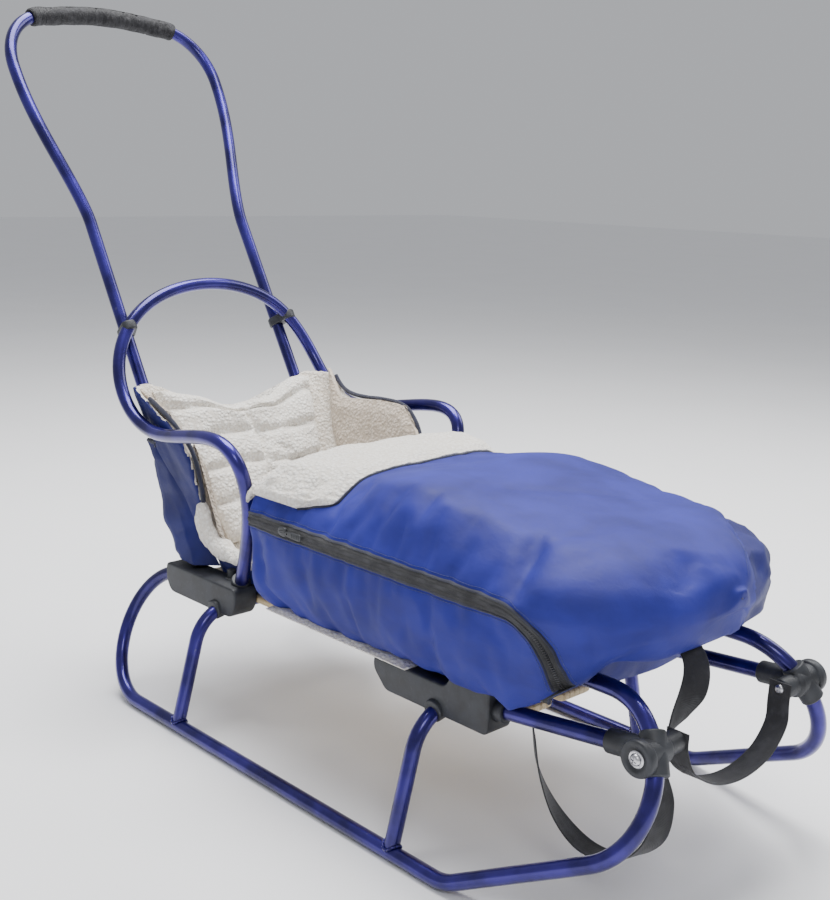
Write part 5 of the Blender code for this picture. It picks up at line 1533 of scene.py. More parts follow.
@dataclass
class Webbing:
    """The pull strap between the front clamps and the tether that holds the footmuff's toe down."""

    width: float = 0.025
    thickness: float = 0.0018
    steps: int = 8

    def ribbon(self, name: str, line: Ring, across: Ring) -> bpy.types.Object:
        """A woven strap with rounded selvedges.

        Args:
            name: The strap's name.
            line: Its centreline.
            across: The direction of its width at each point.

        Returns:
            The strap.
        """
        half, thick = self.width / 2, self.thickness / 2
        section = [
            (-1.0, 0.0), (-0.97, 0.75), (-0.90, 1.0), (-0.84, 0.72), (-0.40, 0.78), (0.0, 0.84), (0.40, 0.78),
            (0.84, 0.72), (0.90, 1.0), (0.97, 0.75), (1.0, 0.0),
        ]
        section += [(wide, -out) for wide, out in section[-2:0:-1]]
        rings = []
        for point, side, tangent in zip(line, across, tangents(line)):
            side = (side - tangent * side.dot(tangent)).normalized()
            face = tangent.cross(side).normalized()
            rings.append([point + side * (half * wide) + face * (thick * out) for wide, out in section])
        return loft(name, rings)

    def stitch_patch(self, name: str, line: Ring, across: Ring, start: int, reach: float) -> bpy.types.Object:
        """A box of stitches with a cross, on both faces of a strap's end.

        Args:
            name: The patch's name.
            line: The strap's centreline.
            across: The direction of its width at each point.
            start: The index on the line where the patch starts.
            reach: The patch's length.

        Returns:
            The stitches as one piece.
        """
        run = reaches(line[start:])
        heading = tangents(line)

        def spot(along: float, wide: float, out: float) -> Vector:
            index = max(i for i, value in enumerate(run) if value <= along + 1e-9)
            index = min(index, len(run) - 2)
            share = (along - run[index]) / max(1e-9, run[index + 1] - run[index])
            place = line[start + index].lerp(line[start + index + 1], share)
            tangent = heading[start + index]
            side = (across[start + index] - tangent * across[start + index].dot(tangent)).normalized()
            return place + side * wide + tangent.cross(side).normalized() * out

        half = self.width / 2 - 0.0045
        paths = [
            ((0.002, -half), (reach, -half)), ((reach, -half), (reach, half)), ((reach, half), (0.002, half)),
            ((0.002, half), (0.002, -half)), ((0.002, -half), (reach, half)), ((0.002, half), (reach, -half)),
        ]
        pieces = []
        for (along_0, wide_0), (along_1, wide_1) in paths:
            length = math.hypot(along_1 - along_0, wide_1 - wide_0)
            count = max(2, round(length / 0.0030))
            for step in range(count):
                low, high = (step + 0.14) / count, (step + 0.86) / count
                for out in (-1.0, 1.0):
                    lift = out * (self.thickness / 2 + 0.00005)
                    ends = [
                        spot(lerp(along_0, along_1, share), lerp(wide_0, wide_1, share), lift * rise)
                        for share, rise in ((low, 0.8), (lerp(low, high, 0.5), 1.25), (high, 0.8))
                    ]
                    pieces.append(stitch(ends, 0.00025, 0.00038))
        return joined(name, pieces)

    def pull_line(self) -> tuple[Ring, Ring]:
        """The pull strap's centreline and the direction of its width."""
        end_x = PLAN.lean_x(PLAN.clamp_height) - 0.0145 - 0.023 - 0.0003 - self.thickness / 2
        left = [at(-end_x, 0.650, 0.1976), at(0.0012 - end_x, 0.650, 0.1776)]
        left += [at(-0.0780, 0.6540, 0.1560), at(-0.0450, 0.6580, 0.1370), at(0.0, 0.6590, 0.1300)]
        line = curve_through(left + mirrored(left[:-1])[::-1], self.steps)
        return line, [Vector((0.0, 1.0, 0.0))] * len(line)

    def tether_line(self) -> tuple[Ring, Ring]:
        """The tether's centreline and the direction of its width."""
        route = [
            (-0.0150, 0.5980, 0.2548, 38.0), (-0.0300, 0.6180, 0.2542, 38.0), (-0.0460, 0.6370, 0.2450, 42.0),
            (-0.0620, 0.6460, 0.2290, 46.0), (-0.0700, 0.6380, 0.2020, 10.0),
            (-0.0760, 0.6300, 0.1760, -28.0),
            (-0.0850, 0.6320, 0.1480, -10.0), (-0.0930, 0.6440, 0.1200, 14.0),
            (-0.1000, 0.6400, 0.0850, 22.0),
            (-0.1040, 0.6120, 0.0580, 10.0), (-0.1080, 0.5700, 0.0520, 0.0), (-0.1150, 0.5360, 0.0760, -24.0),
            (-0.1260, 0.5190, 0.1180, -46.0), (-0.1332, 0.5150, 0.1647, -46.0),
        ]
        line = curve_through([at(*place[:3]) for place in route], self.steps)
        turns = curve_through([Vector((place[3], 0.0, 0.0)) for place in route], self.steps)
        across = [
            Vector((math.cos(math.radians(turn.x)), -math.sin(math.radians(turn.x)), 0.0)) for turn in turns
        ]
        return line, across

    def rivet(self, name: str, place: Vector, outward: Vector) -> bpy.types.Object:
        """A domed screw through a strap's end."""
        profile = [
            (-0.001, 0.0), (-0.001, 0.0048), (0.0006, 0.0048), (0.0016, 0.0040), (0.0024, 0.0022),
            (0.0026, 0.0),
        ]
        return turned(name, profile, place, outward, 24)

    def build(self, woven: bpy.types.Material, thread: bpy.types.Material, steel: bpy.types.Material) -> None:
        """Makes both straps, the pull strap's rivets and the stitches.

        Args:
            woven: The webbing's finish.
            thread: The stitches' finish.
            steel: The rivets' finish.
        """
        for name, (line, across), node in (
            ("webbing_pull", self.pull_line(), "pull_strap"),
            ("webbing_tether", self.tether_line(), "tether_strap"),
        ):
            strap = dress(self.ribbon(name, line, across), [woven], Body.FRAME, Slot.WEBBING, [node])
            if node == "pull_strap":
                for side in Side:
                    end = line[3] if side is Side.LEFT else line[-4]
                    inward = Vector((-side.value, 0.0, 0.0))
                    rivet = self.rivet(
                        f"strap_rivet_{side.word}", end + inward * (self.thickness / 2), inward
                    )
                    dress(rivet, [steel], Body.FRAME, Slot.STEEL)
                patch = self.stitch_patch("strap_stitches", line, across, 13, 0.019)
            else:
                patch = self.stitch_patch("tether_stitches", line, across, 2, 0.019)
            dress(patch, [thread], Body.FRAME, Slot.WEBBING)
            tuple(line[0])
            line_length(line)
            [
                    tuple(point) for point in line
                ]


@dataclass
class Padding:
    """Puffs padded fabric up by cloth simulation between seams that are held."""

    pressure: float = 4.0
    frames: int = 20
    cap: float = 0.010
    growth: float = -0.03
    stiffness: float = 12.0
    bending: float = 0.6

    def puff(
        self, piece: bpy.types.Object, held: Callable[[Vector], float], step: int = 1
    ) -> bpy.types.Object:
        """Runs the simulation and keeps its result in the mesh.

        Args:
            piece: A closed piece with an even mesh.
            held: How firmly a place is held, from 0 to 1.
            step: Levels of subdivision that follow.

        Returns:
            The same piece, puffed.
        """
        start = [vertex.co.copy() for vertex in piece.data.vertices]
        group = piece.vertex_groups.new(name="held")
        for vertex in piece.data.vertices:
            weight = held(vertex.co)
            if weight > 0.0:
                group.add([vertex.index], weight, "REPLACE")
        cloth = piece.modifiers.new("padding", "CLOTH")
        cloth.settings.quality = 5
        cloth.settings.mass = 0.3
        cloth.settings.tension_stiffness = self.stiffness
        cloth.settings.compression_stiffness = self.stiffness
        cloth.settings.shear_stiffness = 5.0
        cloth.settings.bending_stiffness = self.bending
        cloth.settings.use_pressure = True
        cloth.settings.uniform_pressure_force = self.pressure
        cloth.settings.shrink_min = self.growth
        cloth.settings.effector_weights.gravity = 0.0
        cloth.settings.vertex_group_mass = "held"
        cloth.collision_settings.use_collision = False
        cloth.collision_settings.use_self_collision = False
        cloth.point_cache.frame_start = 1
        cloth.point_cache.frame_end = self.frames
        for number in range(1, self.frames + 1):
            bpy.context.scene.frame_set(number)
        settled(piece)
        bpy.context.scene.frame_set(1)
        moved = 0.0
        for vertex, origin in zip(piece.data.vertices, start):
            shift = vertex.co - origin
            if shift.length > self.cap:
                vertex.co = origin + shift.normalized() * self.cap
            moved = max(moved, (vertex.co - origin).length)
        LOG.info("puffed %s, most moved %.1f mm", piece.name, moved * 1000.0)
        if step:
            finer = piece.modifiers.new("finer", "SUBSURF")
            finer.levels = step
            finer.render_levels = step
            settled(piece)
        piece.vertex_groups.clear()
        piece.data.shade_smooth()
        return piece


@dataclass
class FootEnd:
    """The footmuff's foot end: a padded nylon bag split along its zip into a tub and a cover that opens."""

    half: float = 0.178
    rear: float = 0.1045
    toe: float = 0.647
    nose: float = 0.128
    nose_end: float = 0.10
    peak_forward: float = 0.340
    middle: float = 0.315
    floor: float = 0.1691
    zip_height: float = 0.295
    corner_forward: float = 0.563
    corner_radius: float = 0.062
    zip_end: float = 0.222
    cuff_front: float = 0.2125
    toe_under: float = 0.256
    skirt_drop: float = 0.018
    upper: int = 54
    lower: int = 66
    padding: float = 0.008
    inset: float = 0.0035
    tip_reach: float = 0.020
    tip_rounds: int = 24
    surface: BVHTree | None = field(default=None, repr=False)

    def station(self, forward: float) -> tuple[float, float, float]:
        """The section's half width, underside and crown at a place."""
        crown = lerp(0.352, 0.372, smoothstep(forward, self.cuff_front - 0.02, self.peak_forward + 0.02))
        crown -= 0.018 * smoothstep(forward, self.peak_forward - 0.01, self.toe - self.nose + 0.01)
        under = self.floor + 0.033 * min(1.0, max(0.0, (forward - 0.420) / 0.140))
        ahead = min(1.0, max(0.0, (forward - self.toe + self.nose) / self.nose))
        full = self.nose_end + (1.0 - self.nose_end) * max(0.0, 1.0 - ahead**2.2) ** (1.0 / 1.4)
        return self.half * full, lerp(self.middle, under, full), lerp(self.middle, crown, full)

    def section(self, forward: float, inset: float, shrink: float = 1.0) -> Ring:
        """One ring of the bag, with even spacing and a point on the zip's height at both sides.

        Args:
            forward: The ring's place along the sled.
            inset: How far it is drawn in.
            shrink: A share of full size, for closing the ends.

        Returns:
            The ring, from the far side over the crown to the near side and back underneath.
        """
        half, under, crown = self.station(forward)
        arcs = []
        for above, count in ((True, self.upper), (False, self.lower)):
            fine = []
            for step in range(91):
                angle = math.pi * step / 90 + (0.0 if above else math.pi)
                power = 0.62 if above else 0.42
                across = swollen(math.cos(angle), power)
                upward = swollen(math.sin(angle), power)
                reach = (crown - self.zip_height) if above else (self.zip_height - under)
                side_inset = inset * smoothstep(abs(upward) * max(0.02, reach), 0.0, 0.022)
                fine.append(Vector(((half - side_inset) * across, 0.0, max(reach - inset, inset) * upward)))
            arcs.append(resampled(fine, count)[:-1])
        return [
            at(place.x * shrink, forward, self.zip_height + place.z * shrink) for arc in arcs for place in arc
        ]

    def support(self, place: Vector) -> float:
        """The height that the fabric rests on at a place: slats, connectors, rails and scrolls."""
        forward = forward_of(place)
        height = self.floor
        if forward > 0.485:
            height = self.floor - 0.02
        out = abs(place.x)
        block = between(out, 0.098, 0.116, 0.1545, 0.172)
        low = between(forward, 0.270, 0.300, 0.474, 0.492)
        high = between(forward, 0.392, 0.418, 0.474, 0.492)
        height = max(height, self.floor + 0.0125 * block * low, self.floor + 0.0385 * block * high)
        scroll = 1.0 - smoothstep(abs(out - 0.110), 0.006, 0.036)
        along = between(forward, 0.400, 0.450, 0.640, 0.670)
        height = max(height, self.floor + 0.0665 * scroll * along)
        rail_x = lerp(0.1365, 0.1269, min(1.0, max(0.0, (forward - 0.442) / 0.208)))
        rail = 1.0 - smoothstep(abs(out - rail_x), 0.007, 0.026)
        rail_top = lerp(0.1675, 0.1886, (forward - 0.442) / 0.208) + 0.0105
        if 0.46 < forward < 0.64:
            height = max(height, lerp(height, rail_top, rail))
        return height

    def grounded(self, place: Vector) -> Vector:
        """A place moved up to what carries it, and to the toe's underside."""
        forward = forward_of(place)
        height = max(place.z, self.support(place))
        toe = smoothstep(forward, self.corner_forward - 0.012, self.corner_forward + 0.004)
        if place.x > -0.1362 + 0.004 and toe > 0.0:
            inner = smoothstep(place.x, -0.134, -0.120)
            height = max(height, lerp(height, max(height, self.toe_under), inner * toe))
        return Vector((place.x, place.y, height))

    def seam_distance(self, forward: float, height: float) -> float:
        """How far a side place is from the zip's line, positive towards the cover."""
        corner_s = self.corner_forward - self.corner_radius
        corner_z = self.zip_height - self.corner_radius
        if forward > corner_s and height > corner_z:
            return math.hypot(forward - corner_s, height - corner_z) - self.corner_radius
        if forward <= corner_s:
            return height - self.zip_height
        return forward - self.corner_forward

    def toe_seam(self, place: Vector) -> float:
        """How far a place is from the toe cap's seam, along the sled."""
        forward = forward_of(place)
        line = 0.671 - 1.04 * place.x + 0.010 * math.sin((place.z - 0.25) * 30.0)
        return forward - line

    def held(self, place: Vector) -> float:
        """How firmly the fabric is held at a place: along its seams, at its ends and where it rests."""
        forward = forward_of(place)
        firm = 0.0
        if place.x < -0.05:
            firm = max(firm, 1.0 - smoothstep(abs(self.seam_distance(forward, place.z)), 0.004, 0.010))
        if place.x > 0.05 and abs(place.z - self.zip_height) < 0.007:
            firm = 1.0
        firm = max(firm, 1.0 - smoothstep(forward - self.rear, 0.004, 0.014))
        firm = max(firm, 1.0 - smoothstep(abs(self.toe_seam(place)), 0.002, 0.007))
        if place.z < self.support(place) + 0.002:
            firm = 1.0
        if forward > self.toe - 0.004:
            firm = 1.0
        return firm

    def bag(self) -> bpy.types.Object:
        """The whole closed bag, puffed and rested on the sled."""
        stations = [self.rear + (self.toe - self.nose - self.rear) * step / 54 for step in range(55)]
        stations += [
            self.toe - self.nose + self.nose * math.sin(math.pi / 2 * step / 16) for step in range(1, 17)
        ]
        closing = (0.12, 0.30, 0.48, 0.64, 0.78, 0.88, 0.95)
        rings = [self.section(self.rear, self.inset, shrink) for shrink in closing]
        rings += [self.section(forward, self.inset) for forward in stations]
        last = rings[-1]
        for shrink, ahead in ((0.86, 0.0030), (0.66, 0.0052), (0.42, 0.0066), (0.16, 0.0072)):
            ring = []
            for place in last:
                ring.append(
                    at(place.x * shrink, self.toe + ahead, self.middle + (place.z - self.middle) * shrink)
                )
            rings.append(ring)
        rings = [[self.grounded(place) for place in ring] for ring in rings]
        bag = loft("footmuff_bag", rings)
        Padding(pressure=5.0, cap=0.011, growth=-0.045).puff(bag, self.held)
        self.rounded_tip(bag)
        for vertex in bag.data.vertices:
            vertex.co = self.finished(vertex.co)
        bag.data.update()
        return bag

    def rounded_tip(self, bag: bpy.types.Object) -> None:
        """Fans out the bag's end faces and smooths its blunt tip."""
        with edited(bag.data) as builder:
            bmesh.ops.poke(builder, faces=[face for face in builder.faces if len(face.verts) > 4])
            tip = [vertex for vertex in builder.verts if forward_of(vertex.co) > self.toe - self.tip_reach]
            for _ in range(self.tip_rounds):
                bmesh.ops.smooth_vert(
                    builder, verts=tip, factor=0.5, use_axis_x=True, use_axis_y=True, use_axis_z=True
                )

    def finished(self, place: Vector) -> Vector:
        """A puffed place with the creases, gathers and seams that come last."""
        forward = forward_of(place)
        side = place.x < 0.0
        distance = self.seam_distance(forward, place.z) if side else 1.0
        moved = place.copy()
        outward = Vector((place.x * 0.9, 0.0, place.z - 0.27)).normalized()
        if side and place.x < -0.10 and distance < 0.0:
            reach = between(-distance, 0.004, 0.028, 0.070, 0.120)
            gather = ripple(forward * 46.0, place.z * 7.0, 3.1)
            sway = ripple(forward * 15.0, place.z * 16.0, 8.2)
            moved += outward * reach * (gather * 0.0042 + sway * 0.0040)
        if side and 0.205 < place.z < 0.325 and 0.560 < forward < 0.620:
            line = 0.584 + 0.006 * math.sin((place.z - 0.22) * 34.0)
            tuck = 1.0 - smoothstep(abs(forward - line), 0.0, 0.0085)
            ends = between(place.z, 0.215, 0.245, 0.285, 0.320)
            moved -= outward * tuck * ends * 0.0050
            moved += outward * ends * 0.0020 * (1.0 - smoothstep(abs(forward - line - 0.016), 0.0, 0.012))
        if place.z > 0.30 and distance > 0.0:
            near_zip = 1.0 - smoothstep(distance, 0.010, 0.075) if side else 0.0
            pucker = ripple(forward * 38.0, place.x * 9.0, 1.7)
            moved += outward * pucker * 0.0030 * near_zip * smoothstep(distance, 0.004, 0.012)
            drift = ripple(place.x * 9.0 + forward * 5.0, forward * 7.0 - place.x * 4.0, 5.0)
            moved += outward * drift * 0.0038 * smoothstep(place.z, 0.31, 0.35)
            crease = 1.0 - abs(ripple(forward * 11.0 - place.x * 7.0, place.x * 3.0, 12.0)) * 9.0
            moved -= outward * max(0.0, crease) * 0.0016 * smoothstep(place.z, 0.31, 0.34)
        upper = smoothstep(place.z, 0.312, 0.330)
        groove = (1.0 - smoothstep(abs(self.toe_seam(place)), 0.0, 0.006)) * upper
        moved -= outward * groove * 0.0022
        puffed = between(abs(self.toe_seam(place)), 0.004, 0.022, 0.022, 0.05)
        gathers = ripple(place.x * 55.0, place.z * 30.0, 6.0)
        moved += outward * puffed * gathers * 0.0020 * upper
        limit = self.half + 0.0055
        moved.x = min(limit, max(-limit, moved.x))
        rested = self.grounded(moved)
        skirt = smoothstep(-place.x, 0.146, 0.157) * (1.0 - smoothstep(place.z, 0.190, 0.250))
        rested.z -= self.skirt_drop * skirt * between(forward, 0.385, 0.470, 0.560, 0.600)
        return rested

    def split_cutter(self, name: str, offset: float, seam_finish: bpy.types.Material) -> bpy.types.Object:
        """The body that divides the bag along the zip.

        Args:
            name: The cutter's name.
            offset: How far the cut is moved towards the cover.
            seam_finish: The finish that marks the cut faces.

        Returns:
            The cutter.
        """
        radius = self.corner_radius + offset
        middle = (self.corner_forward - self.corner_radius, self.zip_height - self.corner_radius)
        outline = [(self.rear - 0.05, self.zip_height + offset)]
        for step in range(13):
            angle = math.pi / 2 * step / 12
            outline.append((middle[0] + radius * math.sin(angle), middle[1] + radius * math.cos(angle)))
        outline += [
            (self.corner_forward + offset, 0.10), (self.toe + 0.06, 0.10), (self.toe + 0.06, 0.50),
            (self.rear - 0.05, 0.50),
        ]
        cutter = loft(name, [[at(x, *point) for point in outline] for x in (-0.25, 0.25)], smooth=False)
        cutter.data.materials.append(seam_finish)
        return cutter

    def seat_opening(self, seam_finish: bpy.types.Material) -> bpy.types.Object:
        """The way from the seat into the foot end."""
        rings = []
        for height in (self.floor + 0.011, 0.341):
            half = 0.1140 + 0.215 * (height - self.floor) - 0.008
            places = (
                (-half, self.rear - 0.02), (-half, self.rear + 0.006), (half, self.rear + 0.006),
                (half, self.rear - 0.02),
            )
            rings.append([at(x, forward, height) for x, forward in places])
        opening = loft("seat_opening", rings, smooth=False)
        opening.data.materials.append(seam_finish)
        return opening

    def half_of(
        self, bag: bpy.types.Object, name: str, upper: bool, marks: Sequence[bpy.types.Material]
    ) -> bpy.types.Object:
        """The tub or the cover: part of the bag's skin, made as thick as its padding.

        Args:
            bag: The whole bag.
            name: The piece's name.
            upper: Whether it is the cover.
            marks: The skin's finish and the finish of cut faces.

        Returns:
            The piece, with three material slots: outside, lining and binding.
        """
        piece = bag.copy()
        piece.data = bag.data.copy()
        piece.name = name
        bpy.context.scene.collection.objects.link(piece)
        piece.data.materials.clear()
        piece.data.materials.append(marks[0])
        offset = 0.0006 if upper else -0.0006
        cut(piece, self.split_cutter("split", offset, marks[1]), "INTERSECT" if upper else "DIFFERENCE")
        cut(piece, self.seat_opening(marks[1]))
        marked = [index for index, finish in enumerate(piece.data.materials) if finish == marks[1]]
        with edited(piece.data) as builder:
            bared = [face for face in builder.faces if face.material_index in marked]
            bmesh.ops.delete(builder, geom=bared, context="FACES")
            bmesh.ops.remove_doubles(builder, verts=builder.verts, dist=0.0002)
            loose = [vertex for vertex in builder.verts if not vertex.link_faces]
            bmesh.ops.delete(builder, geom=loose, context="VERTS")
            for face in builder.faces:
                face.material_index = 0
        piece.data.materials.clear()
        for _ in range(4):
            piece.data.materials.append(marks[0])
        filling = piece.vertex_groups.new(name="filling")
        for vertex in piece.data.vertices:
            forward = forward_of(vertex.co)
            filling.add(
                [vertex.index], 1.0 - smoothstep(forward, self.toe - 0.035, self.toe - 0.004), "REPLACE"
            )
        wall = piece.modifiers.new("padding", "SOLIDIFY")
        wall.thickness = self.padding
        wall.vertex_group = filling.name
        wall.thickness_vertex_group = 0.08
        wall.offset = -1.0
        wall.material_offset = 1
        wall.material_offset_rim = 2
        wall.use_even_offset = False
        return softened(settled(piece), 60.0)

    def skin_at(self, origin: Vector, direction: Vector) -> tuple[Vector, Vector] | None:
        """Where a ray meets the bag's skin, and the skin's normal there."""
        hit, normal, _, _ = self.surface.ray_cast(origin, direction.normalized())
        return None if hit is None else (hit, normal)

    def side_skin(self, forward: float, height: float) -> Vector:
        """The near side's skin at a place."""
        hit = self.skin_at(at(-0.32, forward, height), OUTWARD)
        return hit[0] if hit else at(-self.half, forward, height)

    def build(self, finishes: dict[str, bpy.types.Material]) -> None:
        """Makes the bag, its two halves, its toe seam and its binding.

        Args:
            finishes: The materials by name.
        """
        bag = self.bag()
        builder = bmesh.new()
        builder.from_mesh(bag.data)
        self.surface = BVHTree.FromBMesh(builder)
        builder.free()
        marks = (finishes["nylon"], finishes["cut"])
        layers = [finishes["nylon"], finishes["lining"], finishes["binding"]]
        tub = self.half_of(bag, "padded_tub", False, marks)
        dress(tub, layers, Body.FRAME, Slot.NYLON, ["footmuff_tub"])
        cover = self.half_of(bag, "padded_cover", True, marks)
        # Painted shade: the toe cap's faces, ahead of its seam, take a darker copy of the nylon for the shade
        # on the bag's low front end.
        for polygon in cover.data.polygons:
            if polygon.material_index == 0 and self.toe_seam(polygon.center) > 0.0:
                polygon.material_index = 3
        dress(cover, [*layers, finishes["shaded_toe_nylon"]], Body.COVER, Slot.NYLON, ["footmuff_cover"])
        bpy.data.objects.remove(bag, do_unlink=True)
        self.toe_stitches(finishes["thread"])

    def toe_stitches(self, thread: bpy.types.Material) -> None:
        """The line of stitches beside the toe cap's seam."""
        pieces = []
        line = []
        middle = at(0.050, 0.615, 0.306)
        across = Vector((0.72, 0.69, 0.0)).normalized()
        for step in range(121):
            angle = math.radians(lerp(158.0, 12.0, step / 120))
            spoke = Vector((math.cos(angle), 0.0, math.sin(angle)))
            origin = middle + across * (spoke.x * 0.4) + UP * (spoke.z * 0.4)
            hit = self.skin_at(origin, middle - origin)
            if hit:
                line.append(hit[0] + hit[1] * 0.0002)
        line = resampled(line, round(line_length(line) / 0.0042))
        for first, second in zip(line, line[1:]):
            ends = [first.lerp(second, 0.12), first.lerp(second, 0.5), first.lerp(second, 0.86)]
            pieces.append(stitch(ends, 0.00028, 0.00042))
        dress(joined("toe_stitches", pieces), [thread], Body.COVER, Slot.NYLON)


@dataclass
class ZipFastener:
    """The zip: two tapes with coils along the split, a slider and its pull."""

    foot: FootEnd
    tape: float = 0.0070
    pitch: float = 0.0023
    tooth_long: float = 0.00062
    tooth_wide: float = 0.00105
    slider_forward: float = 0.175
    slider_half: float = 0.0072

    def line(self, offset: float) -> list[tuple[float, float]]:
        """The zip's line from the side, moved towards the cover by an offset, as (forward, height)."""
        foot = self.foot
        radius = foot.corner_radius + offset
        middle = (foot.corner_forward - foot.corner_radius, foot.zip_height - foot.corner_radius)
        line = [
            (lerp(foot.rear + 0.002, middle[0], step / 60), foot.zip_height + offset) for step in range(60)
        ]
        for step in range(17):
            angle = math.pi / 2 * step / 16
            line.append((middle[0] + radius * math.sin(angle), middle[1] + radius * math.cos(angle)))
        for step in range(1, 6):
            line.append((foot.corner_forward + offset, lerp(middle[1], foot.zip_end, step / 5)))
        return line

    def strip(self, name: str, near: float, far: float, lift: float, thick: float) -> bpy.types.Object:
        """A flat band that lies on the side along the zip.

        Args:
            name: The band's name.
            near: The offset of its first edge.
            far: The offset of its second edge.
            lift: How far its back is off the skin.
            thick: Its thickness.

        Returns:
            The band.
        """
        columns = 5
        lines = [self.line(lerp(near, far, column / (columns - 1))) for column in range(columns)]
        rings = []
        for index in range(len(lines[0])):
            front, back = [], []
            for column in range(columns):
                place = self.foot.side_skin(*lines[column][index])
                edge = 0.6 if column in (0, columns - 1) else 1.0
                front.append(place - OUTWARD * (lift + thick * edge))
                back.append(place - OUTWARD * (lift - 0.0008))
            rings.append(front + back[::-1])
        return loft(name, rings)

    def coil(self, name: str, offset: float, phase: float) -> bpy.types.Object:
        """One half of the zip's coil: a row of small rounded teeth."""
        flat = flat_line(self.line(offset))
        count = round(line_length(flat) / self.pitch)
        spread = resampled(flat, count)
        faces: list[Sequence[int]] = []
        places: Ring = []
        for index in range(count):
            spot = spread[index].lerp(spread[index + 1], 0.5 + phase)
            along = (spread[index + 1] - spread[index]).normalized()
            across = Vector((-along.y, along.x, 0.0))
            base = self.foot.side_skin(spot.x, spot.y) - OUTWARD * 0.0016
            along_3 = Vector((0.0, -along.x, along.y))
            across_3 = Vector((0.0, -across.x, across.y))
            first = len(places)
            for out, size in ((0.0006, 1.0), (-0.0004, 1.0), (-0.0010, 0.55)):
                for wide, run in ((-1, -1), (1, -1), (1, 1), (-1, 1)):
                    along_tooth = along_3 * (run * self.tooth_long * size)
                    across_tooth = across_3 * (wide * self.tooth_wide * size)
                    places.append(base + OUTWARD * out + along_tooth + across_tooth)
            for low in (first, first + 4):
                for corner in range(4):
                    after = (corner + 1) % 4
                    faces.append((low + corner, low + after, low + 4 + after, low + 4 + corner))
            faces.append((first, first + 1, first + 2, first + 3))
            faces.append((first + 8, first + 9, first + 10, first + 11))
        return mesh_piece(name, places, faces, False)

    def slider(self) -> bpy.types.Object:
        """The slider's body: a waisted shell with a bridge for the pull."""
        forward, height = self.slider_forward, self.foot.zip_height
        base = self.foot.side_skin(forward, height).x - 0.0026
        outline = []
        for step in range(32):
            angle = math.tau * step / 32
            along = self.slider_half * swollen(math.cos(angle), 0.7)
            waist = 1.0 + 0.16 * along / self.slider_half
            wide = 0.0054 * swollen(math.sin(angle), 0.7) * waist
            outline.append((forward + along, height + wide))
        rings = [[at(x, s, z) for s, z in outline] for x in (base + 0.0016, base - 0.0016)]
        body = bevelled(loft("slider_shell", rings), 0.0009, 3, 40.0)
        arch = []
        for step in range(11):
            out = base - 0.0012 - 0.0022 * math.sin(math.pi * step / 10)
            arch.append(at(out, forward - 0.0045 + 0.009 * step / 10, height))
        bridge = loft("bridge", sweep_rings(arch, [0.0011] * 11, 10))
        return joined("zip_slider_shell", [body, bridge])

    def pull(self) -> bpy.types.Object:
        """The pull: a ribbed tab with an eye, hanging forward from the slider."""
        base = -0.18245
        root = self.slider_forward + 0.007 + 0.0003 + 0.0008
        outline = []
        for step in range(13):
            angle = math.pi / 2 + math.pi * step / 12
            outline.append((root + 0.0026 + 0.0030 * math.cos(angle), 0.0030 * math.sin(angle)))
        for step in range(13):
            angle = -math.pi / 2 + math.pi * step / 12
            outline.append((root + 0.0235 + 0.0040 * math.cos(angle), 0.0040 * math.sin(angle)))
        rings = [
            [at(base + out, s, self.foot.zip_height + z) for s, z in outline] for out in (0.0008, -0.0008)
        ]
        tab = bevelled(loft("tab", rings), 0.0005, 2, 40.0)
        pieces = [tab]
        for step in range(5):
            place = root + 0.0115 + 0.0030 * step
            heights = [self.foot.zip_height + lerp(-0.0028, 0.0028, share / 4) for share in range(5)]
            rib = [at(base - 0.0008, place, height) for height in heights]
            pieces.append(loft("rib", sweep_rings(rib, [0.0003, 0.0006, 0.0006, 0.0006, 0.0003], 8)))
        eye = turned(
            "eye", [(-0.003, 0.0012), (0.003, 0.0012)], at(base, root + 0.0028, self.foot.zip_height),
            OUTWARD, 16,
        )
        cut(pieces[0], eye)
        return joined("zip_pull_tab", pieces)

    def topstitch(self, name: str, offset: float) -> bpy.types.Object:
        """A row of stitches along the zip at an offset."""
        flat = flat_line(self.line(offset))
        spread = resampled(flat, round(line_length(flat) / 0.0040))
        pieces = []
        for first, second in zip(spread, spread[1:]):
            ends = []
            for share, rise in ((0.12, 0.0001), (0.5, 0.0004), (0.88, 0.0001)):
                spot = first.lerp(second, share)
                ends.append(self.foot.side_skin(spot.x, spot.y) - OUTWARD * rise)
            pieces.append(stitch(ends, 0.00026, 0.00040))
        return joined(name, pieces)

    def build(self, finishes: dict[str, bpy.types.Material]) -> None:
        """Makes the whole zip.

        Args:
            finishes: The materials by name.
        """
        for word, sign, body in (("lower", -1.0, Body.FRAME), ("upper", 1.0, Body.COVER)):
            band = self.strip(f"zip_band_{word}", sign * 0.0008, sign * self.tape, 0.0002, 0.0012)
            dress(band, [finishes["tape"]], body, Slot.ZIP, [f"zip_tape_{word}"])
            welt = self.strip(
                f"zip_welt_{word}", sign * (self.tape - 0.0008), sign * (self.tape + 0.0016), 0.0, 0.0022
            )
            dress(welt, [finishes["binding"]], body, Slot.ZIP)
            dress(
                self.coil(f"zip_coil_{word}", sign * 0.0007, 0.0 if sign > 0 else 0.25), [finishes["coil"]],
                body, Slot.ZIP,
            )
            dress(
                self.topstitch(f"zip_stitches_{word}", sign * (self.tape + 0.0045)), [finishes["thread"]],
                body, Slot.NYLON,
            )
        dress(self.slider(), [finishes["slider"]], Body.SLIDER, Slot.ZIP, ["zip_slider"])
        dress(self.pull(), [finishes["slider"]], Body.PULL, Slot.ZIP, ["zip_pull"])


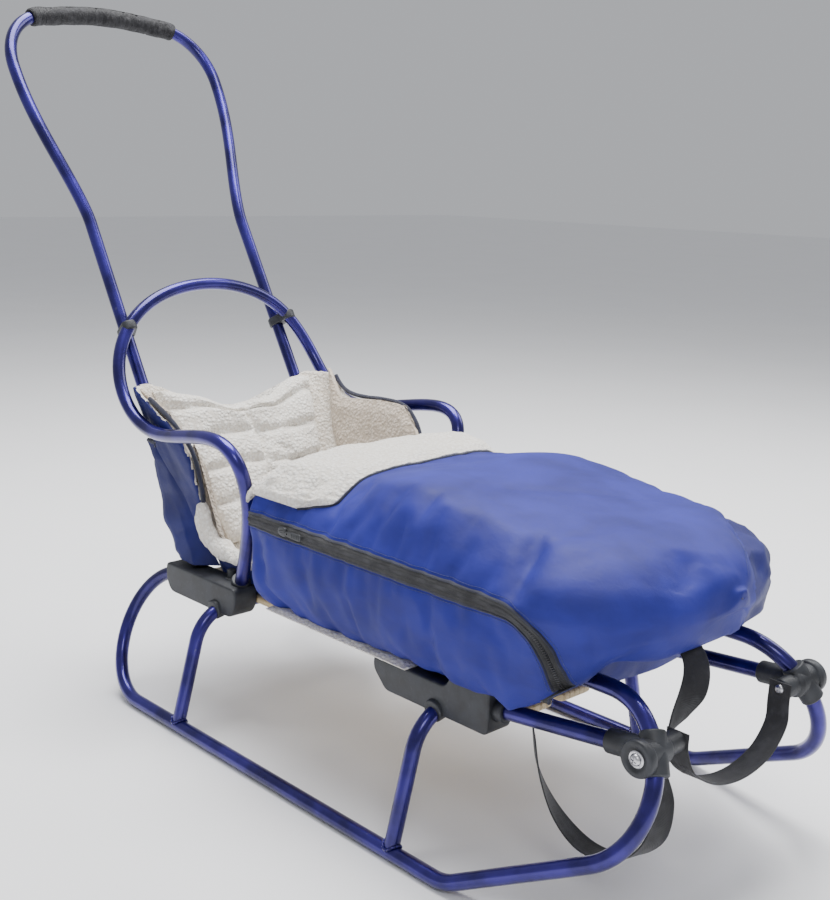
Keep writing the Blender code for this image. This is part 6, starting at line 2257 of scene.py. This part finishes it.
@dataclass
class SeatEnd:
    """The footmuff's seat end: a nylon shell with wings, lined and cushioned with quilted fleece."""

    wall: float = 0.008
    floor: float = 0.1691
    floor_half: float = 0.1140
    flare: float = 0.215
    front: float = 0.1042
    corner: float = 0.030
    top: float = 0.405
    back_thickness: float = 0.024
    pitch: float = 0.050
    pocket_to_legs: float = 0.0018
    pocket_lap: float = 0.027
    pocket_corner: float = 0.016
    pocket_low: float = 0.190
    pocket_tops: tuple[float, ...] = (0.341, 0.341, 0.341, 0.338, 0.325, 0.308, 0.297, 0.290, 0.290)
    pocket_rear: tuple[tuple[float, float], ...] = (
        (0.170, -0.085), (0.200, -0.112), (0.232, -0.138), (0.262, -0.149), (0.290, -0.154), (0.342, -0.147),
    )
    near_cut: tuple[tuple[float, float], ...] = (
        (-0.175, 0.420), (-0.150, 0.405), (-0.100, 0.385), (-0.060, 0.355), (-0.047, 0.330), (-0.048, 0.270),
        (-0.068, 0.244), (-0.060, 0.220), (-0.035, 0.207), (0.035, 0.207), (0.075, 0.222), (0.092, 0.255),
        (0.098, 0.294),
    )
    far_cut: tuple[tuple[float, float], ...] = (
        (-0.175, 0.420), (-0.150, 0.405), (-0.119, 0.372), (-0.036, 0.380), (0.015, 0.380), (0.046, 0.352),
        (0.070, 0.310),
        (0.085, 0.294), (0.104, 0.294),
    )
    back_top: tuple[tuple[float, float], ...] = (
        (-0.19, 0.405), (-0.13, 0.405), (-0.06, 0.382), (0.0, 0.373), (0.06, 0.382), (0.13, 0.405),
        (0.19, 0.405),
    )

    def half_width(self, height: float) -> float:
        """How far out the shell's sides stand at a height."""
        return self.floor_half + self.flare * (height - self.floor)

    def back(self, height: float) -> float:
        """How far behind the rear bow the shell's outer back is at a height."""
        return PLAN.handle_back(height) - (PLAN.tube + 0.0015) * LEG_SLANT

    def plan_line(self, height: float, inset: float, front: float) -> Ring:
        """The shell's line at a height, from the near front round the back to the far front."""
        half = self.half_width(height) - inset
        rear = -self.back(height) + inset * LEG_SLANT
        corner = self.corner - inset
        left = [at(-half, front, height)]
        for step in range(9):
            angle = math.pi / 2 * step / 8
            left.append(
                at(-half + corner * (1 - math.cos(angle)), rear + corner * (1 - math.sin(angle)), height)
            )
        return left + mirrored(left)[::-1]

    def tub_shape(self, name: str, inset: float, low: float, high: float, front: float) -> bpy.types.Object:
        """The shell's outer or inner shape between two heights."""
        rings = [self.plan_line(lerp(low, high, step / 8), inset, front) for step in range(9)]
        return loft(name, rings, smooth=False)

    def side_cutter(self, outline: Sequence[tuple[float, float]], sign: float) -> bpy.types.Object:
        """What is cut away above a side's edge."""
        line = flat_line(outline)
        eased = [(place.x, place.y) for place in spline_near(line, 4)]
        eased += [(0.135, outline[-1][1]), (0.135, 0.460), (-0.230, 0.460), (-0.230, outline[0][1] + 0.02)]
        rings = [[at(sign * x, *point) for point in eased] for x in (self.floor_half / 2, 0.250)]
        return loft("side_cutter", rings, smooth=False)

    def shell(self) -> bpy.types.Object:
        """The padded nylon shell with its cut-outs, puffed and wrinkled."""
        shell = self.tub_shape("seat_shell", 0.0006, self.floor, self.top + 0.010, self.front)
        low, high = self.floor + self.wall, self.top + 0.03
        cut(shell, self.tub_shape("shell_room", self.wall, low, high, self.front + 0.02))
        cut(shell, self.side_cutter(self.near_cut, -1.0))
        cut(shell, self.side_cutter(self.far_cut, 1.0))
        rings = []
        for forward in (-0.300, -0.075):
            rings.append(
                [at(x, forward, height) for x, height in (*self.back_top, (0.25, 0.450), (-0.25, 0.450))]
            )
        cut(shell, loft("top_cutter", rings, smooth=False))
        even = shell.modifiers.new("even", "REMESH")
        even.mode = "VOXEL"
        even.voxel_size = 0.0042
        settled(shell)
        for polygon in shell.data.polygons:
            polygon.material_index = 1 if self.depth(polygon.center) > self.wall * 0.52 else 0
        Padding(pressure=4.0, cap=0.005, growth=-0.035, bending=0.4).puff(shell, self.shell_held)
        for vertex in shell.data.vertices:
            vertex.co = self.wrinkled(vertex.co)
        shell.data.update()
        return shell

    def depth(self, place: Vector) -> float:
        """How deep a place is inside the shell's outer face."""
        forward = forward_of(place)
        side = self.half_width(place.z) - abs(place.x)
        rear = (forward + self.back(place.z)) / LEG_SLANT
        corner = self.corner
        if side < corner and rear < corner:
            wall = corner - math.hypot(corner - side, corner - rear)
        else:
            wall = min(side, rear)
        return min(wall, place.z - self.floor)

    def shell_held(self, place: Vector) -> float:
        """How firmly the shell is held: where it rests and at its front ends."""
        forward = forward_of(place)
        if place.z < self.floor + 0.012 or forward > self.front - 0.008:
            return 1.0
        return 0.0

    def wrinkled(self, place: Vector) -> Vector:
        """A shell place with the slack fabric's upright wrinkles."""
        depth = self.depth(place)
        forward = forward_of(place)
        outward = Vector((math.copysign(1.0, place.x), 0.0, 0.0))
        if forward < -self.back(place.z) + self.corner and abs(place.x) < self.half_width(
            place.z
        ) - self.corner * 0.6:
            outward = Vector((0.0, 0.8, -0.3))
        slack = smoothstep(place.z, self.floor + 0.010, self.floor + 0.050) * smoothstep(
            self.front - forward, 0.004, 0.02
        )
        fold = ripple(forward * 30.0 + place.z * 12.0, place.z * 10.0 - forward * 6.0, place.x * 9.0 + 3.0)
        fine = ripple(forward * 75.0 + place.z * 30.0, place.z * 30.0, place.x * 30.0 + 9.0)
        shift = min(0.0022, fold * 0.0046 + fine * 0.0014) * slack
        if depth > self.wall * 0.5:
            curl = noise.noise(place * 210.0) * 0.0010
            return place + outward * (shift * 0.6 + curl + max(0.0, depth - self.wall - 0.0003))
        return place + outward * shift

    def edge_line(self, side: Side) -> Ring:
        """A side's cut edge on the middle of the shell's wall."""
        outline = self.near_cut if side is Side.LEFT else self.far_cut
        line = spline_near(flat_line(outline), 6)
        line = [
            place for place in line if place.y < 0.399 and -self.back(place.y) < place.x < self.front - 0.003
        ]
        edge = []
        for place in line:
            out = self.half_width(place.y) - self.wall * 0.35
            edge.append(at(side.value * out, place.x, place.y + 0.0005))
        return resampled(edge, round(line_length(edge) / 0.004))

    def piping(self, side: Side) -> bpy.types.Object:
        """The rolled binding along a side's edge."""
        line = self.edge_line(side)
        radii = [
            0.0030 * (1.0 + 0.16 * ripple(index * 0.21, side.value * 3.0, 1.0)) for index in range(len(line))
        ]
        return loft(f"edge_binding_{side.word}", sweep_rings(line, radii, 10))

    def pad(
        self,
        name: str,
        length: float,
        halves: tuple[float, float],
        thickness: float,
        place: Callable[[float, float, float], Vector],
        sewn: Callable[[float, float], float],
        rough: float,
    ) -> bpy.types.Object:
        """A closed quilted pad.

        Args:
            name: The pad's name.
            length: Its length.
            halves: Its half width at its start and end.
            thickness: Its thickness.
            place: Turns (across, along, rise) into a place.
            sewn: How deeply a place (across, along) is sewn down, from 0 to 1.
            rough: The fleece's raised curls.

        Returns:
            The pad.
        """
        rows, columns = max(12, round(length / 0.0046)), round(2 * halves[1] / 0.0046)
        front, back = [], []
        for row in range(rows + 1):
            along = length * row / rows
            half = lerp(halves[0], halves[1], along / length)
            front_row, back_row = [], []
            for column in range(columns + 1):
                share = -1.0 + 2.0 * column / columns
                ends = (1.0 - abs(2 * along / length - 1) ** 8) ** 0.5
                sides = (1.0 - abs(share) ** 8) ** 0.5
                edge = min(ends, sides)
                rumple = ripple(share * 2.6, along * 17.0, 4.4) * 0.0042
                rumple += ripple(share * 6.5, along * 42.0, 1.4) * 0.0020
                rise = thickness * (0.30 + 0.70 * edge) + rumple * edge
                rise -= (thickness * 0.42) * sewn(half * share, along) * edge
                curl = ripple(half * share * 230.0, along * 230.0, rise * 60.0) * rough
                front_row.append(place(half * share, along, rise + curl))
                back_row.append(place(half * share * (0.985 + 0.015 * edge), along, 0.0))
            front.append(front_row)
            back.append(back_row)
        return slab(name, front, back)

    @staticmethod
    def channel(distance: float, width: float) -> float:
        """A sewn channel's depth by the distance from its line."""
        return max(0.0, 1.0 - abs(distance) / width) ** 1.6

    def back_pad(self) -> bpy.types.Object:
        """The quilted fleece that lines the back."""
        forward_up = Vector((0.0, -LEG_DIRECTION.z, LEG_DIRECTION.y))
        foot_height = self.floor + self.wall + 0.0243
        foot = at(0.0, -self.back(foot_height) + self.wall * LEG_SLANT, foot_height)
        length = (0.409 - foot_height) / LEG_DIRECTION.z - 0.003 - 0.026 * LEG_DIRECTION.y

        def place(x: float, along: float, rise: float) -> Vector:
            top = smoothstep(along, length - 0.06, length)
            middle = 1.0 - smoothstep(abs(x), 0.02, 0.11)
            sag = -0.030 * top * middle
            lump = ripple(x * 26.0, 3.0, 9.0) * 0.005 * top
            up = LEG_DIRECTION * (along + 0.003 + sag + lump)
            return foot + Vector((x, 0.0, 0.0)) + up + forward_up * (rise + 0.0003)

        def sewn(x: float, along: float) -> float:
            wave = 0.004 * math.sin(x * 34.0)
            nearest = along + wave - self.pitch * max(1, round((along + wave) / self.pitch))
            across = self.channel(nearest, 0.011)
            upright = self.channel(x - 0.002 * math.sin(along * 60.0), 0.010)
            return max(across * 0.9, upright)

        return self.pad("back_lining", length, (0.089, 0.130), self.back_thickness, place, sewn, 0.0011)

    def seat_pad(self) -> bpy.types.Object:
        """The quilted fleece on the seat."""
        floor = self.floor + self.wall
        rear = -self.back(floor)
        length = 0.1045 - rear

        def place(x: float, along: float, rise: float) -> Vector:
            return at(x, rear + 0.0105 + along * (length - 0.0112) / length, floor + 0.0004 + rise)

        def sewn(x: float, along: float) -> float:
            nearest = along - self.pitch * max(1, round(along / self.pitch))
            return max(self.channel(nearest, 0.010) * 0.9, self.channel(x, 0.010))

        return self.pad("seat_lining", length, (0.103, 0.103), 0.0205, place, sewn, 0.0010)

    def wing_lining(self, side: Side) -> bpy.types.Object:
        """The thick fleece inside a wing, with a sewn line, rolled over the shell's edge.

        Args:
            side: The side of the sled.

        Returns:
            The lining.
        """
        near = side is Side.LEFT
        rows, columns = 44, 40
        outer, inner = [], []
        low = self.floor + self.wall + 0.016
        for row in range(rows + 1):
            outer_row, inner_row = [], []
            for column in range(columns + 1):
                share = column / columns
                up = row / rows
                z_guess = lerp(low, 0.400, up)
                start = -self.back(z_guess) + self.wall * LEG_SLANT + 0.024
                end = (self.front - 0.004) if z_guess < 0.30 else (0.052 if not near else 0.030)
                forward = lerp(start, end, share)
                limit = self.edge_height(forward, near) - 0.0015
                height = min(lerp(low, max(low + 0.006, limit), up), limit)
                edge = min(1.0, 8.0 * min(share, 1.0 - share) + 0.25, 9.0 * (1.0 - up) + 0.35, 6.0 * up + 0.4)
                rumple = ripple(forward * 34.0, height * 30.0, side.value * 4.0) * 0.0022
                curl = ripple(forward * 230.0, height * 230.0, side.value * 7.0) * 0.0010
                seam = self.channel(forward + (0.022 if near else 0.040), 0.006) * 0.0028
                thick = 0.0078 * edge + rumple - seam + curl
                wall = self.half_width(height) - self.wall + 0.0022
                outer_row.append(at(side.value * wall, forward, height))
                inner_row.append(at(side.value * (wall - 0.0022 - max(0.0012, thick)), forward, height))
            outer.append(outer_row)
            inner.append(inner_row)
        return slab(f"wing_lining_{side.word}", outer, inner)

    def edge_height(self, forward: float, near: bool) -> float:
        """The height of a side's cut edge at a place along the sled."""
        outline = self.near_cut if near else self.far_cut
        if near:
            outline = tuple((s, z) for s, z in outline if z != 0.270 and z != 0.244)
        places = sorted((s, z) for s, z in outline)
        return float(np.interp(forward, [s for s, _ in places], [z for _, z in places]))

    def pocket_path(self, height: float, out: float) -> list[tuple[float, float]]:
        """The pocket's line round the back at a height, or a line that far outside it."""
        half = self.half_width(height) + 0.0003 + out
        wide = max(half, PLAN.handle_half + PLAN.tube + self.pocket_to_legs + out)
        rear = -out
        for (low, first), (high, second) in zip(self.pocket_rear, self.pocket_rear[1:]):
            if low <= height <= high:
                rear = lerp(first, second, (height - low) / (high - low)) - out
                break
        edge = self.pocket_lap - self.back(height)
        corner = self.pocket_corner + out
        left = [(-half, edge), (-(half + wide) / 2, edge - 0.012), (-wide, edge - 0.024)]
        for step in range(5):
            angle = math.pi / 2 * step / 4
            left.append((-wide + corner * (1 - math.cos(angle)), rear + corner * (1 - math.sin(angle))))
        left.append((-PLAN.handle_half / 2, rear))
        return left + [(0.0, rear)] + [(-x, forward) for x, forward in left[::-1]]

    def pocket_place(self, along: float, up: float, out: float) -> Vector:
        """A place on the pocket.

        Args:
            along: How far round it, counted in places of its path.
            up: The share of its height.
            out: How far outside its inner face.

        Returns:
            The place.
        """
        tops = [*self.pocket_tops, self.pocket_tops[-1], *self.pocket_tops[::-1]]
        index = min(len(tops) - 2, int(along))
        ends = []
        for place in (index, index + 1):
            height = lerp(self.pocket_low, tops[place], up)
            ends.append(at(*self.pocket_path(height, out)[place], height))
        return ends[0].lerp(ends[1], along - index)

    def pocket(self) -> bpy.types.Object:
        """The cloth pocket round the handle's legs, slack and creased aslant."""
        last = len(self.pocket_path(0.25, 0.0)) - 1
        rings = []
        for column in range(last * 8 + 1):
            along = column / 8
            outer, inner = [], []
            for row in range(33):
                up = row / 32
                place = self.pocket_place(
                    along, up, lerp(0.0010, 0.0031, smoothstep(min(along, last - along), 0.0, 1.0))
                )
                inside = self.pocket_place(along, up, 0.0004)
                slack = smoothstep(min(along, last - along), 0.0, 1.6) * smoothstep(1.0 - up, 0.0, 0.14)
                slant = ripple(place.y * 24.0 + place.z * 30.0, place.z * 9.0 - place.y * 7.0, place.x * 14.0)
                small = ripple(place.y * 70.0 + place.z * 66.0, place.z * 20.0, place.x * 40.0 + 5.0)
                swell = slack * max(0.0, 0.0016 + slant * 0.0058 + small * 0.0014)
                outer.append(place + (place - inside).normalized() * swell)
                inner.append(inside)
            rings.append(outer + inner[::-1])
        return loft("handle_pocket_cloth", rings)

    def pocket_hem(self) -> bpy.types.Object:
        """The bound upper edge of the pocket."""
        last = len(self.pocket_path(0.25, 0.0)) - 1
        line = resampled([self.pocket_place(step * last / 120, 1.0, 0.0017) for step in range(121)], 130)
        radii = [0.0024 + 0.0004 * ripple(index * 0.3, 2.0, 7.0) for index in range(len(line))]
        return loft("pocket_hem", sweep_rings(line, radii, 10))

    def fleece_roll(self) -> bpy.types.Object:
        """The fat fold of fleece that lies over the near side's low edge."""
        low_edge = (
            (-0.052, 0.276), (-0.057, 0.256), (-0.056, 0.238), (-0.046, 0.222), (-0.028, 0.213),
            (0.000, 0.209),
            (0.030, 0.209), (0.058, 0.214),
        )
        line = spline_near(
            [at(-self.half_width(height) + 0.003, forward, height) for forward, height in low_edge], 5
        )
        line = resampled(line, 46)
        radii = []
        for index in range(len(line)):
            share = index / (len(line) - 1)
            ends = (1.0 - abs(2.0 * share - 1.0) ** 4) ** 0.5
            fat = lerp(0.0145, 0.0085, smoothstep(share, 0.30, 0.75))
            radii.append(max(0.0012, fat * ends * (1.0 + 0.22 * ripple(share * 9.0, 4.0, 2.0))))
        roll = loft("fleece_roll", sweep_rings(line, radii, 26))
        for vertex in roll.data.vertices:
            curl = noise.noise(vertex.co * 95.0) * 0.0022 + noise.noise(vertex.co * 230.0) * 0.0010
            vertex.co += vertex.normal * curl
        return roll

    def build(self, finishes: dict[str, bpy.types.Material]) -> None:
        """Makes the shell, its bindings and its linings.

        Args:
            finishes: The materials by name.
        """
        shell = dress(
            self.shell(), [finishes["nylon_dark"], finishes["lining"]], Body.FRAME, Slot.NYLON,
            ["footmuff_seat_shell"],
        )
        pocket = dress(self.pocket(), [finishes["nylon_dark"]], Body.FRAME, Slot.NYLON, ["handle_pocket"])
        hem = dress(self.pocket_hem(), [finishes["binding"]], Body.FRAME, Slot.NYLON)
        dress(self.fleece_roll(), [finishes["fleece"]], Body.FRAME, Slot.FLEECE)
        for side in Side:
            dress(self.piping(side), [finishes["binding"]], Body.FRAME, Slot.NYLON)
            # The wings' linings take the darker copy of the fleece, which is painted shade.
            lining = dress(self.wing_lining(side), [finishes["shaded_fleece"]], Body.FRAME, Slot.FLEECE)
        for pad, node in ((self.back_pad(), "back_cushion"), (self.seat_pad(), "seat_cushion")):
            Padding(pressure=3.0, cap=0.0035, growth=-0.01, bending=0.8).puff(pad, lambda place: 0.0, 0)
            dress(pad, [finishes["fleece"]], Body.FRAME, Slot.FLEECE, [node])


@dataclass
class Cuff:
    """The fleece cuff folded over the cover's rear edge, from the zip to its rounded far tip."""

    foot: FootEnd
    thickness: float = 0.012
    length: float = 0.108
    crown_half: float = 0.178
    crown_rise: float = 0.057
    roundness: float = 0.62
    columns: int = 110
    rows: int = 34

    def extent(self, share: float) -> tuple[float, float]:
        """The cuff's rear and front places at a share of the way over, from the near side.

        Args:
            share: From 0 at the zip to 1 at the far tip.

        Returns:
            The rear and the front, as distances forward.
        """
        tip = math.sqrt(max(0.0, 1.0 - smoothstep(share, 0.80, 1.02) ** 1.5))
        near = smoothstep(share, -0.03, 0.10)
        fuller = 1.0 + 0.15 * between(share, 0.02, 0.14, 0.45, 0.75)
        length = self.length * lerp(0.66, 1.0, near) * (0.30 + 0.70 * tip) * fuller
        rear = self.foot.rear - 0.001 + (self.length * 0.30) * (1.0 - tip)
        return rear, rear + length

    def build(self, finishes: dict[str, bpy.types.Material]) -> None:
        """Makes the cuff and its piped edge, and the mat in the tub.

        Args:
            finishes: The materials by name.
        """
        outer, inner, edge = [], [], []
        for column in range(self.columns + 1):
            share = column / self.columns
            angle = math.radians(lerp(171.0, 16.0, share))
            across = swollen(math.cos(angle), self.roundness) * self.crown_half
            spoke = Vector((across, 0.0, abs(math.sin(angle)) ** self.roundness * self.crown_rise))
            rear, front = self.extent(share)
            outer_row, inner_row = [], []
            for row in range(self.rows + 1):
                along = row / self.rows
                forward = lerp(rear, front, along)
                origin = at(spoke.x * 1.6, forward, self.foot.zip_height + spoke.z * 1.6 + 0.04)
                goal = at(spoke.x * 0.55, forward, self.foot.zip_height + spoke.z * 0.55 - 0.01)
                hit = self.foot.skin_at(origin, goal - origin)
                base = hit[0] if hit else at(spoke.x, forward, self.foot.zip_height + spoke.z)
                normal = Vector((spoke.x * 0.35, 0.0, spoke.z + 0.02)).normalized()
                ends = min(1.0, 7.0 * along + 0.30, 7.0 * (1.0 - along) + 0.16)
                ends *= min(1.0, 14.0 * share + 0.35, 14.0 * (1.0 - share) + 0.2)
                drape = ripple(share * 6.0, along * 2.4, 2.0) * 0.0030
                lumps = ripple(share * 20.0, along * 8.0, 5.0) * 0.0016
                curl = noise.noise(base * 240.0) * 0.0011
                arch = 0.55 + 0.45 * math.sin(math.pi * min(1.0, 0.15 + along * 0.80))
                swell = self.thickness * arch * math.sqrt(min(1.0, ends))
                outer_row.append(base + normal * (max(0.0014, swell + (drape + lumps) * ends + curl)))
                inner_row.append(base - normal * 0.0006)
            outer.append(outer_row)
            inner.append(inner_row)
            edge.append(inner_row[-1].lerp(outer_row[-1], 0.25))
        cuff = slab("sherpa_cuff", outer, inner)
        dress(cuff, [finishes["fleece"]], Body.COVER, Slot.FLEECE, ["fleece_cuff"])
        line = resampled(edge, round(line_length(edge) / 0.004))
        radii = [0.0019 * (1.0 + 0.2 * ripple(index * 0.2, 4.0, 4.0)) for index in range(len(line))]
        dress(
            loft("cuff_binding", sweep_rings(line, radii, 10)), [finishes["binding"]], Body.COVER, Slot.NYLON
        )
        self.mat(finishes["fleece"])

    def mat(self, fleece: bpy.types.Material) -> None:
        """The fleece mat in the bottom of the tub."""
        rows, columns = 46, 54
        rings = []
        floor = self.foot.floor + 0.0113
        for row in range(rows + 1):
            forward = lerp(0.1135, 0.3545, row / rows)
            top, base = [], []
            for column in range(columns + 1):
                share = -1.0 + 2.0 * column / columns
                x = share * 0.158
                edge = min((1.0 - abs(share) ** 8) ** 0.5, (1.0 - abs(2 * row / rows - 1) ** 10) ** 0.5)
                sewn = SeatEnd.channel(
                    forward - 0.1135 - 0.06 * max(1, round((forward - 0.1135) / 0.06)), 0.010
                )
                curl = ripple(x * 220.0, forward * 220.0, 1.0) * 0.0010
                rise = 0.0085 * (0.25 + 0.75 * edge) - 0.0035 * sewn * edge + curl
                top.append(at(x, forward, floor + rise))
                base.append(at(x * 0.99, forward, floor))
            rings.append(top + base[::-1])
        mat = dress(loft("tub_mat", rings), [fleece], Body.FRAME, Slot.FLEECE, ["leg_mat"])


@dataclass
class Studio:
    """The camera at the photograph's angle, the pale floor and the soft lights."""

    place: tuple[float, float, float] = (-1.0085, -1.1833, 0.6921)
    azimuth: float = -43.53
    pitch: float = 12.458
    roll: float = 1.530
    lens: float = 50.39

    def camera(self) -> None:
        """Makes the camera."""
        a, e, r = (math.radians(value) for value in (self.azimuth, self.pitch, self.roll))
        back = Vector((math.sin(a) * math.cos(e), -math.cos(a) * math.cos(e), math.sin(e)))
        flat_right = Vector((math.cos(a), math.sin(a), 0.0))
        flat_up = back.cross(flat_right)
        right = math.cos(r) * flat_right + math.sin(r) * flat_up
        up = -math.sin(r) * flat_right + math.cos(r) * flat_up
        data = bpy.data.cameras.new("photo_camera")
        data.lens = self.lens
        data.sensor_width = 36.0
        data.sensor_fit = "AUTO"
        data.clip_start = 0.02
        data.clip_end = 60.0
        camera = bpy.data.objects.new("photo_camera", data)
        turn = Matrix((right, up, back)).transposed().to_4x4()
        camera.matrix_world = Matrix.Translation(Vector(self.place)) @ turn
        bpy.context.scene.collection.objects.link(camera)
        bpy.context.scene.camera = camera

    def light(
        self, name: str, place: tuple[float, float, float], goal: tuple[float, float, float], size: float,
        power: float,
    ) -> None:
        """A square soft light aimed at a place."""
        data = bpy.data.lights.new(name, "AREA")
        data.shape = "SQUARE"
        data.size = size
        data.energy = power
        lamp = bpy.data.objects.new(name, data)
        lamp.location = place
        lamp.rotation_euler = (Vector(goal) - Vector(place)).to_track_quat("-Z", "Y").to_euler()
        bpy.context.scene.collection.objects.link(lamp)

    def build(self, paper: bpy.types.Material) -> None:
        """Makes the floor, the world and the lights.

        Args:
            paper: The floor's finish.
        """
        half = 14.0
        corners = [Vector((x * half, y * half, -0.0006)) for x, y in ((-1, -1), (1, -1), (1, 1), (-1, 1))]
        floor = mesh_piece("studio_floor", corners, [(0, 1, 2, 3)], False)
        floor.data.materials.append(paper)
        world = bpy.data.worlds.new("studio_world")
        world.use_nodes = True
        background = world.node_tree.nodes["Background"]
        background.inputs["Color"].default_value = (0.93, 0.95, 1.0, 1.0)
        background.inputs["Strength"].default_value = 0.52
        bpy.context.scene.world = world
        self.light("sky_panel", (0.3, 0.3, 2.6), (0.0, 0.0, 0.25), 1.8, 135.0)
        self.light("key_panel", (-1.4, -1.9, 2.1), (0.0, -0.1, 0.3), 0.9, 17.0)
        self.light("far_panel", (1.9, -0.6, 1.8), (0.0, -0.1, 0.3), 1.2, 22.0)


def main() -> None:
    """Builds the scene: camera and straps first, then the frame, the fittings and the footmuff."""
    logging.basicConfig(level=logging.INFO, format="%(message)s")
    bpy.context.scene.frame_set(1)
    studio = Studio()
    studio.camera()
    paint = TubePaint().build()
    plastic = MouldedPlastic().build()
    steel = Metal().build()
    finishes = {
        "nylon": Nylon().build(),
        # Painted shade: a darker copy of the nylon for the toe cap.
        "shaded_toe_nylon": Nylon("shaded_toe_nylon", (0.006, 0.007, 0.080), (0.014, 0.017, 0.165)).build(),
        "nylon_dark": Nylon("nylon_shell", (0.006, 0.008, 0.075), (0.014, 0.018, 0.150), 0.0040).build(),
        "fleece": Sherpa().build(),
        "lining": Sherpa("lining_fleece", (0.84, 0.79, 0.71), (0.54, 0.46, 0.37)).build(),
        # Painted shade: a darker, browner copy of the cream fleece for the wings' linings, standing in for
        # the shade inside the wings.
        "shaded_fleece": Sherpa(
            "shaded_fleece", (0.66, 0.56, 0.455), (0.40, 0.32, 0.235), (0.50, 0.40, 0.30)
        ).build(),
        "binding": Woven("binding_tape", (0.010, 0.011, 0.026), (0.030, 0.034, 0.075), 0.0010).build(),
        "thread": Woven("thread", (0.030, 0.038, 0.160), (0.060, 0.075, 0.300), 0.0008).build(),
        "tape": Woven("zip_tape", (0.012, 0.012, 0.014), (0.050, 0.050, 0.056), 0.0009).build(),
        "coil": MouldedPlastic("zip_coil", (0.030, 0.030, 0.034), (0.090, 0.092, 0.10), 0.34).build(),
        "slider": MouldedPlastic("zip_metal", (0.020, 0.021, 0.024), (0.060, 0.064, 0.072), 0.30).build(),
        "cut": bpy.data.materials.new("cut_mark"),
    }
    Webbing().build(
        Woven("webbing").build(),
        Woven("strap_thread", (0.04, 0.04, 0.045), (0.10, 0.10, 0.11), 0.0008).build(), steel,
    )
    SteelTubes().build(paint)
    Slats().build(PaleWood().build(), steel)
    Connectors().build(plastic, steel)
    FrontClamps().build(plastic, steel)
    PushHandleFittings().build(plastic, GripFoam().build())
    foot = FootEnd()
    foot.build(finishes)
    ZipFastener(foot).build(finishes)
    Cuff(foot).build(finishes)
    SeatEnd().build(finishes)
    bpy.data.materials.remove(finishes["cut"])
    studio.build(FloorPaper().build())


if __name__ == "__main__":
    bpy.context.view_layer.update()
    main()
